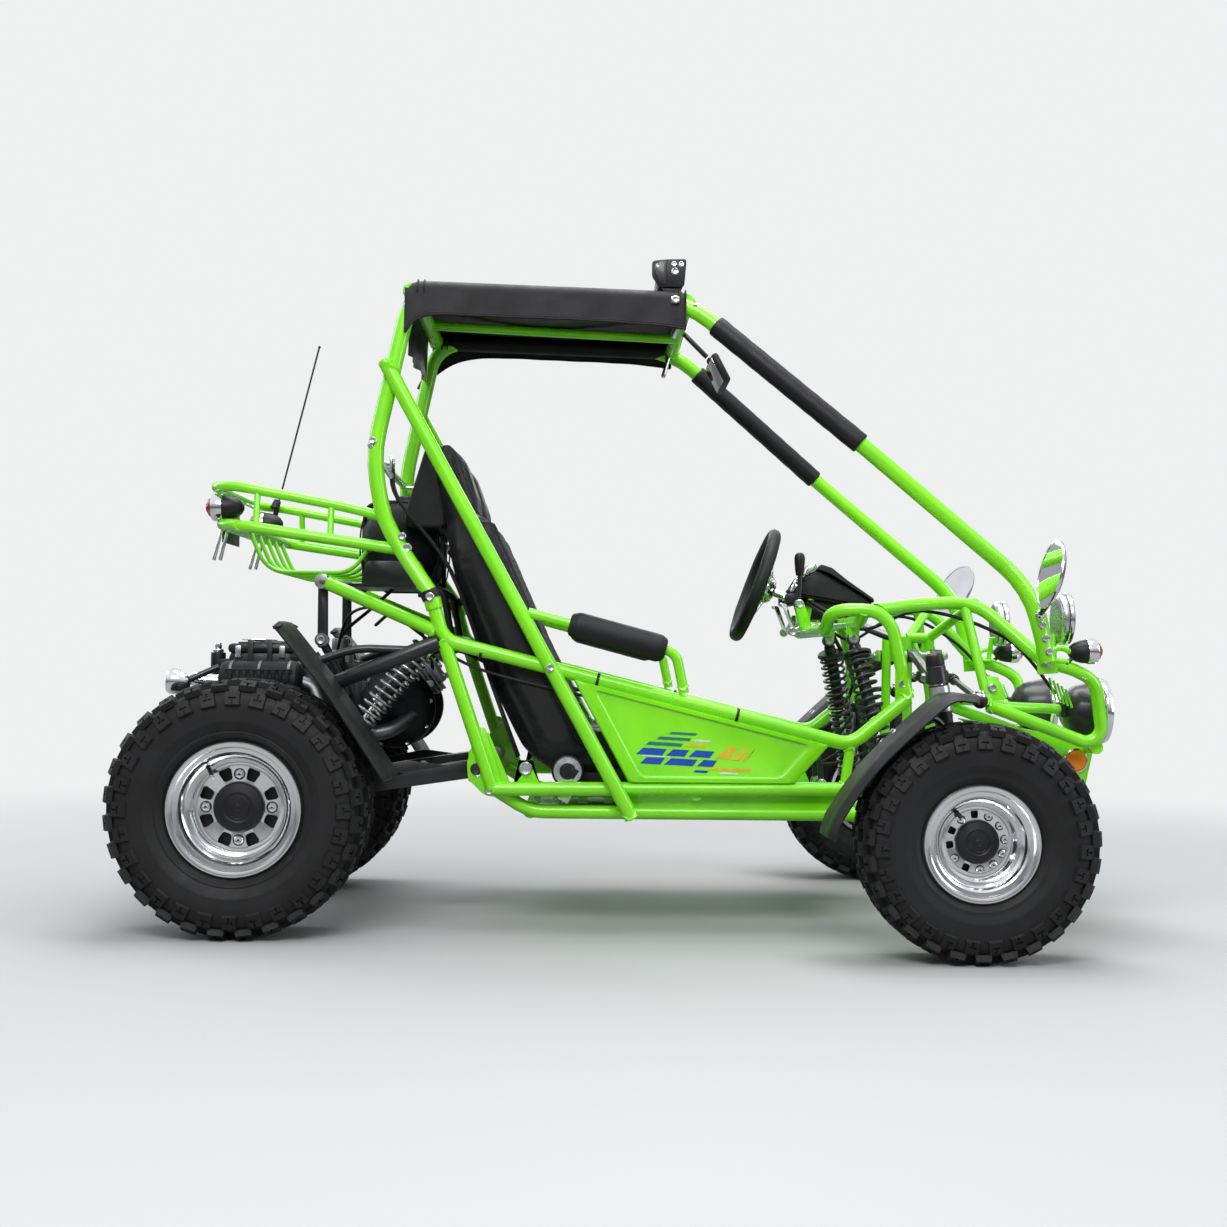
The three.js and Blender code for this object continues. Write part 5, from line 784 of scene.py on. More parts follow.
# %% Foam sleeves on the front pillars
def sleeve(side):
    """A split foam tube with rolled ends and a few squeeze marks."""
    top, middle = at(186, side * 305, 1368), at(567, side * 368, 1047)
    start, end = top.lerp(middle, 0.165), top.lerp(middle, 0.98)
    length = (end - start).length * 1000
    profile = [(17.6, 0), (20.5, 0), (22.6, 2), (23, 5)]
    for i in range(1, 24):
        profile.append((23 + 0.35 * math.sin(i * 2.1) - 0.2 * (i % 5 == 0), length * i / 24))
    profile += [(23, length - 5), (22.6, length - 2), (20.5, length), (17.6, length), (17.6, 0)]
    piece = turned(profile, start, end - start, foam_rubber, 32)
    return join([piece], "pillar_sleeve_" + ("right" if side < 0 else "left"), 50)


for side in (-1, 1):
    ridden(sleeve(side), "chassis", "black_rubber")

# %% Bolts of the cage
parts = []
for side in (-1, 1):
    for x, y, z, out in ((-422, 323, 1352, 1), (-490, 334, 1052, 1), (-424, 332, 846, 1),
                         (204, 320, 1352, 1), (955, 383, 640, 1), (948, 383, 668, 1), (962, 383, 612, 1)):
        parts.append(bolt(at(x, side * y, z), (0, side, 0), 8))
fit(parts, "cage_bolts", "bright_steel", angle=25)

# %% [markdown]
# ## Front frame
# The front is a nest of small hoops: the dash hoop carries the pod, two loops close the nose, the nose rails
# carry the arm towers, and short clevises take the arms. A pressed plate with a reflector closes it in front.

# %% Front hoops and rails
parts = [tube(across([(668, 345, 508), (627, 345, 698), (503, 331, 698), (503, 250, 655)]), 28, lime_paint,
              56), tube(across([(573, 345, 698), (573, 289, 673)]), 28, lime_paint, 56)]
for run, size in (([(560, 150, 256), (960, 150, 292), (1060, 150, 330), (1090, 150, 404)], 28),
                  ([(599, 331, 698), (723, 262, 716), (834, 262, 719), (966, 330, 590)], 28),
                  ([(966, 330, 590), (1033, 330, 574), (1078, 330, 548), (1106, 302, 400), (850, 316, 494)],
                   28), ([(806, 262, 719), (850, 316, 494)], 22), ([(706, 150, 274), (706, 128, 642)], 22),
                  ([(758, 150, 274), (758, 128, 642)], 22), ([(706, 128, 642), (758, 128, 642)], 22),
                  ([(758, 128, 642), (834, 262, 719)], 22), ([(758, 95, 642), (792.9, 95, 552.5)], 22)):
    for points in both(run):
        parts.append(tube(points, size, lime_paint, 56 if size == 28 else 20))
for x, y, z, size in ((758, 128, 642, 22), (1090, 302, 404, 28)):
    parts.append(bar(at(x, -y, z), at(x, y, z), size, lime_paint))
for side in (-1, 1):
    for x in (590, 905):
        parts += ears(at(x, side * 200, 240), (1, 0, 0), (0, -side, 0.5), 42, lime_paint)
    for x in (706, 758):
        parts += ears(at(x, side * 200, 600), (1, 0, 0), (0, -side, 0), 66, lime_paint)
    parts += ears(at(573, side * 190, 636), (0, 1, 0), (0, 0, 1), 32, lime_paint)
parts += side_beads((966, 330, 590), (1033, 330, 574), 28, 35, (0.2, 0, -1))
parts += side_beads((966, 330, 590), (834, 262, 719), 28, 35, (0.2, 0, -1))
parts += side_beads((599, 331, 698), (723, 262, 716), 28, 28, (1, 0, 0))
parts += side_beads((850, 316, 494), (1106, 302, 400), 28, 22, (0.2, 0.2, -1))
parts += side_beads((668, 345, 508), (627, 345, 698), 28, 30, (1, 0, 1))
fit(parts, "front_tubes", "green_paint", "front_frame")

# %% Gussets with bolts
def gusset(corners, side, thickness=4):
    """A small pressed plate that ties two tubes, with rounded corners."""
    flat = [at(x, side * y, z) for x, y, z in corners]
    return plate(flat, (0, side, 0), thickness, lime_paint, 1)


parts, fixings = [], []
for side in (-1, 1):
    parts.append(gusset([(936, 362, 700), (962, 362, 694), (984, 352, 596), (992, 346, 566),
                         (946, 350, 562)], side))
    parts.append(gusset([(1022, 330, 588), (1086, 330, 556), (1096, 326, 500), (1064, 328, 548)], side))
    parts.append(gusset([(832, 300, 560), (872, 306, 556), (884, 316, 506), (838, 316, 504)], side))
    parts.append(gusset([(640, 346, 620), (664, 346, 560), (676, 346, 520), (640, 346, 505)], side))
    for x, y, z in ((962, 368, 640), (966, 358, 590), (1052, 336, 560), (856, 320, 532), (656, 352, 540)):
        fixings.append(bolt(at(x, side * y, z), (0, side, 0), 9))
fit(parts, "gussets", "green_paint")

# %% Nose plate and reflectors
outline = [(905, 448), (1090, 418), (1104, 404), (1086, 320), (1082, 320), (1100, 404), (1086, 414),
           (905, 444)]
flat = [at(x, -236, z) for x, z in outline]
nose = plate(flat, (0, 1, 0), 472, lime_paint, 1.2)
cheeks = []
for side in (-1, 1):
    corners = [(905, 446), (1090, 416), (1100, 402), (1086, 322), (1044, 330), (985, 400)]
    cheeks.append(plate([at(x, side * 232, z) for x, z in corners], (0, side, 0), 4, lime_paint, 1))
nose = fit([nose] + cheeks, "nose_plate", "green_paint")
for side in (-1, 1):
    spot = at(1061, side * 237, 372)
    back = turned([(0, 0), (27, 0), (27, 6), (24, 9), (23, 7), (0, 7)], spot, (0, side, 0), chrome, 40)
    glass = turned([(0, 7), (23, 7), (21.5, 10), (15, 12), (0, 12.6)], spot, (0, side, 0), orange_reflector,
                   40)
    fit([back], f"reflector_case_{side}", "lamp_chrome")
    fit([glass], f"reflector_glass_{side}", "lamp_chrome")
print("nose:", len(nose.data.polygons), "faces")

# %% Steering rack housing, column bearing and pod posts
SHAFT = Vector((0.9379, 0, -0.3469))


def shaft_point(distance):
    return at(388, 170, 771) + SHAFT * mm(distance)


housing = turned([(11.5, -105), (19, -105), (19, -40), (21, -38), (21, 38), (19, 40), (19, 105), (11.5, 105),
                  (11.5, -105)], at(792.9, 0, 552.5), (0, 1, 0), cast_black, 32)
parts = [housing, bar(shaft_point(388), shaft_point(432), 44, cast_black, 28, 3),
         bar(at(792.9, 75, 552.5), shaft_point(410), 22, cast_black, 20),
         turned([(10.4, -22), (20, -22), (22, -19), (22, 19), (20, 22), (10.4, 22), (10.4, -22)],
                shaft_point(197.3), SHAFT, cast_black, 32),
         bar(at(573, 170, 673), shaft_point(197.3) + Vector((0, 0, -0.02)), 22, lime_paint, 20)]
for dy in (-62, 62):
    parts.append(bar(at(503, 170 + dy, 655), at(519, 170 + dy, 752), 16, lime_paint, 16))
fit(parts, "rack_housing", "black_metal")
parts = ears(at(482, 62, 722), (0, 1, 0), at(503, 0, 655) - at(482, 0, 722), 62, lime_paint)
for side in (-1, 1):
    for z in (690, 676):
        parts.append(bolt(at(573, side * 300, z), (-0.2, 0, 1), 8))
fit(parts + fixings, "front_fixings", "bright_steel", angle=25)

# %% [markdown]
# ## Rear rack
# Two rings of small tube make a tray behind the cage, with thin rods bent down between them to form a basket.

# %% Rack
def rack_line(x):
    return 818 - 0.1422 * (x + 428)


def top_line(x):
    return 910 - 0.1564 * (x + 543)


parts = [tube(across([(-428, 311, 818), (-776, 300, 867.5), (-836, 240, 876)]), 25, lime_paint, 50),
         tube(across([(-470, 300, 890), (-543, 285, 910), (-790, 285, 955), (-850, 240, 958)]), 22,
              lime_paint, 44)]
for side in (-1, 1):
    for x in (-745, -584):
        parts.append(bar(at(x, side * 300, rack_line(x)), at(x, side * 285, top_line(x)), 14, lime_paint,
                         16))
for x in (-782, -512):
    z = 868.3 if x == -782 else 830
    parts.append(bar(at(x, -300, z), at(x, 300, z), 22, lime_paint))
for y in (-190, -95, 0, 95, 190):
    parts.append(tube([at(-782, y, 868.3), at(-740, y, 772.3), at(-554, y, 772.3), at(-512, y, 830)], 10,
                      lime_paint, 44, 14))
fit(parts, "rack_tubes", "green_paint", "rear_rack")

# %% [markdown]
# ## Tyres
# A tyre is moulded in one piece, but it is easier to make as a turned carcass with tread blocks set on
# it. One block is modelled, with the cut that lets it flex, and copied round the tyre in staggered rows:
# a row on the side of the shoulder, a row on its edge and three on the crown. The sidewall has its faint
# moulded rings.

# %% One tread block
def tread_block(width, length, height):
    clear()
    bpy.ops.mesh.primitive_grid_add(x_subdivisions=5, y_subdivisions=3, size=2)
    block = bpy.context.object
    columns = [-1, -0.55, -0.13, 0.13, 0.55, 1]
    rows = [-1, -0.15, 0.15, 1]
    for point in block.data.vertices:
        point.co.x = columns[round((point.co.x + 1) * 2.5)] * mm(width / 2)
        point.co.y = rows[round((point.co.y + 1) * 1.5)] * mm(length / 2)
    edit()
    bpy.ops.mesh.extrude_region_move(TRANSFORM_OT_translate={"value": (0, 0, mm(height))})
    bpy.ops.transform.resize(value=(0.88, 0.88, 1))
    bpy.ops.mesh.select_all(action="DESELECT")
    bpy.ops.object.mode_set(mode="OBJECT")
    for face in block.data.polygons:
        x, y, z = face.center
        low = abs(x) < mm(width * 0.27) and abs(y) < mm(length * 0.06)
        face.select = z > mm(height * 0.9) and (low or abs(x) < mm(width * 0.06) and y < 0)
    bpy.ops.object.mode_set(mode="EDIT")
    bpy.ops.mesh.select_mode(type="FACE")
    bpy.ops.mesh.extrude_region_move(TRANSFORM_OT_translate={"value": (0, 0, mm(-height * 0.5))})
    bpy.ops.mesh.select_mode(type="VERT")
    bpy.ops.object.mode_set(mode="OBJECT")
    return block


def wheel_turn(radius, along, tilt, angle):
    """Stands a block on the tyre: out along a radius, and tilted towards the wheel's outer side."""
    stand = Matrix.Rotation(math.radians(tilt), 4, "X")
    place = Matrix.Translation((0, -mm(along), mm(radius)))
    return Matrix.Rotation(angle, 4, "Y") @ place @ stand


# %% Tyre
def tyre(name, radius, half, bead, flange, seat, count):
    """Axis along Y, outer side towards -Y. Sizes in millimetres."""
    crown = radius - 13
    widest = half - 7
    side = [(0.02, -0.1), (0.05, 0.12), (0.1, 0.36), (0.13, 0.56), (0.15, 0.6), (0.18, 0.58), (0.24, 0.74),
            (0.34, 0.89), (0.36, 0.93), (0.38, 0.925), (0.46, 0.975), (0.56, 1), (0.66, 0.985),
            (0.75, 0.93), (0.84, 0.78)]
    profile = [(flange + (crown - flange) * t, seat + (widest - seat) * s) for t, s in side]
    profile += [(crown - 6, widest * 0.86), (crown - 2.5, widest * 0.7), (crown - 0.6, widest * 0.42),
                (crown, 0)]
    loop = [(bead + 0.5, seat - 6)] + profile
    loop += [(r, -a) for r, a in reversed(loop[:-1])] + [loop[0]]
    carcass = turned(loop, (0, 0, 0), (0, -1, 0), tyre_rubber, 96)
    pitch = math.tau / count
    size = math.tau * radius / count * 0.54
    rows = [(flange + (crown - flange) * 0.755, widest - 3.2, -72, 0.0, size, size * 0.95, 7.5),
            (crown - 5.5, widest * 0.845, -28, 0.5, size * 1.1, size * 0.84, 13),
            (crown - 2.4, widest * 0.45, -5, 0.0, size, size * 1.2, 14.4),
            (crown - 1, 0, 0, 0.5, size, size, 13.6)]
    pieces = [carcass]
    for reach, along, tilt, stagger, width, length, height in rows:
        model = tread_block(width, length, height)
        for sign in ((1, -1) if along else (1,)):
            for i in range(count):
                turn = wheel_turn(reach, along * sign, -tilt * sign, (i + stagger) * pitch)
                if tilt == 0 or i % 2:
                    turn = turn @ Matrix.Rotation(math.pi, 4, "Z")
                pieces.append(copied(model, turn))
        bpy.data.objects.remove(model)
    whole = join(pieces, name, 30)
    whole.data.materials.clear()
    whole.data.materials.append(tyre_rubber)
    return whole


rear_tyre = tyre("rear_tyre", 269, 125, 127, 141, 92.5, 28)
front_tyre = tyre("front_tyre", 235, 90, 101.5, 115.5, 66.9, 27)
print("tyres:", len(rear_tyre.data.polygons), "and", len(front_tyre.data.polygons), "faces")

# %% [markdown]
# ## Rims
# The rims are spun from aluminium and polished: a rolled lip, a step, a deep barrel and a flat disc with
# slots and lug nuts. The section is turned in one go, the disc is cut with a boolean, and its slots are
# drawn as tapered outlines, which leaves clean spokes between them.

# %% Cut holes
def cut(piece, tools):
    """Takes the tools' shapes out of the piece."""
    tool = join(tools, "cutter")
    modified(piece, "BOOLEAN", operation="DIFFERENCE", object=tool)
    bpy.data.objects.remove(tool)
    return piece


def disc_point(radius, angle, along):
    return Vector((mm(radius * math.cos(angle)), -mm(along), mm(radius * math.sin(angle))))


def slot_tool(radius, angle, inner, outer, height, face):
    """A tapered slot with clipped corners, drawn out through the disc."""
    shape = [(-inner, -0.5), (-inner * 0.6, -0.62), (inner * 0.6, -0.62), (inner, -0.5), (outer, 0.25),
             (outer * 0.8, 0.5), (-outer * 0.8, 0.5), (-outer, 0.25)]
    out = Vector((math.cos(angle), 0, math.sin(angle)))
    over = Vector((-math.sin(angle), 0, math.cos(angle)))
    centre = disc_point(radius, angle, face + 15)
    flat = [centre + over * mm(u) + out * mm(v * height) for u, v in shape]
    return plate(flat, (0, 1, 0), 40, cast_grey)


# %% Rim
def rim(name, bead, flange, seat, face, disc, cap, slots, lugs, ring, slot):
    """Axis along Y, outer side towards -Y; `slots` and `lugs` are angles in degrees on the ring's radius."""
    step = (flange - disc) / 45
    lip = seat + 4.5
    shape = [(disc - 1, face), (disc + 3 * step, face + 4), (disc + 7 * step, face + (lip - face) * 0.25),
             (disc + 9 * step, face + (lip - face) * 0.52), (disc + 13 * step, face + (lip - face) * 0.6),
             (disc + 15 * step, face + (lip - face) * 0.63), (disc + 18 * step, face + (lip - face) * 0.8),
             (disc + 22 * step, lip - 7), (disc + 30 * step, lip - 6), (disc + 33 * step, lip - 1.6),
             (flange - 6, lip + 0.4), (flange - 2, lip + 0.2), (flange + 0.3, lip - 2), (flange, lip - 5),
             (flange - 5, lip - 6), (bead + 1, lip - 10), (bead, lip - 15), (bead, face + 4)]
    well = bead - 15
    shape += [(well, face - 14), (well, -face - 4), (bead, -face - 20), (bead, -lip + 10),
              (flange - 4, -lip + 5), (flange, -lip + 3), (flange - 3, -lip), (bead + 3, -lip + 1),
              (bead - 4, -lip + 12), (bead - 4, -face - 22), (well - 4, -face - 6), (well - 4, face - 16),
              (disc - 1, face - 8), (disc - 1, face)]
    barrel = turned(shape, (0, 0, 0), (0, -1, 0), alloy, 96)
    plate_ring = [(30, face), (disc - 16, face), (disc - 12, face + 1.5), (disc - 5, face + 1.5),
                  (disc, face - 0.5), (disc, face - 8), (30, face - 8), (30, face)]
    flat = turned(plate_ring, (0, 0, 0), (0, -1, 0), alloy, 96)
    tools = [slot_tool(ring + slot[3], math.radians(a), *slot[:3], face) for a in slots]
    flat = cut(flat, tools)
    pieces = [barrel, flat]
    lug = 0.095 * disc
    for angle in lugs:
        spot = disc_point(ring, math.radians(angle), face)
        pieces.append(turned([(0, 0.8), (lug * 1.3, 0.8), (lug * 1.36, 0), (0, 0)], spot, (0, -1, 0),
                             black_paint, 24))
        nut = bolt(spot, (0, -1, 0), lug, chrome)
        tip = min(point.co.y for point in nut.data.vertices)
        pieces += [nut, bar(spot, Vector((spot.x, tip - mm(0.4), spot.z)), lug * 0.5, black_paint, 14)]
    whole = join(pieces, name, 30)
    cover = turned([(0, face + 19), (5, face + 19), (7, face + 17.4), (cap * 0.42, face + 16),
                    (cap * 0.5, face + 12.5), (cap * 0.54, face + 12.2), (cap * 0.6, face + 13.5),
                    (cap * 0.93, face + 9), (cap, face + 5), (cap, face), (0, face)],
                   (0, 0, 0), (0, -1, 0), black_plastic, 56)
    drum = turned([(20, face - 20), (disc - 3, face - 20), (disc - 2, face - 23), (disc - 2, face - 34),
                   (20, face - 34), (20, face - 20)], (0, 0, 0), (0, -1, 0), black_plastic, 48)
    cover = join([cover, drum], name + "_cap", 24)
    angle = math.radians(127)
    foot = disc_point(disc + 5, angle, face + 14)
    way = Vector((-math.cos(angle), -1.1, -math.sin(angle)))
    stem = [bar(foot, foot + way.normalized() * 0.024, 9, hose_rubber, 14, 1.5),
            bar(foot + way.normalized() * 0.022, foot + way.normalized() * 0.034, 6.5, chrome, 12, 1)]
    return whole, cover, join(stem, name + "_valve")


REAR = (-747, 384, 269)
FRONT = (747, 633, 235)
rear_slots = [22.5 + 45 * i for i in range(8)]
rear_set = rim("rear_rim", 127, 141, 92.5, 34.8, 96, 53, rear_slots, [0, 90, 180, 270], 69, (10, 14, 23, 4))
front_set = rim("front_rim", 101.5, 115.5, 66.9, 20.9, 72, 43, [96, 156, 186, 246],
                [126, 66, 36, 6, 336, 306, 276, 216], 54.5, (6.5, 7.5, 13, 0.5))
print("rims:", len(rear_set[0].data.polygons), "and", len(front_set[0].data.polygons), "faces")

# %% The four wheels in place
SLOTS = ["polished_alloy", "black_plastic", "black_rubber"]


def stand_wheel(tyre_model, models, centre, end, body, side):
    x, y, z = centre
    word = "right" if side < 0 else "left"
    place = Matrix.Translation(at(x, side * y, z)) @ (mirror_y() if side > 0 else Matrix.Identity(4))
    if end == "front" and side > 0:
        place = place @ Matrix.Rotation(math.radians(7), 4, "Y")
    rubber = copied(tyre_model, place, f"{end}_tread_{word}")
    ridden(rubber, body, "tyre_rubber", f"{end}_tyre_{word}")
    for model, slot in zip(models, SLOTS):
        part = copied(model, place, f"{model.name}_{word}")
        if slot == "polished_alloy":
            ridden(part, body, slot, f"{end}_rim_{word}")
        else:
            ridden(part, body, slot)


for side in (-1, 1):
    stand_wheel(rear_tyre, rear_set, REAR, "rear", "rear_wheels", side)
    stand_wheel(front_tyre, front_set, FRONT, "front", "front_wheel_" + ("right" if side < 0 else "left"),
                side)
for model in (rear_tyre, front_tyre, *rear_set, *front_set):
    bpy.data.objects.remove(model)

# %% [markdown]
# ## Front arms
# Each arm is an A of two bent tubes. Their inner ends have rubber bushings between the frame's ears, and
# their outer ends meet in a single eye at the kingpin carrier.

# %% A-arms
def arm(legs, outer, side, name, body, node, foot=None):
    x2, y2, z2 = outer
    parts = []
    for x, y, z in legs:
        run = [at(x, side * y, z), at(x, side * (y + 26), z), at(x2, side * (y2 - 26), z2),
               at(x2, side * y2, z2)]
        parts.append(tube(run, 24, black_paint, 30))
        parts += bush(at(x, side * y, z), (1, 0, 0), finish=black_paint)
    parts += bush(at(x2, side * y2, z2), (1, 0, 0), finish=black_paint)
    if foot:
        parts += ears(at(*foot), (0, 1, 0), (0, 0, -1), 30, black_paint, gap=4.2, size=8)
    return fit(parts, name, "black_metal", node, body=body)


for side, word in SIDES:
    arm([(590, 200, 240), (905, 200, 240)], (753.3, 478, 195), side, "lower_arm_tubes_" + word,
        "lower_arm_" + word, "lower_arm_" + word, (652, side * 300, 276))
    arm([(706, 200, 600), (758, 200, 600)], (696.3, 478, 555), side, "upper_arm_tubes_" + word,
        "upper_arm_" + word, "upper_arm_" + word)

# %% [markdown]
# ## Kingpins and knuckles
# The knuckle turns on a tall sleeve round the kingpin. The pin's head is a black cap over a bright collar,
# and the stub axle and steering arm are welded to the sleeve.

# %% Kingpin, knuckle and hub
KINGPIN = Vector((-0.156, 0, 0.988)).normalized()
for side, word in SIDES:
    base = at(747, side * 512, 235)
    parts = [bar(base + KINGPIN * mm(-52), base + KINGPIN * mm(350), 24, chrome, 28),
             turned([(13, 311), (20, 311), (20, 347), (17, 350), (13, 350), (13, 311)], base, KINGPIN,
                    black_paint, 36)]
    fit(parts, "kingpin_" + word, "bright_steel", "kingpin_carrier_" + word, body="carrier_" + word)
    parts = [turned([(0, 376), (12, 375), (17, 371), (18.4, 365), (19.6, 352), (19, 348), (0, 348)], base,
                    KINGPIN, black_plastic, 36)]
    for z, x in ((195, 753.3), (555, 696.3)):
        spot = at(x, side * 478, z)
        parts += ears(spot, (1, 0, 0), (0, side, 0), 30, black_paint)
        parts.append(block(spot + Vector((0, side * mm(32), 0)), (46, 16, 26), black_paint, 2))
    fit(parts, "kingpin_cap_" + word, "black_metal", body="carrier_" + word)
    ring = [(12.5, -22), (20, -22), (20, -16), (19, -12), (19, 296), (20.5, 300), (20.5, 309), (12.5, 309),
            (12.5, -22)]
    parts = [turned(ring, base, KINGPIN, black_paint, 36),
             turned([(18.8, 254), (21.4, 254), (21.8, 257), (21.8, 303), (21.4, 306), (18.8, 306),
                     (18.8, 254)], base, KINGPIN, zinc, 36),
             bar(base, at(747, side * 661, 235), 22, zinc, 24, 2),
             turned([(11, 534), (16, 534), (16, 556), (31, 560), (58, 562), (62, 566), (62, 585), (30, 588),
                     (11, 588), (11, 534)], at(747, 0, 235), (0, side, 0), cast_black, 48),
             tube([base + KINGPIN * mm(275), at(770, side * 498, 516), at(793, side * 478, 514)], 14,
                  black_paint, 14, 16), turned([(5, 0), (13, 0), (14, 4), (12, 11), (7, 15), (0, 16)],
                                               at(792.9, side * 478, 510), (0, 0, 1), chrome, 28)]
    fit(parts, "knuckle_" + word, "black_metal", "knuckle_" + word, body="knuckle_" + word)

# %% Tie rods
for side, word in SIDES:
    inner, outer = at(792.9, side * 200, 552.5), at(792.9, side * 478, 507.5)
    way = outer - inner
    parts = [bar(inner, outer, 14, black_paint, 20), ball(inner, 24, chrome), ball(outer, 32, hose_rubber),
             bar(outer + Vector((0, 0, 0.012)), outer + Vector((0, 0, 0.021)), 20, chrome, 24, 2),
             turned([(7, 0), (11, 1), (12, 10), (10.5, 14), (12, 18), (10.5, 22), (12, 26), (8.5, 34),
                     (7, 35)], inner + way * 0.02, way, hose_rubber, 24)]
    for share in (0.12, 0.86):
        clear()
        spot = inner + way * share
        bpy.ops.mesh.primitive_cylinder_add(vertices=6, radius=mm(11), depth=mm(9), location=spot,
                                            rotation=facing(way))
        parts.append(settle(zinc))
    fit(parts, "tie_rod_" + word, "black_metal", "tie_rod_" + word, body="tie_rod_" + word)
rod = bar(at(792.9, -187, 552.5), at(792.9, 187, 552.5), 22, chrome, 24, 2)
fit([rod], "rack_rod", "bright_steel", "steering_rack", body="rack")

# %% [markdown]
# ## Shocks
# A coil-over has a damper tube, a rod that slides in it, two spring seats and an open coil. The coil is a
# disc spun up a helix. Its two ends sit on different bodies; the coil is built in place between them.

# %% Spring winding
def spring(start, end, wire, radius, turns, finish, name):
    """A round wire wound with the screw tool. The first and last turns lie flat, as ground spring ends do."""
    along = (end - start).normalized()
    length = (end - start).length * 1000 - wire
    pitch = 30
    clear()
    bpy.ops.mesh.primitive_circle_add(vertices=12, radius=mm(wire / 2), location=(mm(radius), 0, 0),
                                      rotation=(math.pi / 2, 0, 0))
    coil = settle(finish)
    modified(coil, "SCREW", angle=math.tau, iterations=turns, screw_offset=mm(pitch), steps=28,
             render_steps=28)
    edit()
    bpy.ops.mesh.fill_holes(sides=0)
    outward()
    flat = wire * 1.04
    open_pitch = (length - 2 * flat) / (turns - 2)
    for point in coil.data.vertices:
        share = math.atan2(point.co.y, point.co.x) / math.tau
        turn = share + round(point.co.z * 1000 / pitch - share)
        middle = min(max(turn - 1, 0), turns - 2)
        rise = flat * (min(max(turn, 0), 1) + min(max(turn - turns + 1, 0), 1)) + open_pitch * middle
        point.co.z += mm(rise - turn * pitch + wire / 2)
    stand = along.to_track_quat("Z", "Y").to_matrix().to_4x4()
    coil.data.transform(Matrix.Translation(start) @ stand)
    return join([coil], name, 60)


# %% The four shocks
SHOCKS = [("front", (573, 190, 636), (652, 300, 276), 18, 7, black_paint),
          ("rear", (-362, 208, 630), (-586, 208, 366), 15, 8, zinc)]
for end, top, foot, turns, wire, finish in SHOCKS:
    for side, word in SIDES:
        top_eye, foot_eye = (at(x, side * y, z) for x, y, z in (top, foot))
        way = (foot_eye - top_eye).normalized()
        length = (foot_eye - top_eye).length * 1000
        seats = chrome if end == "rear" else black_paint
        body = [turned([(0, 14), (13, 14), (14, 20), (14, 190), (12.5, 196), (7.6, 196), (7.4, 20),
                        (0, 18)], top_eye, way, black_paint, 32),
                turned([(14, 30), (29, 30), (33, 33), (33, 39), (29, 40), (20, 38), (14, 38), (14, 30)],
                       top_eye, way, seats, 36),
                turned([(14, 44), (19, 45), (19, 49), (15, 50), (19, 51), (19, 55), (14, 56), (14, 44)],
                       top_eye, way, zinc, 32),
                turned([(14, 176), (16.5, 178), (16.5, 192), (14, 195), (14, 176)], top_eye, way, chrome,
                       32)]
        body += bush(top_eye, (0, 1, 0), finish=black_paint)
        fit(body, f"{end}_damper_{word}", "black_metal", f"{end}_shock_body_{word}",
            body=f"{end}_damper_{word}")
        seat = length - 40
        rod = [bar(top_eye + way * 0.126, foot_eye - way * 0.014, 13, chrome, 24),
               turned([(6.5, seat), (30, seat), (33, seat + 2), (33, seat + 6), (24, seat + 8),
                       (10, seat + 11), (6.5, seat + 11), (6.5, seat)], top_eye, way, seats, 36),
               turned([(6.5, seat - 26), (11, seat - 24), (15, seat - 10), (16, seat), (6.5, seat),
                       (6.5, seat - 26)], top_eye, way, hose_rubber, 28),
               turned([(8, -12), (15, -12), (15, 12), (8, 12), (8, -12)], foot_eye, (0, 1, 0), black_paint,
                      28)]
        fit(rod, f"{end}_damper_rod_{word}", "bright_steel", f"{end}_shock_rod_{word}",
            body=f"{end}_plunger_{word}")
        first, last = top_eye + way * 0.0403, foot_eye - way * 0.0403
        coil = spring(first, last, wire, 26.5, turns, finish, f"{end}_coil_{word}")
        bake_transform(coil)
        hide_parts(f"{end}_spring_{word}")

# %% [markdown]
# ## Swing arm and rear axle
# The rear wheels share one axle in a swing arm: two box beams from a pivot tube, with bearing housings at
# their ends. The axle carries the chain's sprocket on one side and the brake disc on the other.

# %% Swing arm
parts = [turned([(11, -329), (23, -329), (23, 329), (11, 329), (11, -329)], at(-254, 0, 343), (0, 1, 0),
                black_paint, 32)]
for side in (-1, 1):
    start, end = at(-254, side * 206, 343), at(-747, side * 206, 269)
    tilt = math.atan2(start.z - end.z, start.x - end.x)
    length = (start - end).length * 1000
    parts.append(block((start + end) / 2, (length, 34, 40), black_paint, 3, (0, -tilt, 0)))
    parts.append(turned([(15.5, -27), (38, -27), (38, 27), (15.5, 27), (15.5, -27)], end, (0, 1, 0),
                        black_paint, 40))
    parts.append(turned([(15.5, 27), (28, 27), (30, 29), (24, 31), (15.5, 31), (15.5, 27)], end,
                        (0, side, 0), zinc, 32))
    parts += ears(at(-586, side * 208, 366), (0, 1, 0), (0.15, 0, -1), 56, black_paint, gap=4.2, size=8)
    rib = [(-640, 300), (-330, 346), (-420, 358), (-560, 330)]
    parts.append(plate([at(x, side * 216, z) for x, z in rib], (0, side, 0), 8, black_paint, 1))
parts.append(bar(at(-420, -206, 318), at(-420, 206, 318), 30, black_paint, 24))
fit(parts, "swing_arm_beams", "black_metal", "swing_arm", body="swing_arm")

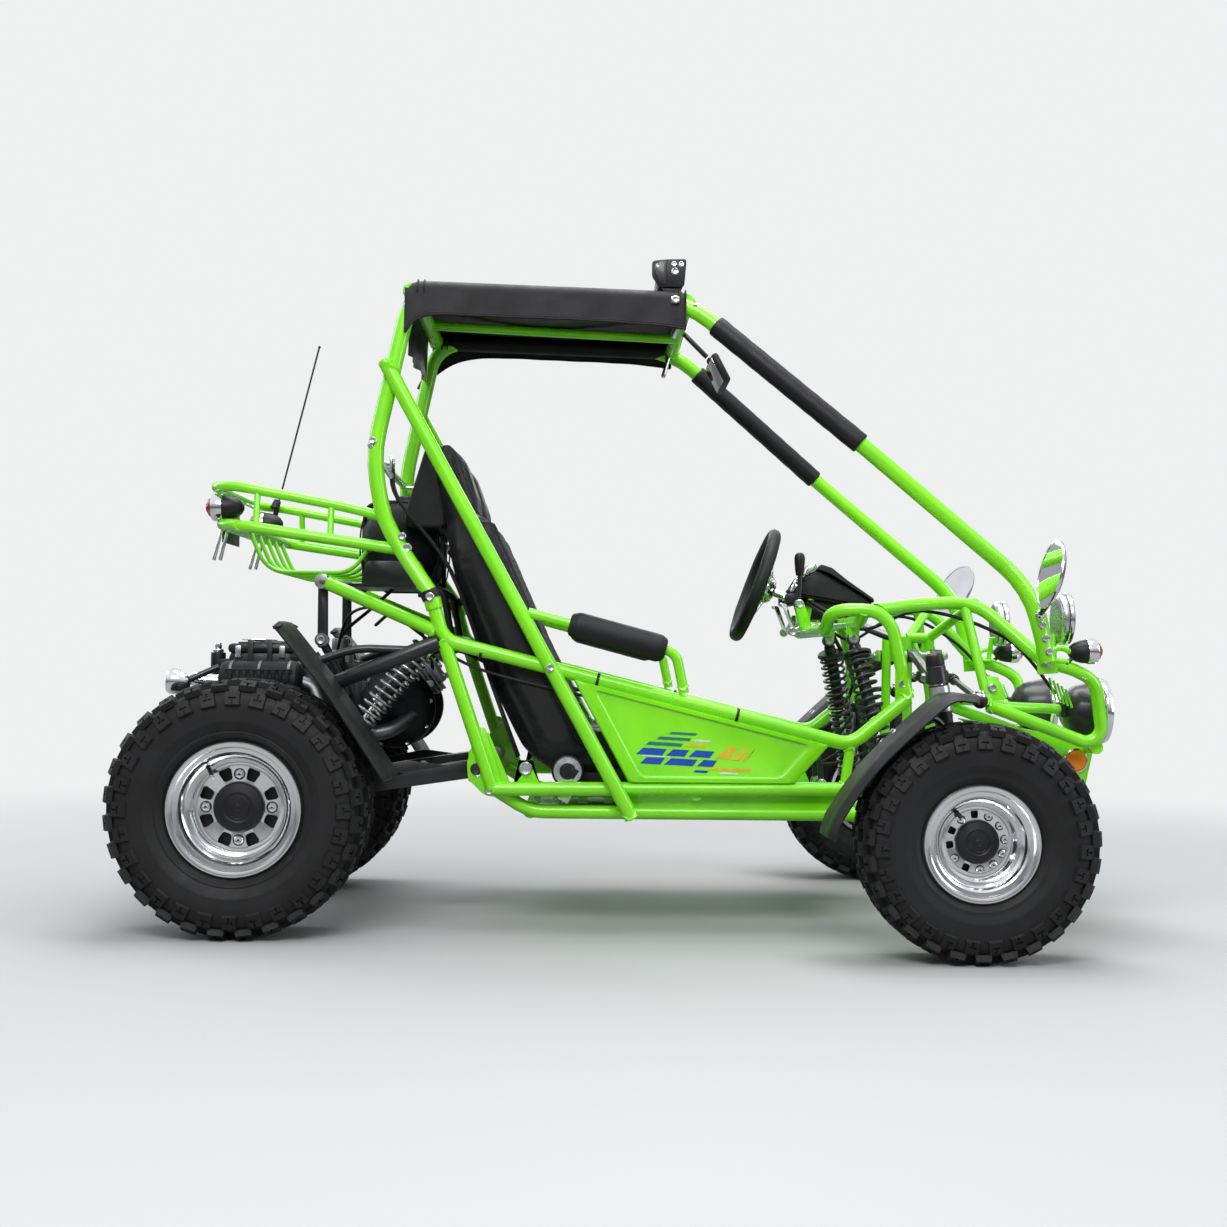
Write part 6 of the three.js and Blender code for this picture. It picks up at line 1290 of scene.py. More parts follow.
# %% Rear axle, sprocket and brake disc
axle = at(-747, 0, 269)
parts = [bar(axle + Vector((0, -0.43, 0)), axle + Vector((0, 0.43, 0)), 30, zinc, 32, 2)]
for side in (-1, 1):
    hub = axle + Vector((0, side * 0.384, 0))
    parts.append(turned([(15, -60), (34, -60), (36, 10), (46, 17), (46, 26), (15, 26), (15, -60)], hub,
                        (0, side, 0), cast_black, 40))
fit(parts, "rear_shaft", "axle_steel", "rear_axle", body="rear_wheels")
teeth = []
for i in range(42):
    for step, reach in ((0, 91), (0.25, 98), (0.6, 98), (0.85, 91)):
        angle = math.tau * (i + step) / 42
        teeth.append(axle + Vector((mm(reach * math.cos(angle)), 0.092, mm(reach * math.sin(angle)))))
wheel = plate(teeth, (0, 1, 0), 8, zinc, 0)
tools = [bar(axle + Vector((mm(62 * math.cos(a)), 0.08, mm(62 * math.sin(a)))),
             axle + Vector((mm(62 * math.cos(a)), 0.11, mm(62 * math.sin(a)))), 34, zinc, 20)
         for a in [math.tau * i / 6 for i in range(6)]]
fit([cut(wheel, tools)], "sprocket", "axle_steel", body="rear_wheels")
disc = turned([(30, -2.5), (92, -2.5), (92, 2.5), (30, 2.5), (30, -2.5)], axle + Vector((0, -0.092, 0)),
              (0, 1, 0), zinc, 64)
tools = []
for i in range(24):
    a, r = math.tau * i / 24, (68, 76, 84)[i % 3]
    spot = axle + Vector((mm(r * math.cos(a)), -0.092, mm(r * math.sin(a))))
    tools.append(bar(spot + Vector((0, -0.01, 0)), spot + Vector((0, 0.01, 0)), 6, zinc, 10))
fit([cut(disc, tools)], "brake_disc", "axle_steel", body="rear_wheels")

# %% [markdown]
# ## Seats
# Each seat is a foam shell under stitched vinyl. A thick grid is laid along the seat's curve, from the
# front edge up to the headrest, with its side bolsters. It is remeshed finely and blown up as cloth,
# which gives the vinyl its fullness, and then the channels are pressed in by moving its points. One is
# made and copied for the other.

# %% Seat curve
SPINE = [(268, 382.8), (120.6, 392), (-28, 381), (-70, 412), (-150, 560), (-262, 800), (-312, 912),
         (-356, 1060)]


def smooth_run(points, per=8):
    """Points along a smooth curve through the given ones."""
    run = []
    for i in range(len(points) - 1):
        p0, p1 = points[max(i - 1, 0)], points[i]
        p2, p3 = points[i + 1], points[min(i + 2, len(points) - 1)]
        for k in range(per):
            t = k / per
            run.append(tuple(0.5 * (2 * b + (c - a) * t + (2 * a - 5 * b + 4 * c - d) * t * t
                                    + (3 * b - a - 3 * c + d) * t * t * t)
                             for a, b, c, d in zip(p0, p1, p2, p3)))
    return run + [points[-1]]


def seat_frame(side):
    """The curve as (place, along, out) with `out` away from the sitter's back."""
    run = [at(x, side * 168, z) for x, z in smooth_run(SPINE)]
    frames = []
    for i, here in enumerate(run):
        along = (run[min(i + 1, len(run) - 1)] - run[max(i - 1, 0)]).normalized()
        frames.append((here, along, Vector((-along.z, 0, along.x))))
    return frames


# %% Seat shell
def seat_half_width(share):
    """Half the width in millimetres: full at the cushion and the waist, narrow at the headrest."""
    if share < 0.06:
        return 138 + 180 * share
    if share < 0.72:
        return 149
    return 149 - 54 * min(1, (share - 0.72) / 0.22) ** 1.4 - 60 * max(0, share - 0.955)


def read_off(table, share):
    """The value between the two nearest rows of a table of (share, value)."""
    for (a, low), (b, high) in zip(table, table[1:]):
        if share <= b:
            return low + (high - low) * (share - a) / (b - a)
    return table[-1][1]


BACK = [(0, 38), (0.3, 42), (0.42, 80), (0.57, 78), (0.71, 54), (0.84, 24), (0.94, 20), (1, 4)]
FACE = [(0, 34), (0.3, 38), (0.57, 44), (0.79, 46), (0.83, 30), (0.87, 42), (0.95, 38), (1, 20)]


def seat_shell(side):
    frames = seat_frame(side)
    clear()
    columns, rows = 17, len(frames)
    bpy.ops.mesh.primitive_grid_add(x_subdivisions=columns - 1, y_subdivisions=rows - 1, size=2)
    shell = bpy.context.object
    edit()
    bpy.ops.mesh.extrude_region_move(TRANSFORM_OT_translate={"value": (0, 0, 1)})
    bpy.ops.object.mode_set(mode="OBJECT")
    for point in shell.data.vertices:
        u, v, top = point.co.x, point.co.y, point.co.z
        share = (v + 1) / 2
        place, along, out = frames[min(rows - 1, round(share * (rows - 1)))]
        half = seat_half_width(share) - 4
        edge = abs(u) ** 6
        bolster = 30 * max(0.0, (abs(u) - 0.55) / 0.45) ** 1.5 * (1 if share > 0.32 else 0.6)
        bolster *= 0.4 if share > 0.8 else 1
        face = read_off(FACE, share) + bolster - edge * 10
        back = edge * 14 - read_off(BACK, share)
        rise = face if top > 0.5 else back
        point.co = place - out * mm(rise) + Vector((0, mm(half * u), 0))
    return shell


# %% Blown up and stitched
def puff(piece, voxel, pressure, cap):
    """Cloth under pressure: the skin fills out, and no point moves further than the cap, in millimetres."""
    modified(piece, "REMESH", mode="VOXEL", voxel_size=mm(voxel))
    start = [v.co.copy() for v in piece.data.vertices]
    cloth = piece.modifiers.new("cloth", "CLOTH")
    cloth.settings.use_pressure = True
    cloth.settings.uniform_pressure_force = pressure
    cloth.settings.effector_weights.gravity = 0
    cloth.settings.tension_stiffness = cloth.settings.compression_stiffness = 8
    cloth.point_cache.frame_end = 20
    for frame_number in range(1, 19):
        bpy.context.scene.frame_set(frame_number)
    chosen(piece)
    bpy.ops.object.modifier_apply(modifier=cloth.name)
    for point, home in zip(piece.data.vertices, start):
        move = point.co - home
        if move.length > mm(cap):
            point.co = home + move.normalized() * mm(cap)
    return piece


# %% [markdown]
# ### Stitching
# A sewn channel is a furrow in the foam with the thread at its bottom. Every point of the skin finds its
# place along the seat and across it, and moves in by the depth of the nearest channel. Round cords of piping
# cover the seams where the side panels meet the face.

# %% Channels
def furrow(distance, width, depth):
    return depth * math.exp(-(distance / width) ** 2)


def stitch(shell, side):
    """Presses the channels in. Distances are in millimetres."""
    frames = seat_frame(side)
    tree = KDTree(len(frames))
    for i, (place, along, out) in enumerate(frames):
        tree.insert(place, i)
    tree.balance()
    for point in shell.data.vertices:
        flat = Vector((point.co.x, side * mm(168), point.co.z))
        place, i = tree.find(flat)[:2]
        along, out = frames[i][1:]
        share = i / (len(frames) - 1)
        rise = -(point.co - place).dot(out) * 1000
        run = (share + (point.co - place).dot(along) / 1.35) * 1350
        u = (point.co.y - side * mm(168)) * 1000
        half = seat_half_width(share)
        depth = 0.0
        if rise > 8:
            depth += furrow(abs(u) - half * 0.56, 4.5, 7)
            if abs(u) < half * 0.56 and 0.02 < share < 0.8:
                depth += furrow((run + 30) % 62 - 31, 5, 5.5) * min(1, (half * 0.56 - abs(u)) / 8)
            if share > 0.8:
                depth += furrow((share - 0.825) * 1350, 6, 6)
        if abs(u) > half - 16:
            seam = 0.55 * read_off(FACE, share)
            point.co.y -= math.copysign(mm(furrow(rise - seam, 3.5, 2.5)), u)
        point.co += out * mm(depth if rise > 8 else 0)


# %% Cords and hoses from a run of points
def hose(points, diameter, finish, sides=8):
    """A round cord along a run of points, as a bevelled curve made into a mesh."""
    from_points(points)
    bpy.ops.object.convert(target="CURVE")
    run = bpy.context.object
    run.data.bevel_depth = mm(diameter / 2)
    run.data.bevel_resolution = max(1, sides // 4)
    run.data.use_fill_caps = True
    bpy.ops.object.convert(target="MESH")
    return settle(finish)


def bent(points, per=10):
    """A smooth run through points in the frame's metres."""
    return [Vector(p) for p in smooth_run([tuple(p) for p in points], per)]


# %% The two seats
model = seat_shell(-1)
model.data.materials.append(seat_vinyl)
model = puff(model, 6, 4, 9)
modified(model, "SUBSURF", levels=1, render_levels=1)
stitch(model, -1)
cords = []
for edge in (-1, 1):
    run = []
    for i, (place, along, out) in enumerate(seat_frame(-1)[2:-3]):
        share = (i + 2) / 56
        beside = Vector((0, mm(edge * (seat_half_width(share) + 9)), 0))
        guess = place - out * mm(0.55 * read_off(FACE, share)) + beside
        spot = model.closest_point_on_mesh(guess)[1]
        run.append(Vector((guess.x, spot.y + mm(edge * 0.8), guess.z)))
    for smoothing in range(3):
        run = [run[0]] + [(a + b + c) / 3 for a, b, c in zip(run, run[1:], run[2:])] + [run[-1]]
    cords.append(hose(run, 4, seat_vinyl))
piping = join(cords, "seat_piping", 50)
for side, word in SIDES:
    beside = Matrix.Translation((0, mm(168 + 168 * side), 0))
    shell = copied(model, beside, "seat_cover_" + word)
    shell = fit([shell], "seat_cover_" + word, "seat_vinyl", "seat_" + word, angle=60)
    ridden(copied(piping, beside, "seat_piping_" + word), "chassis", "seat_vinyl")
    rails = []
    for y in (68, 268):
        rails.append(block(at(70, side * y, 333), (320, 28, 34), black_paint, 3))
        for x in (-70, 210):
            rails.append(bolt(at(x, side * y, 351), (0, 0, 1), 9))
    fit(rails, "seat_rails_" + word, "black_metal")
for spare in (model, piping):
    bpy.data.objects.remove(spare)
print("seats:", len(shell.data.polygons), "faces each")

# %% [markdown]
# ## Arm pads
# A roll of foam in vinyl over the armrest tube, with rounded ends and a seam along its inner side.

# %% Arm pads
for side, word in SIDES:
    start, end = at(-150, side * 352, 684), at(168, side * 352, 601)
    way = (end - start).normalized()
    first = start + way * ((at(-62, 0, 0).x - start.x) / way.x)
    profile = [(0, 0), (20, 1), (26, 5), (29, 13)] + [(30.5, 20 + 22 * i) for i in range(9)]
    profile += [(30, 203), (27, 211), (20, 215), (0, 216)]
    pad = turned(profile, first, way, seat_vinyl, 40)
    pad = puff(pad, 4.5, 4, 3)
    for point in pad.data.vertices:
        run = (point.co - first).dot(way) * 1000
        out = (point.co - first - way * mm(run)).normalized()
        crease = furrow(run - 9, 3.5, 1.8) + furrow(run - 207, 3.5,
                                                    1.8) + 0.12 * math.sin(run / 7 + out.z * 5)
        point.co -= out * mm(crease)
    modified(pad, "SUBSURF", levels=1, render_levels=1)
    pad = fit([pad], "arm_roll_" + word, "seat_vinyl", "armrest_pad_" + word, angle=60)
print("arm pads:", len(pad.data.polygons), "faces each")

# %% [markdown]
# ## Cover behind the seats
# A padded board in the seats' vinyl closes the space behind them, from the headrests down to the tank. One
# outline with rounded corners, drawn out across the kart, gives its slanted wedge.

# %% Cover behind the seats
outline = rounded([(-352, 1056), (-386, 1052), (-426, 915), (-432, 872), (-338, 872)], 14)
cover = plate([at(x, -236, z) for x, z in outline], (0, 1, 0), 472, seat_vinyl, 6)
fit([cover], "seat_back_cover", "seat_vinyl", angle=40)

# %% [markdown]
# ## Side panels
# A pressed sheet fills the frame on each side, with a raised border round a sunken field. The field is inset
# twice, and carries a sticker of slanted speed stripes, cut from coloured film.

# %% Pressed panel
OUTLINE = [(68.5, 322.6), (423.5, 322.6), (499, 406.6), (-52.6, 543)]


def shrunk(outline, share):
    x0 = sum(x for x, z in outline) / len(outline)
    z0 = sum(z for x, z in outline) / len(outline)
    return [(x0 + (x - x0) * share, z0 + (z - z0) * share) for x, z in outline]


# %% The two panels
for side, word in SIDES:
    rings = [(OUTLINE, 6, 352), (shrunk(OUTLINE, 0.985), 8, 358.5), (shrunk(OUTLINE, 0.965), 9, 360.5),
             (shrunk(OUTLINE, 0.86), 16, 360.5), (shrunk(OUTLINE, 0.842), 17, 358.8),
             (shrunk(OUTLINE, 0.825), 18, 355.5), (shrunk(OUTLINE, 0.8), 19, 354.6)]
    loops, points, faces = [], [], []
    for outline, radius, y in rings:
        loop = rounded(outline, radius)
        loops.append(range(len(points), len(points) + len(loop)))
        points += [at(x, side * y, z) for x, z in loop]
    for inner, outer in zip(loops, loops[1:]):
        for i in range(len(inner)):
            j = (i + 1) % len(inner)
            faces.append((inner[i], inner[j], outer[j], outer[i]))
    faces.append(tuple(loops[-1]))
    panel = from_points(points, faces)
    edit()
    outward()
    inward = -1 if panel.data.polygons[-1].normal.y * side > 0 else 1
    modified(panel, "SOLIDIFY", thickness=mm(2), offset=inward)
    settle(lime_paint)
    fit([panel], "pressed_panel_" + word, "panel_paint", "side_panel_" + word, angle=28)
print("panel:", len(panel.data.polygons), "faces")


# %% Stripe stickers
def film(name, colour):
    finish = Finish(name, colour, 0.28, Coat_Weight=0.6)
    finish.vary_colour(finish.noise(60, 3), tuple(c * 0.8 for c in colour))
    finish.bump(finish.noise(400, 2), 0.06, 0.0004)
    return finish.material


blue_film = film("blue_film", (0.012, 0.09, 0.5))
teal_film = film("teal_film", (0.02, 0.24, 0.2))
yellow_film = film("yellow_film", (0.9, 0.62, 0.03))
pale_film = film("pale_film", (0.85, 0.9, 0.88))
STRIPES = [(84, 384, 56, 14, blue_film), (148, 381, 40, 14, blue_film), (196, 379, 46, 14, blue_film),
           (92, 364, 44, 14, blue_film), (144, 362, 62, 14, blue_film), (214, 359, 34, 14, blue_film),
           (104, 404, 76, 7, teal_film), (128, 416, 70, 6, teal_film), (154, 427, 58, 5, teal_film),
           (188, 402, 44, 5, yellow_film), (204, 412, 36, 4, pale_film), (96, 380, 60, 2, pale_film),
           (254, 376, 30, 26, yellow_film), (288, 373, 18, 26, yellow_film), (310, 371, 9, 26, yellow_film),
           (240, 352, 88, 6, yellow_film), (206, 346, 30, 5, blue_film), (262, 343, 40, 4, pale_film)]
for side, word in SIDES:
    cuts = []
    for x, z, length, height, colour in STRIPES:
        lean = height * 0.7
        shape = [(x, z), (x + length, z - length * 0.05), (x + length + lean, z + height - length * 0.05),
                 (x + lean * 1.6, z + height)]
        cuts.append(plate([at(u, side * 354.9, v) for u, v in shape], (0, side, 0), 0.3, colour))
    fit(cuts, "stripes_" + word, "panel_paint")
print("stickers:", len(STRIPES), "stripes a side")

# %% [markdown]
# ## Canopy
# A sheet of coated cloth lies over the roof rails and hangs a little down outside them. Its shape comes from
# one cross-section that is carried along the roof: a shallow dip between the rails, a wrap round each rail,
# and a flap whose folds grow towards the hem. A rolled hem with a line of stitches finishes the edges.

# %% Cloth
def canopy_section(t, side, count=14):
    """Points (across, height) of half the cloth, from the middle to the hem, for a share t of the length.

    The cloth is pulled to the right and hangs lower there. On the left it covers little more than the rail.
    """
    centre = 1384 - 16 * (636 * t - 27) / 599
    dip = 20 * math.sin(math.pi * t) ** 2
    drop = 54 + 44 * math.exp(-30 * t) if side < 0 else 26 + 88 * math.exp(-16 * t)
    drop += 11 * math.exp(-9 * (1 - t))
    r = 21
    points = []
    for i in range(count):
        u = i / count
        sag = dip * (1 - u ** 2.2)
        points.append((305 * u, centre + r - sag + 0.8 * math.sin(9 * u + 14 * t) * math.sin(math.pi * t)))
    for i in range(9):
        a = math.pi / 2 * (1 - i / 8)
        points.append((305 + r * math.cos(a), centre + r * math.sin(a)))
    for i in range(1, 13):
        u = i / 12
        wave = 2.2 * math.sin(13 * t + 0.6) + 2 * math.sin(41 * t + 2 * u)
        points.append((305 + r + 5.5 * u + wave * u, centre - drop * u))
    return points


rows, stations = [], 49
for i in range(stations):
    t = i / (stations - 1)
    x = -424 + 606 * t
    full = [(-y, z) for y, z in reversed(canopy_section(t, -1))] + canopy_section(t, 1)[1:]
    ends = 20 * math.exp(-t * 60) + 3.5 * math.exp(-(1 - t) * 22)
    row = []
    for y, z in full:
        hang = max(0, 1350 - z) / 80 if y > 320 else 0
        row.append(at(x - 40 * hang * math.exp(-14 * t), y, z - ends * (abs(y) < 326)))
    rows.append(row)
clear()
columns = len(rows[0])
bpy.ops.mesh.primitive_grid_add(x_subdivisions=columns - 1, y_subdivisions=stations - 1, size=2)
cloth = bpy.context.object
for point in cloth.data.vertices:
    i = round((point.co.y + 1) / 2 * (stations - 1))
    j = round((point.co.x + 1) / 2 * (columns - 1))
    point.co = rows[i][j]
edit()
outward()
modified(cloth, "SOLIDIFY", thickness=mm(1.6), offset=0)
settle(canopy_cloth)
cloth = fit([cloth], "canopy_sheet", "canopy_cloth", "canopy", angle=60)
hems = []
for row in (rows[0], rows[-1]):
    hems.append(hose(row, 5, canopy_cloth))
for j in (0, columns - 1):
    hems.append(hose([row[j] for row in rows], 5, canopy_cloth))
stitches = []
for j, side in ((1, -1), (columns - 2, 1)):
    run = [row[j] + Vector((0, side * mm(1.4), 0)) for row in rows]
    stitches.append(hose(run, 1.4, thread, 4))
hem = fit(hems, "canopy_hem", "canopy_cloth", angle=60)
stitching = fit(stitches, "canopy_stitching", "canopy_cloth", angle=60)

# %% Flap over the rear cross tube and sleeve round the left rail
clear()
bpy.ops.mesh.primitive_grid_add(x_subdivisions=36, y_subdivisions=10, size=2)
flap = bpy.context.object
for point in flap.data.vertices:
    share, down = point.co.x, (1 - point.co.y) / 2
    wave = (5 * math.sin(share * 6) + 3 * math.sin(share * 15 + 1)) * down
    point.co = at(-424 - 8 * share - 3 * down + wave, 286 * share, 1400 - (138 - 16 * share) * down)
modified(flap, "SOLIDIFY", thickness=mm(1.6))
settle(canopy_cloth)
sleeve_line = at(-396, 305, 1383.6), at(166, 305, 1368.6)
length = (sleeve_line[1] - sleeve_line[0]).length * 1000
wrap = turned([(17.7, 0), (19.7, 0), (19.7, length), (17.7, length), (17.7, 0)], sleeve_line[0],
              sleeve_line[1] - sleeve_line[0], canopy_cloth, 36)
flap = fit([flap, wrap], "canopy_rear_flap", "canopy_cloth", angle=60)

# %% Straps and corner bolts of the canopy
straps, corners = [], []
for side in (-1, 1):
    for x in (-392, 176):
        z = 1384 - 16 * (x + 413) / 599
        turn_points = [at(x, side * (305 + 24 * math.cos(a)), z + 24 * math.sin(a))
                       for a in [math.tau * i / 28 for i in range(29)]]
        for k in (-7, 7):
            straps.append(hose([p + Vector((mm(k), 0, 0)) for p in turn_points], 3, canopy_cloth))
    spot = at(160, side * 334, 1366)
    corners.append(block(spot, (18, 4, 14), zinc, 1.2))
    corners.append(bolt(spot + Vector((0, side * mm(2), 0)), (0, side, 0), 8))
    corners.append(bar(at(176, side * 268, 1352), at(160, side * 262, 1296), 11, chrome, 20, 1.5))
fit(straps, "canopy_straps", "canopy_cloth", angle=60)
fit(corners, "canopy_clamps", "bright_steel", angle=25)

# %% [markdown]
# ## Roof light bar
# A dark box beam across the roof with pressed end brackets and feet that stand on the roof rail.

# %% Light bar
parts = [block(at(148, 0, 1433), (47.2, 584, 53.4), black_plastic, 5)]
for y in (-210, -105, 0, 105, 210):
    parts.append(block(at(151, y, 1433), (46, 4, 58), black_plastic, 1.5))
fixings = []
for side in (-1, 1):
    outline = [(110, 1459), (144.2, 1463), (186, 1464), (181, 1402), (125.2, 1402), (110, 1424)]
    flat = [at(x, side * 293, z) for x, z in rounded(outline, 7, 3)]
    parts.append(plate(flat, (0, side, 0), 4, black_plastic, 1))
    inner = [(114, 1440), (126, 1458), (142, 1459), (142, 1406), (128, 1408)]
    parts.append(plate([at(x, side * 297, z) for x, z in rounded(inner, 5, 3)], (0, side, 0), 2.5,
                       black_paint, 0.8))
    for x, z, size in ((158, 1452, 6), (174, 1452, 6), (160, 1436, 8), (122, 1449, 4)):
        fixings.append(bolt(at(x, side * 297, z), (0, side, 0), size))
    parts.append(plate([at(x, side * 290, z) for x,
                        z in ((132, 1404), (178, 1404), (172, 1388), (140, 1389))], (0, -side, 0), 6,
                       black_paint, 1))
    parts.append(block(at(156, side * 276, 1390), (44, 36, 5), black_paint, 1.5))
    fixings.append(bolt(at(150, side * 268, 1392), (0, 0, 1), 8))
fit(parts, "light_bar", "black_plastic", "roof_light_bar")
fit(fixings, "light_bar_bolts", "bright_steel", angle=25)
lenses = []
for y in (-158, -53, 53, 158):
    lenses.append(block(at(173, y, 1433), (6, 92, 42), clear_lens, 2))
fit(lenses, "light_bar_glass", "lamp_chrome")

# %% [markdown]
# ## Mudguards
# Each guard is a strip of plastic, moulded with a shallow crown and a turned-down edge. It is a row of
# stations over the tyre, drawn out across, and thickened.

# %% Guards
def guard(stations, inner, outer, side, name, body, node, bulge=0.0):
    run = bent([at(x, 0, z) for x, z in stations], 8)
    across_count = 13
    points, faces = [], []
    last = len(run) - 1
    for i, here in enumerate(run):
        along = (run[min(i + 1, last)] - run[max(i - 1, 0)]).normalized()
        out = Vector((-along.z, 0, along.x))
        out = out if out.z > 0 else -out
        taper = 1 - 0.1 * max(0, 1 - i / 4) ** 2 - 0.1 * max(0, 1 - (last - i) / 4) ** 2
        swell = mm(bulge) * math.sin(math.pi * i / last)
        for j in range(across_count):
            u = 2 * j / (across_count - 1) - 1
            crown = 5 * (1 - u * u) - 9 * max(0, abs(u) - 0.86) / 0.14 + 1.4 * (abs(abs(u) - 0.62) < 0.1)
            y = (inner + outer) / 2 + u * (outer - inner) / 2 * taper
            points.append(here + out * (mm(crown - 5) + swell) + Vector((0, side * mm(y), 0)))
    for i in range(last):
        for j in range(across_count - 1):
            a = i * across_count + j
            faces.append((a, a + 1, a + across_count + 1, a + across_count))
    piece = from_points(points, faces)
    edit()
    outward()
    modified(piece, "SOLIDIFY", thickness=mm(3.4), offset=0)
    settle(guard_plastic)
    rims = []
    for edge, k in ((outer - 4, across_count - 1), (inner + 4, 0)):
        line = [Vector((points[i].x, side * mm(edge),
                        points[i].z)) for i in range(k, len(points), across_count)]
        rims.append(hose(line, 4.5, guard_plastic))
    return fit([piece] + rims, name, "black_plastic", node, body=body, angle=40)


FRONT_ROW = [(742, 519), (723.5, 524), (676.5, 520), (600, 455), (526.1, 380.7), (465, 293.8),
             (446.2, 244.4)]
REAR_ROW = [(-664, 656), (-655, 648), (-600, 578), (-545, 507), (-440, 352), (-430, 338)]
for side, word in SIDES:
    guard(FRONT_ROW, 556, 716, side, "front_mudguard_" + word, "knuckle_" + word, "front_guard_" + word)
    guard(REAR_ROW, 290, 486, side, "rear_mudguard_" + word, "chassis", "rear_guard_" + word, 4)
    parts = [tube([at(747, side * 532, 330), at(700, side * 536, 470), at(640, side * 560, 478),
                   at(640, side * 640, 480)], 14, black_paint, 24, 16),
             tube([at(728, side * 532, 400), at(650, side * 545, 420), at(560, side * 566, 398),
                   at(560, side * 640, 400)], 14, black_paint, 24, 16)]
    fit(parts, "front_guard_stay_" + word, "black_metal", body="knuckle_" + word)
    fixings = [bolt(at(692, side * 600, 520), (-0.1, 0, 1), 9),
               bolt(at(590, side * 600, 446), (-0.7, 0, 0.7), 8)]
    fit(fixings, "front_guard_bolts_" + word, "bright_steel", body="knuckle_" + word, angle=25)
    stay = [bar(at(-340, side * 345, 620), at(-560, side * 324, 530), 34, black_paint, 28, 2),
            tube([at(-380, side * 340, 600), at(-520, side * 330, 604), at(-600, side * 330, 576)], 18,
                 black_paint, 30, 16)]
    fit(stay, "rear_guard_stay_" + word, "black_metal")

# %% [markdown]
# ## Lamps
# The headlamps are deep steel bowls with a chrome ring and clear glass over a turned reflector. Indicators
# are black bullets with a chrome band and an orange lens, and the rear ones have red glass.

# %% Headlamps
for side, word in SIDES:
    centre = at(1092, side * 215, 481)
    bowl = turned([(0, -56), (28, -54), (44, -44), (56, -28), (64, 4), (67, 22), (67, 30), (62, 30), (60, 6),
                   (0, -48)], centre, (1, 0, 0), black_paint, 48)
    fit([bowl], "headlamp_bowl_" + word, "black_metal", angle=40)
    ring = turned([(65, 22), (69, 23), (72, 27), (72, 35), (69, 41), (64, 43), (60, 41), (60, 34), (65, 22)],
                  centre, (1, 0, 0), chrome, 56)
    mirror = turned([(8, -24), (25, -17), (44, 0), (55, 18), (61, 36), (62.5, 36), (46, -2), (25, -20),
                     (8, -26), (8, -24)], centre, (1, 0, 0), chrome, 48)
    bulb = turned([(0, 4), (5, 2), (6.5, -6), (6, -18), (10, -20), (0, -22)], centre, (1, 0, 0), zinc, 20)
    fit([ring, mirror, bulb], "headlamp_ring_" + word, "lamp_chrome", "headlamp_" + word, angle=40)
    glass = turned([(0, 52), (24, 51), (44, 47), (57, 41), (61.5, 38), (57, 37), (0, 48)], centre, (1, 0, 0),
                   clear_lens, 48)
    fit([glass], "headlamp_glass_" + word, "lamp_chrome", angle=40)
    parts = [bar(at(1046, side * 222, 484), at(980, side * 262, 488), 22, lime_paint, 20, 1),
             tube([at(984, side * 262, 488), at(940, side * 280, 489), at(850, side * 316, 494)], 22,
                  lime_paint, 22), block(at(1034, side * 226, 484), (14, 40, 34), black_paint, 3)]
    fit(parts, "headlamp_stay_" + word, "green_paint")
    fins = []
    for k in range(5):
        fins.append(bar(at(992 + 9 * k, side * 276, 556 - 6 * k), at(1008 + 9 * k, side * 272, 506 - 4 * k),
                        5, lime_paint, 10))
    fit(fins, "lamp_guard_rods_" + word, "green_paint")


# %% Indicators
def indicator(place, direction, glass, name, size=1.0, stalk=None):
    """A bullet lamp that points along a direction."""
    scale = [(0, -40), (6, -39), (14, -34), (21, -24), (25, -10), (26, 0), (26, 4), (22, 4), (0, -30)]
    shell = turned([(r * size, a * size) for r, a in scale], place, direction, black_plastic, 36)
    band = [(22, 2), (27, 2), (28, 6), (28, 18), (26, 24), (22, 24), (22, 2)]
    ring = turned([(r * size, a * size) for r, a in band], place, direction, chrome, 36)
    face = [(0, 37), (8, 36), (17, 31), (22, 24), (20, 20), (0, 30)]
    front = turned([(r * size, a * size) for r, a in face], place, direction, glass, 32)
    pieces = [shell]
    if stalk:
        pieces.append(bar(place - Vector(direction).normalized() * mm(14 * size), stalk, 9, black_paint, 14))
    fit(pieces, name + "_shell", "black_plastic", angle=40)
    fit([ring], name + "_band", "lamp_chrome", angle=40)
    fit([front], name + "_lens", "lamp_chrome", angle=40)


for side, word in SIDES:
    indicator(at(1056, side * 330, 613), (1, 0, 0.05), amber_lens, "front_indicator_" + word, 0.98,
              at(1010, side * 340, 585))
    indicator(at(-827, side * 236, 912), (-1, 0, -0.02), red_lens, "rear_indicator_" + word, 1.1,
              at(-812, side * 244, 876))
    stay = [bar(at(966, side * 345, 596), at(1016, side * 338, 590), 12, lime_paint, 14),
            tube([at(966, side * 334, 606), at(1000, side * 336, 622), at(1022, side * 336, 612)], 12,
                 lime_paint, 12, 12)]
    fit(stay, "indicator_stay_" + word, "green_paint")

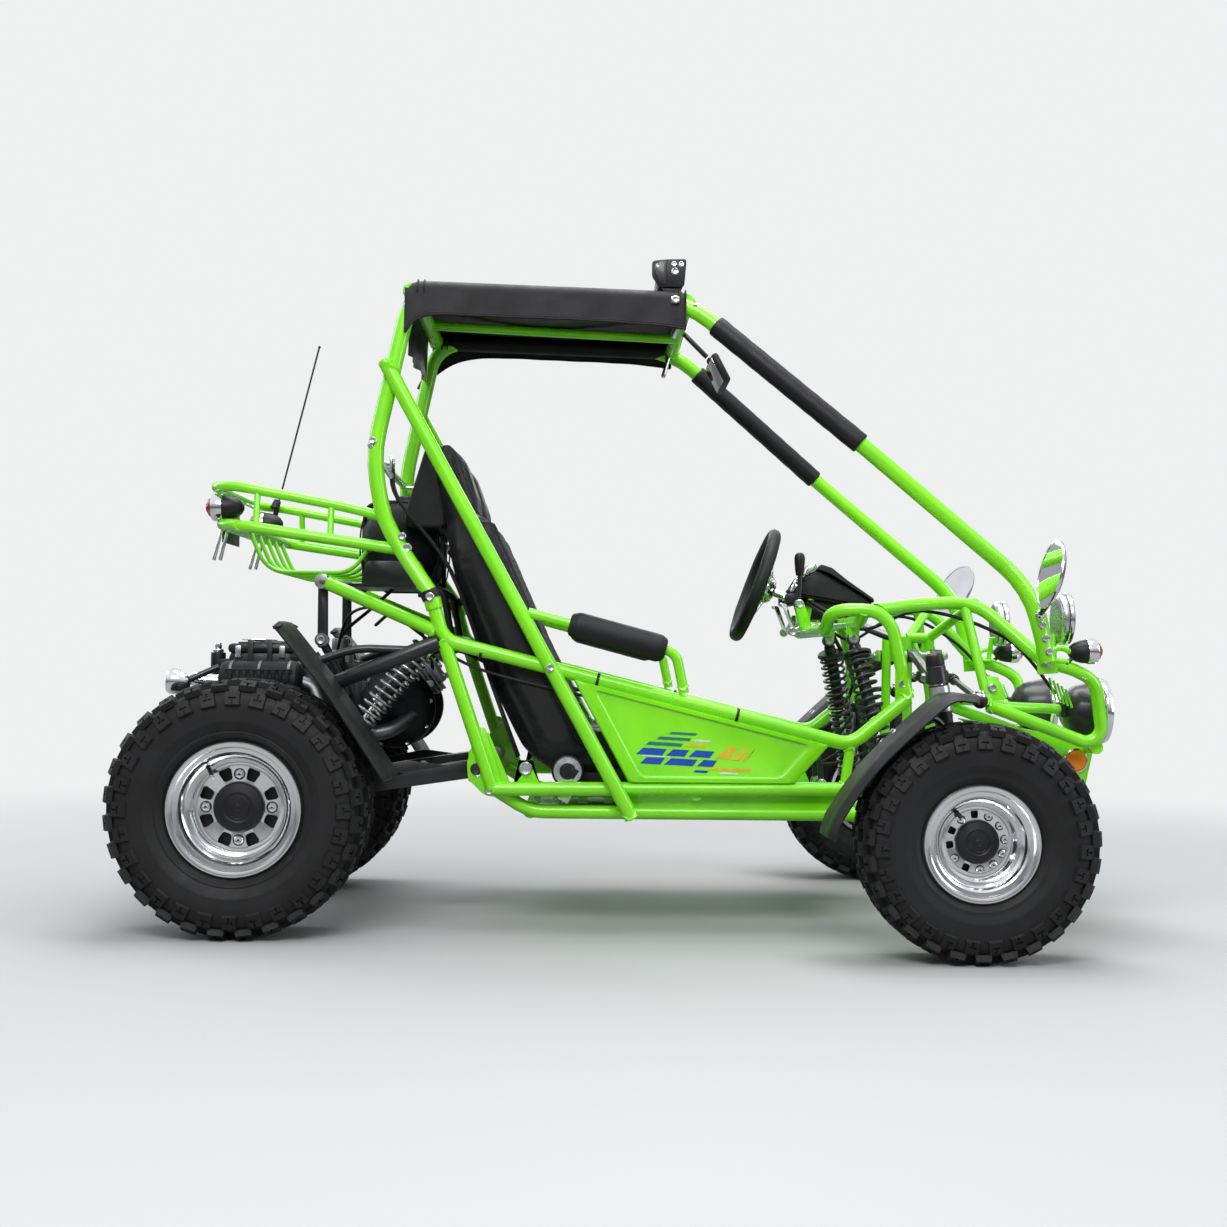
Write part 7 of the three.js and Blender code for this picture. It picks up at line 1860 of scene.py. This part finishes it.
# %% Upper lamps and rear work lamp
for side, word in SIDES:
    centre = at(1016, side * 282, 684)
    ring = turned([(50, 6), (56, 6), (57.5, 8), (57.5, 14), (55, 16.5), (50, 15), (46, 12), (50, 6)], centre,
                  (1, 0, 0), chrome, 56)
    gap = turned([(48, 3), (54, 3), (54, 6), (48, 6), (48, 3)], centre, (1, 0, 0), black_plastic, 48)
    shell = turned([(0, -13), (40, -13), (52, -11), (56, -7), (57, 0), (56.5, 3), (48, 3), (0, -6)], centre,
                   (1, 0, 0), zinc, 56)
    glass = turned([(0, 19), (24, 18), (42, 15), (50, 12), (46, 10), (0, 14)], centre, (1, 0, 0),
                   clear_lens, 48)
    fit([ring, gap, shell], "upper_lamp_" + word, "lamp_chrome", angle=40)
    fit([glass], "upper_lamp_glass_" + word, "lamp_chrome", angle=40)
    stay = [bar(at(1000, side * 282, 650), at(996, side * 300, 590), 12, lime_paint, 16),
            block(at(996, side * 304, 592), (30, 40, 6), lime_paint, 2)]
    fit(stay, "upper_lamp_stay_" + word, "green_paint")
    rear = at(-925, side * 250, 527)
    lamp = [turned([(0, -34), (16, -30), (26, -14), (28, 0), (28, 10), (24, 16), (0, 22)], rear,
                   (-1, 0, 0.1), chrome, 32)]
    fit(lamp, "tail_lamp_" + word, "lamp_chrome", angle=40)
    cap = [bar(rear + Vector((0.02, 0, 0)), at(-835, side * 230, 560), 14, black_paint, 16)]
    fit(cap, "tail_lamp_arm_" + word, "black_metal")

# %% [markdown]
# ## Mirrors
# Round chrome mirrors stand on short stalks with a ball joint, and a wide one hangs inside from the roof.

# %% Door mirrors
for side, word in SIDES:
    body = "mirror_" + word
    foot = at(940, side * 392.8, 690.2)
    face = at(948, side * 462, 772)
    out = Vector((-1, -0.05, 0.2) if side < 0 else (-1, -0.4, 0.5)).normalized()
    shell = turned([(0, 9), (40, 8), (64, 4), (72, -1), (74, -5), (73, -8), (69, -8), (69, -5), (0, -5)],
                   face, -out, chrome, 56)
    glass = turned([(0, 5.4), (69, 5.4), (69, 7), (0, 7)], face, out, mirror_glass, 56)
    stalk = tube([foot, at(940, side * 420, 700), at(948, side * 452, 722), face - out * 0.006], 12,
                 black_paint, 26, 16)
    parts = [shell, ball(foot, 23, chrome),
             turned([(6, -4), (10, -2), (10, 6), (6, 8), (6, -4)], face - out * 0.004, -out, chrome, 24)]
    fit(parts, "door_mirror_" + word, "lamp_chrome", "mirror_" + word, body=body, angle=40)
    fit([glass], "door_mirror_glass_" + word, "lamp_chrome", body=body, angle=40)
    fit([stalk], "door_mirror_stalk_" + word, "black_metal", body=body)

# %% Inside mirror
pivot = at(262, 0, 1292.5)
lean = math.radians(-28)
middle = at(279, 0, 1262)
case = block(middle, (18, 190, 74), black_plastic, 7, (0, lean, 0))
glass = block(middle - Vector((math.cos(lean), 0, -math.sin(lean))) * mm(9.2), (2, 176, 60), mirror_glass,
              0.8, (0, lean, 0))
arm = bar(pivot, middle, 10, black_paint, 16)
fit([case, arm, ball(pivot, 20, black_plastic)], "inside_mirror_case", "black_plastic", "inside_mirror",
    body="inside_mirror")
fit([glass], "inside_mirror_glass", "lamp_chrome", body="inside_mirror")

# %% [markdown]
# ## Steering wheel
# A thick soft grip on a steel ring, three flat alloy spokes with long cut-outs, and a dished hub with a
# padded cap. It is turned round its own leaning axis, so it still turns true when the kart is steered.

# %% Steering wheel
hub = at(388, 170, 771)
over = Vector((0, 1, 0))
up = over.cross(SHAFT).normalized() * -1
rim_centre = hub
clear()
bpy.ops.mesh.primitive_torus_add(major_segments=96, minor_segments=20, major_radius=mm(130),
                                 minor_radius=mm(15.5), location=rim_centre, rotation=facing(SHAFT))
grip = settle(grip_rubber)
for point in grip.data.vertices:
    local = point.co - rim_centre
    angle = math.atan2(local.dot(over), local.dot(up))
    ring = (local - SHAFT * local.dot(SHAFT)).normalized() * mm(130)
    swell = 1 + 0.045 * math.cos(angle * 3) ** 6
    bumps = 0.992 if math.sin(angle * 48) > 0.6 and local.length > mm(136) else 1
    point.co = rim_centre + ring + (local - ring) * swell * bumps
fit([grip], "wheel_grip", "black_rubber", "steering_wheel", body="steering_wheel", angle=60)
parts = []
for degrees in (90, 210, 330):
    a = math.radians(degrees)
    out = up * -math.sin(a) + over * math.cos(a)
    side_way = out.cross(SHAFT)
    shape = [(30, -19), (70, -15), (126, -21), (126, 21), (70, 15), (30, 19)]
    hole = [(52, -5), (74, -6), (104, -9), (108, 0), (104, 9), (74, 6), (52, 5)]
    lift = hub + SHAFT * mm(4)
    spoke = plate([lift + out * mm(u) + side_way * mm(v) + SHAFT * mm(34 - u * 0.26) for u, v in shape],
                  SHAFT, 4, alloy, 1)
    tool = plate([lift + out * mm(u) + side_way * mm(v) + SHAFT * mm(14 - u * 0.2) for u, v in hole], SHAFT,
                 40, alloy)
    parts.append(cut(spoke, [tool]))
parts.append(turned([(11, 16), (37, 16), (39, 20), (39, 30), (36, 34), (26, 46), (14, 50), (11, 50),
                     (11, 16)], hub, SHAFT, alloy, 48))
parts.append(bar(shaft_point(40), shaft_point(410), 20, zinc, 24, 1.5))
fit(parts, "wheel_spokes", "polished_alloy", body="steering_wheel")
parts = [turned([(0, 8), (18, 9), (27, 12), (31, 17), (0, 18)], hub, SHAFT, black_plastic, 40),
         turned([(10.2, 160), (14, 162), (14, 172), (10.2, 174), (10.2, 160)], hub, SHAFT, black_plastic,
                28)]
for k in range(6):
    a = math.tau * k / 6
    spot = hub + SHAFT * mm(17) + (up * math.cos(a) + over * math.sin(a)) * mm(34)
    parts.append(bolt(spot, -SHAFT, 5))
fit(parts, "wheel_hub", "black_plastic", body="steering_wheel")

# %% [markdown]
# ## Dash pod
# A moulded pod with round gauges under a chrome bezel, a switch block by the wheel, and a pressed bracket.

# %% Pod
side_shape = [(474, 742), (489.6, 784), (512, 802), (536, 812), (562, 803), (587.2, 782.6), (630, 754),
              (664, 730), (664, 712)]
flat = [at(x, 94, z) for x, z in rounded(side_shape, 8, 3)]
pod = plate(flat, (0, 1, 0), 152, black_plastic, 9)
visor = plate([at(x, 88, z) for x, z in rounded([(526, 806), (540, 820), (566, 812), (604, 782), (668, 738),
                                                 (668, 728), (600, 768), (560, 796)], 4, 3)],
              (0, 1, 0), 164, guard_plastic, 3)
bezel = plate([at(x, 90, z) for x,
               z in rounded([(500, 792), (508, 812), (526, 824), (534, 812), (520, 800)], 4, 3)], (0, 1, 0),
              160, chrome, 2)
lower = block(at(552, 170, 716), (104, 118, 58), black_plastic, 12)
fit([pod, visor, lower], "dash_pod_shell", "black_plastic", "dash_pod")
fit([bezel], "dash_bezel", "lamp_chrome")
gauges, faces = [], []
tilt = Vector((-0.86, 0, 0.5)).normalized()
for y, r in ((132, 28), (206, 28)):
    spot = at(484, y, 764)
    gauges.append(turned([(r - 3, 0), (r, 0), (r + 2, 3), (r + 1, 7), (r - 3, 5), (r - 3, 0)], spot, tilt,
                         chrome, 40))
    faces.append(turned([(0, 2), (r - 3, 2), (r - 3, 3), (0, 3)], spot, tilt, black_plastic, 40))
    for k in range(9):
        a = math.radians(-130 + 32 * k)
        out = Vector((0.5, 0, 0.86)) * math.cos(a) + Vector((0, 1, 0)) * math.sin(a)
        gauges.append(bar(spot + tilt * 0.0032 + out * mm(r * 0.62),
                          spot + tilt * 0.0032 + out * mm(r * 0.84), 1.4, pale_film, 6))
    gauges.append(bar(spot + tilt * 0.004, spot + tilt * 0.004 + Vector((0, -0.012, 0.012)), 1.6, red_lens,
                      6))
fit(gauges, "gauge_rings", "lamp_chrome", angle=40)
fit(faces, "gauge_faces", "black_plastic", angle=40)
parts = [block(at(474, 118, 735), (34, 46, 30), black_plastic, 5), block(at(470, 222, 735), (34, 40, 28),
                                                                        black_plastic, 5)]
for y, z in ((106, 752), (124, 752), (214, 750), (230, 750)):
    parts.append(bar(at(466, y, z - 4), at(462, y, z + 6), 9, black_plastic, 14, 1))
parts.append(bar(at(456, 118, 738), at(450, 118, 739), 16, zinc, 20, 1))
fit(parts, "switch_block", "black_plastic")

# %% Pressed brackets, lever and pedals
parts = []
for side in (-1, 1):
    y = 170 + side * 84
    arm = [(438, 716), (447, 714), (466, 664), (480, 652), (556, 664), (569, 666), (566, 678), (552, 680),
           (486, 668), (476, 664), (456, 722), (440, 726)]
    parts.append(plate([at(x, y, z) for x, z in rounded(arm, 3, 2)], (0, side, 0), 4, alloy, 0.8))
    web = [(474, 664), (490, 700), (500, 700), (502, 672), (552, 682), (545, 668), (486, 654)]
    parts.append(plate([at(x, y - side * 3, z) for x, z in web], (0, side, 0), 3, alloy, 0.6))
    parts.append(bolt(at(470, y + side * 4, 656), (0, side, 0), 10))
    parts.append(bolt(at(560, y + side * 4, 672), (0, side, 0), 8))
fit(parts, "pod_brackets", "bright_steel")
lever = at(482, 62, 722)
parts = [turned([(6, -11), (12, -11), (12, 11), (6, 11), (6, -11)], lever, (0, 1, 0), black_paint, 24),
         tube([lever + Vector((0, 0, 0.01)), at(486, 62, 770), at(484, 62, 824)], 12, black_paint, 20, 16)]
fit(parts, "lever_arm", "black_metal", body="dash_lever")
knob = turned([(0, -34), (9, -33), (11, -20), (12.5, 0), (13, 8), (11, 17), (6, 21.5), (0, 22.4)],
              at(484, 62, 823.6), (0, 0, 1), black_plastic, 32)
fit([knob], "lever_knob", "black_plastic", "dash_lever", body="dash_lever", angle=40)
for name, y in (("brake_pedal", 196), ("throttle_pedal", 104)):
    pivot = at(545, y, 292)
    way = Vector((-math.sin(math.radians(12)), 0, math.cos(math.radians(12))))
    face = Vector((-way.z, 0, way.x))
    pad = pivot + way * mm(128 - 35)
    arm = [turned([(5.4, -12), (12, -12), (12, 12), (5.4, 12), (5.4, -12)], pivot, (0, 1, 0), black_paint,
                  24), tube([pivot, pivot + way * mm(50) - face * mm(8), pad], 14, black_paint, 18, 16)]
    fit(arm, name + "_arm", "black_metal", body=name)
    plate_piece = block(pad + face * mm(4), (8, 62, 70), cast_grey, 2.5, (0, -math.radians(12), 0))
    ribs = [plate_piece]
    for k in range(-3, 4):
        ribs.append(block(pad + face * mm(9) + way * mm(9 * k), (3, 54, 4.5), hose_rubber, 1,
                          (0, -math.radians(12), 0)))
    fit(ribs, name + "_pad", "black_rubber", name, body=name)

# %% [markdown]
# ## Engine
# A small air-cooled engine leans forward in its bay: crankcase, finned barrel and head, side covers with
# their ring of screws, starter, carburettor, air box and silencer. It is built from castings that are each a
# simple block or turned shape, since fins, screws and hoses are what make an engine read as one.

# %% Crankcase and covers
parts = [block(at(-520, 0, 470), (226, 186, 146), cast_black, 14),
         block(at(-560, -60, 556), (120, 70, 34), cast_black, 8),
         block(at(-590, 40, 552), (90, 100, 30), cast_black, 8)]
for side in (-1, 1):
    cover = [(0, 27), (40, 27), (60, 24), (78, 18), (88, 8), (92, 0), (92, -24), (0, -24)]
    centre = at(-460, side * 119, 470)
    parts.append(turned(cover, centre, (0, side, 0), cast_black, 56))
    parts.append(turned([(0, 31), (14, 31), (18, 29), (30, 28.5), (34, 26), (0, 24)], centre, (0, side, 0),
                        cast_black, 40))
    for k in range(9):
        a = math.tau * k / 9 + 0.2
        spot = centre + Vector((mm(83 * math.cos(a)), side * mm(8), mm(83 * math.sin(a))))
        parts.append(bolt(spot, (0, side, 0), 6))
back = at(-640, -119, 493)
parts.append(turned([(0, 24), (40, 23), (60, 14), (69, 4), (69, -24), (0, -24)], back, (0, -1, 0),
                    cast_black, 48))
parts.append(block(at(-560, -112, 486), (150, 46, 96), cast_black, 10))
for k in range(6):
    parts.append(block(at(-600 + 16 * k, -137, 486), (5, 6, 84), cast_black, 1.5))
for k in range(5):
    parts.append(bolt(back + Vector((mm(60 * math.cos(k * 1.26)), -0.012, mm(60 * math.sin(k * 1.26)))),
                      (0, -1, 0), 6))
parts.append(bar(at(-585, -128, 566), at(-585, -128, 592), 26, black_plastic, 20, 3))
parts.append(bar(at(-520, 75, 470), at(-520, 75, 474), 20, zinc))
fit(parts, "crankcase", "engine_metal", "engine")

# %% Finned barrel and head
lean = math.atan2(97.5, 136.5)
way = Vector((math.cos(lean), 0, math.sin(lean)))
start = at(-520, 0, 470)
parts = [bar(start + way * 0.04, start + way * 0.168, 92, cast_grey, 40)]
for k in range(9):
    size = 118 if k < 6 else 126
    parts.append(block(start + way * mm(80 + 9.5 * k), (3.2, size, size - 6), cast_grey, 1, (0, -lean, 0)))
parts.append(block(start + way * 0.166, (18, 92, 88), cast_grey, 7, (0, -lean, 0)))
for y in (-38, 38):
    for z in (-36, 36):
        spot = start + way * 0.175 + Vector((-math.sin(lean) * mm(z), mm(y), math.cos(lean) * mm(z)))
        parts.append(bolt(spot, way, 8))
parts.append(bar(at(-400, -56, 520), at(-380, -84, 526), 16, pale_film, 16, 2))
fit(parts, "barrel", "engine_metal")

# %% Carburettor, air box and intake
parts = [block(at(-770, 0, 558), (148, 196, 74), black_plastic, 14),
         block(at(-770, 0, 602), (150, 200, 22), black_plastic, 9),
         block(at(-770, 0, 614), (112, 150, 6), black_plastic, 2.5)]
for x in (-820, -720):
    for side in (-1, 1):
        parts.append(block(at(x, side * 100, 594), (14, 6, 28), zinc, 2))
parts.append(tube([at(-697, 0, 566), at(-660, 0, 560), at(-630, 0, 566)], 58, hose_rubber, 12, 28))
for k in range(5):
    x = -690 + 9 * k
    parts.append(turned([(28, -2), (31, -1), (31, 1), (28, 2), (28, -2)], at(x, 0, 565.5), (1, 0, 0.02),
                        hose_rubber, 28))
fit(parts, "air_box", "black_plastic")
parts = [block(at(-602, 0, 570), (58, 58, 64), cast_grey, 9),
         bar(at(-602, 0, 596), at(-602, 0, 628), 40, cast_grey, 32, 4),
         bar(at(-602, -30, 560), at(-602, -46, 560), 30, cast_grey, 28, 3),
         bar(at(-575, 0, 562), at(-522, 0, 540), 34, cast_grey, 28),
         turned([(30, -4), (33, -4), (33, 4), (30, 4), (30, -4)], at(-640, 0, 565), (1, 0, 0), zinc, 32)]
for side in (-1, 1):
    parts.append(bolt(at(-602, side * 22, 603), (0, 0, 1), 5))
fit(parts, "carburettor", "engine_metal")
strap = []
for x in (-792, -748):
    strap.append(block(at(x, 0, 619), (12, 206, 2), black_paint, 0.6))
    for side in (-1, 1):
        strap.append(block(at(x, side * 102, 580), (12, 2, 78), black_paint, 0.6))
for start, end, size, finish in ((536, 592, 34, cast_black), (592, 600, 24, chrome), (600, 614, 15, chrome)):
    strap.append(bar(at(-878, -40, start), at(-878, -40, end), size, finish, 24, 2))
strap.append(block(at(-856, -40, 560), (50, 44, 36), cast_black, 6))
strap.append(block(at(-790, 0, 622), (54, 150, 3), chrome, 1))
fit(strap, "air_box_straps", "bright_steel")

# %% Exhaust
parts = [tube([at(-392, -46, 528), at(-392, -110, 470), at(-470, -178, 414), at(-600, -178, 420),
               at(-640, -150, 516), at(-668, -150, 525)], 34, dark_steel, 34, 24),
         turned([(0, 0), (30, 2), (44, 8), (48, 14), (48, 176), (44, 184), (24, 190), (0, 190)],
                at(-660, -150, 525), (-1, 0, 0), cast_black, 40),
         tube([at(-848, -150, 525), at(-880, -150, 527), at(-910, -150, 533.5)], 34, chrome, 14, 28)]
for k in (30, 96, 160):
    parts.append(turned([(48, -4), (50, -3), (50, 3), (48, 4), (48, -4)], at(-660 - k, -150, 525),
                        (-1, 0, 0), dark_steel, 40))
for k in range(9):
    parts.append(block(at(-690 - 16 * k, -201, 530), (9, 3, 44), cast_black, 1.2))
parts.append(block(at(-754, -199.5, 553), (150, 3, 6), cast_black, 1))
parts.append(block(at(-754, -199.5, 507), (150, 3, 6), cast_black, 1))
fit(parts, "exhaust", "engine_metal")

# %% Mounts and hangers
parts = [bar(at(-518, 0, 540), at(-346, 0, 623), 30, black_paint, 24)]
for side in (-1, 1):
    spot = at(-615, side * 190, 622)
    parts.append(turned([(11, -13), (15, -13), (15, 13), (11, 13), (11, -13)], spot, (0, 1, 0), chrome, 32))
    parts.append(turned([(5, -15), (11, -14), (11, 14), (5, 15), (5, -15)], spot, (0, 1, 0), hose_rubber,
                        28))
    parts.append(plate([at(x, side * 184, z) for x, z in rounded([(-626, 604), (-602, 604), (-604, 744),
                                                                  (-626, 748)], 8, 4)], (0, side, 0), 5,
                       black_paint, 1))
    parts.append(bar(spot, at(-560, side * 150, 500), 20, black_paint, 20))
    parts.append(bolt(spot + Vector((0, side * mm(15), 0)), (0, side, 0), 10))
fit(parts, "engine_hangers", "black_metal")

# %% [markdown]
# ## Fuel tank and straps
# A tank in a vinyl cover sits behind the seats on a small tray, held by two webbing straps with steel
# buckles. A block with a wide bevel gives its soft corners, and moving its points gives the slack of the
# cover.

# %% Tank
bag = block(at(-450, 0, 840), (168, 400, 190), seat_vinyl, 62)
for point in bag.data.vertices:
    away = point.co - at(-450, 0, 840)
    point.co += away.normalized() * mm(2.5 * math.sin(away.y * 70) * math.sin(away.z * 50 + 1))
seams = []
for y in (-150, 0, 150):
    ring = [(-512, 760), (-536, 800), (-536, 880), (-512, 922), (-450, 937), (-388, 922), (-364, 880),
            (-364, 800), (-388, 760), (-512, 760)]
    seams.append(hose(bent([at(x, y, z) for x, z in ring], 5), 4, seat_vinyl, 6))
fit([bag] + seams, "fuel_bag", "seat_vinyl", angle=60)
parts = [block(at(-478, 0, 748), (230, 380, 4), black_paint, 1.5)]
for side in (-1, 1):
    parts.append(bar(at(-611, side * 130, 752), at(-560, side * 130, 748), 16, black_paint, 16))
    parts.append(tube([at(-372, side * 130, 746), at(-350, side * 130, 730), at(-331, side * 130, 630)], 16,
                      black_paint, 20, 16))
    parts.append(plate([at(x, side * 196, z) for x, z in rounded([(-530, 742), (-380, 742), (-392, 800),
                                                                  (-520, 800)], 14, 4)], (0, side, 0), 3,
                       black_paint, 0.8))
fit(parts, "tank_tray", "black_metal")
straps, buckles = [], []
for y in (-118, 118):
    loop = [(-532, 752), (-533, 800), (-533, 880), (-528, 920), (-505, 935), (-452, 938), (-398, 935),
            (-375, 920), (-370, 880), (-371, 800), (-372, 752)]
    for k in range(-14, 15, 7):
        straps.append(hose(bent([at(x, y + k, z) for x, z in loop], 4), 7.6, seat_vinyl, 8))
    buckles.append(block(at(-368, y, 852), (6, 42, 30), chrome, 2))
    buckles.append(block(at(-364, y, 852), (5, 22, 14), zinc, 1.5))
fit(straps, "tank_straps", "black_rubber", angle=60)
cap = turned([(0, 34), (16, 33), (24, 28), (27, 20), (27, 6), (30, 4), (30, -6), (0, -6)], at(-452, 0, 930),
             (0, 0, 1), black_plastic, 40)
fit([cap], "tank_cap", "black_plastic", angle=40)
fit(buckles, "strap_buckles", "bright_steel")

# %% [markdown]
# ## Belts, cables and hoses
# Webbing belts run from their reels behind each seat. Control cables, brake hoses and the wiring loom
# follow the tubes and are held by cable ties. All of them are fixed at both ends, so they are part of the
# kart's body.

# %% Belts
for side, word in SIDES:
    spot = at(-62, side * 323, 344)
    reel = [turned([(0, 11), (26, 11), (33, 8), (35, 3), (35, 0), (0, 0)], spot, (0, side, 0),
                   black_plastic, 40), turned([(18, 11), (30, 9.6), (30, 10.6), (18, 12), (18, 11)], spot,
                                              (0, side, 0), zinc, 40),
            block(spot + Vector((0.012, side * 0.0118, -0.004)), (16, 1.2, 22), black_plastic, 0.5,
                  (0, 0.6, 0)), block(at(-66, side * 326, 292), (26, 5, 30), zinc, 2, (0, 0.5, 0))]
    fit(reel, "belt_reel_" + word, "black_plastic")
    web = []
    for k in range(-20, 21, 8):
        y = side * 286 + k
        web.append(hose(bent([at(-170, y, 372), at(-196, y, 440), at(-228, y, 526), at(-323, y * 0.98, 776),
                              at(-440, y * 0.94, 930), at(-455, y * 0.93, 1000)], 6), 8.4, seat_vinyl, 6))
    fit(web, "belt_web_" + word, "seat_vinyl", angle=60)
    anchor = [bar(at(-486, side * 266, 1010), at(-450, side * 266, 1010), 10, zinc, 14),
              block(at(-455, side * 266, 1008), (6, 54, 34), zinc, 2)]
    fit(anchor, "belt_guide_" + word, "bright_steel")
    buckle = [block(at(-40, side * 60, 452), (26, 18, 64), black_plastic, 5, (0, -0.25, 0)),
              block(at(-46, side * 60, 478), (16, 14, 12), red_lens, 3, (0, -0.25, 0)),
              bar(at(-36, side * 60, 425), at(-30, side * 60, 350), 9, zinc, 14)]
    fit(buckle, "belt_buckle_" + word, "black_plastic")

# %% Cables and hoses on the frame
runs = [([(-600, -60, 600), (-560, -150, 680), (-470, -260, 690), (-360, -322, 620), (-250, -324, 560),
          (0, -324, 500), (300, -324, 440), (520, -322, 405), (575, -200, 470), (545, -104, 400)], 7),
        ([(-460, 140, 520), (-420, 260, 600), (-340, 322, 600), (-200, 324, 545), (200, 324, 455),
          (540, 322, 402), (640, 240, 520), (590, 190, 640), (540, 190, 720)], 10),
        ([(545, 196, 330), (600, 210, 360), (690, 240, 430), (760, 320, 470), (740, 430, 470)], 7),
        ([(545, 196, 330), (600, 60, 350), (690, -220, 430), (760, -320, 470), (740, -430, 470)], 7),
        ([(-380, -46, 560), (-400, -120, 640), (-460, -90, 690), (-520, 0, 660)], 8),
        ([(-470, 40, 760), (-540, 70, 700), (-600, 30, 640), (-602, 10, 600)], 9),
        ([(500, 120, 740), (560, 60, 700), (640, 0, 660), (700, 0, 640), (758, 0, 642)], 12),
        ([(500, 220, 740), (560, 260, 690), (640, 262, 640), (760, 262, 700), (900, 270, 640),
          (1010, 262, 520)], 8),
        ([(500, 118, 730), (600, -120, 660), (720, -240, 700), (900, -270, 640), (1010, -262, 520)], 8)]
cables = [hose(bent([at(*p) for p in run], 8), size, hose_rubber) for run, size in runs]
ties = []
for x, y, z, size in ((-250, -335, 596, 34), (0, -338, 540, 34), (300, -338, 467, 34), (-200, 335, 585, 34),
                      (200, 338, 492, 34)):
    way = Vector((1, 0, -0.25))
    r = size / 2
    ties.append(turned([(r - 2, -3), (r, -3), (r, 3), (r - 2, 3), (r - 2, -3)], at(x, y * 1.02, z), way,
                       black_plastic, 28))
fit(cables, "cables", "black_rubber", angle=60)
fit(ties, "cable_ties", "black_plastic", angle=40)
print(len(runs), "cables and hoses")

# %% Whip antenna, rear hooks and small parts
mast = [tube([at(-805, 250, 935), at(-790, 250, 1000), at(-752, 250, 1150), at(-703, 250, 1356)], 4.6,
             black_plastic, 60, 10), bar(at(-808, 250, 925), at(-798, 250, 972), 13, black_plastic, 18, 2),
        turned([(0, 0), (10, 1), (12, 6), (8, 18), (5, 26), (0, 26)], at(-808, 250, 950), (0.2, 0, 1),
               black_plastic, 24), ball(at(-702, 250, 1359), 7, black_plastic, 8)]
fit(mast, "antenna", "black_rubber")
hooks = []
for side in (-1, 1):
    hooks.append(bar(at(-840, side * 200, 866), at(-857, side * 200, 797), 8, chrome, 16, 1))
    hooks.append(bar(at(-826, side * 200, 868), at(-843, side * 200, 797), 8, chrome, 16, 1))
    hooks.append(bar(at(-498, side * 330, 1046), at(-452, side * 300, 975), 12, zinc, 16, 1))
    hooks.append(bar(at(-611, side * 205, 752), at(-614, side * 220, 752), 34, zinc, 28, 2))
    hooks.append(bar(at(-611, side * 216, 752), at(-611, side * 228, 752), 14, dark_steel, 18, 2))
fit(hooks, "rear_hooks", "bright_steel")

# %% [markdown]
# ## Plates and clamps
# Pressed plates carry the pivot of the swing arm, small feet stand on the sills, and clamps close the
# joints of the cage. Each is an outline with rounded corners, drawn out to its thickness.

# %% Pivot plates, sill brackets and clamps
plates, silver, dark = [], [], []
for side in (-1, 1):
    edge = [(-264, 436), (-268, 392), (-278, 362), (-275, 326), (-240, 292), (-212, 288), (-196, 300),
            (-240, 438)]
    plates.append(plate([at(x, side * 340, z) for x, z in rounded(edge, 9, 3)], (0, side, 0), 5, lime_paint,
                        1))
    foot = [(-182, 306), (-162, 358), (-156, 366), (-148, 366), (-142, 358), (-116, 306)]
    plates.append(plate([at(x, side * 330, z) for x, z in rounded(foot, 5, 3)], (0, side, 0), 5, lime_paint,
                        1))
    for x, y, z, size in ((-256, 345, 420, 10), (-229, 345, 303, 10), (-152, 335, 349, 14),
                          (-414, 328, 821, 10)):
        silver.append(bolt(at(x, side * y, z), (0, side, 0), size))
    dark.append(bolt(at(-258, side * 345, 348), (0, side, 0), 12, black_paint))
    dark.append(turned([(17, -10), (21.5, -10), (22, -8), (22, 8), (21.5, 10), (17, 10), (17, -10)],
                       at(-360, side * 343, 721), (0.42, 0, -1), black_plastic, 32))
    dark.append(block(at(-380, side * 343, 722), (14, 16, 16), black_plastic, 3))
fit(plates, "pivot_plates", "green_paint")
fit(silver, "pivot_bolts", "bright_steel", angle=25)
fit(dark, "frame_clamps", "black_metal")
number = block(at(-862, 0, 905), (3, 180, 120), black_plastic, 1)
arms = [bar(at(-850, y, 952), at(-862, y, 940), 8, black_paint, 12) for y in (-60, 60)]
fit([number] + arms, "rear_plate", "black_plastic")

# %% [markdown]
# ## The end

# %% Finish
print("kart built")
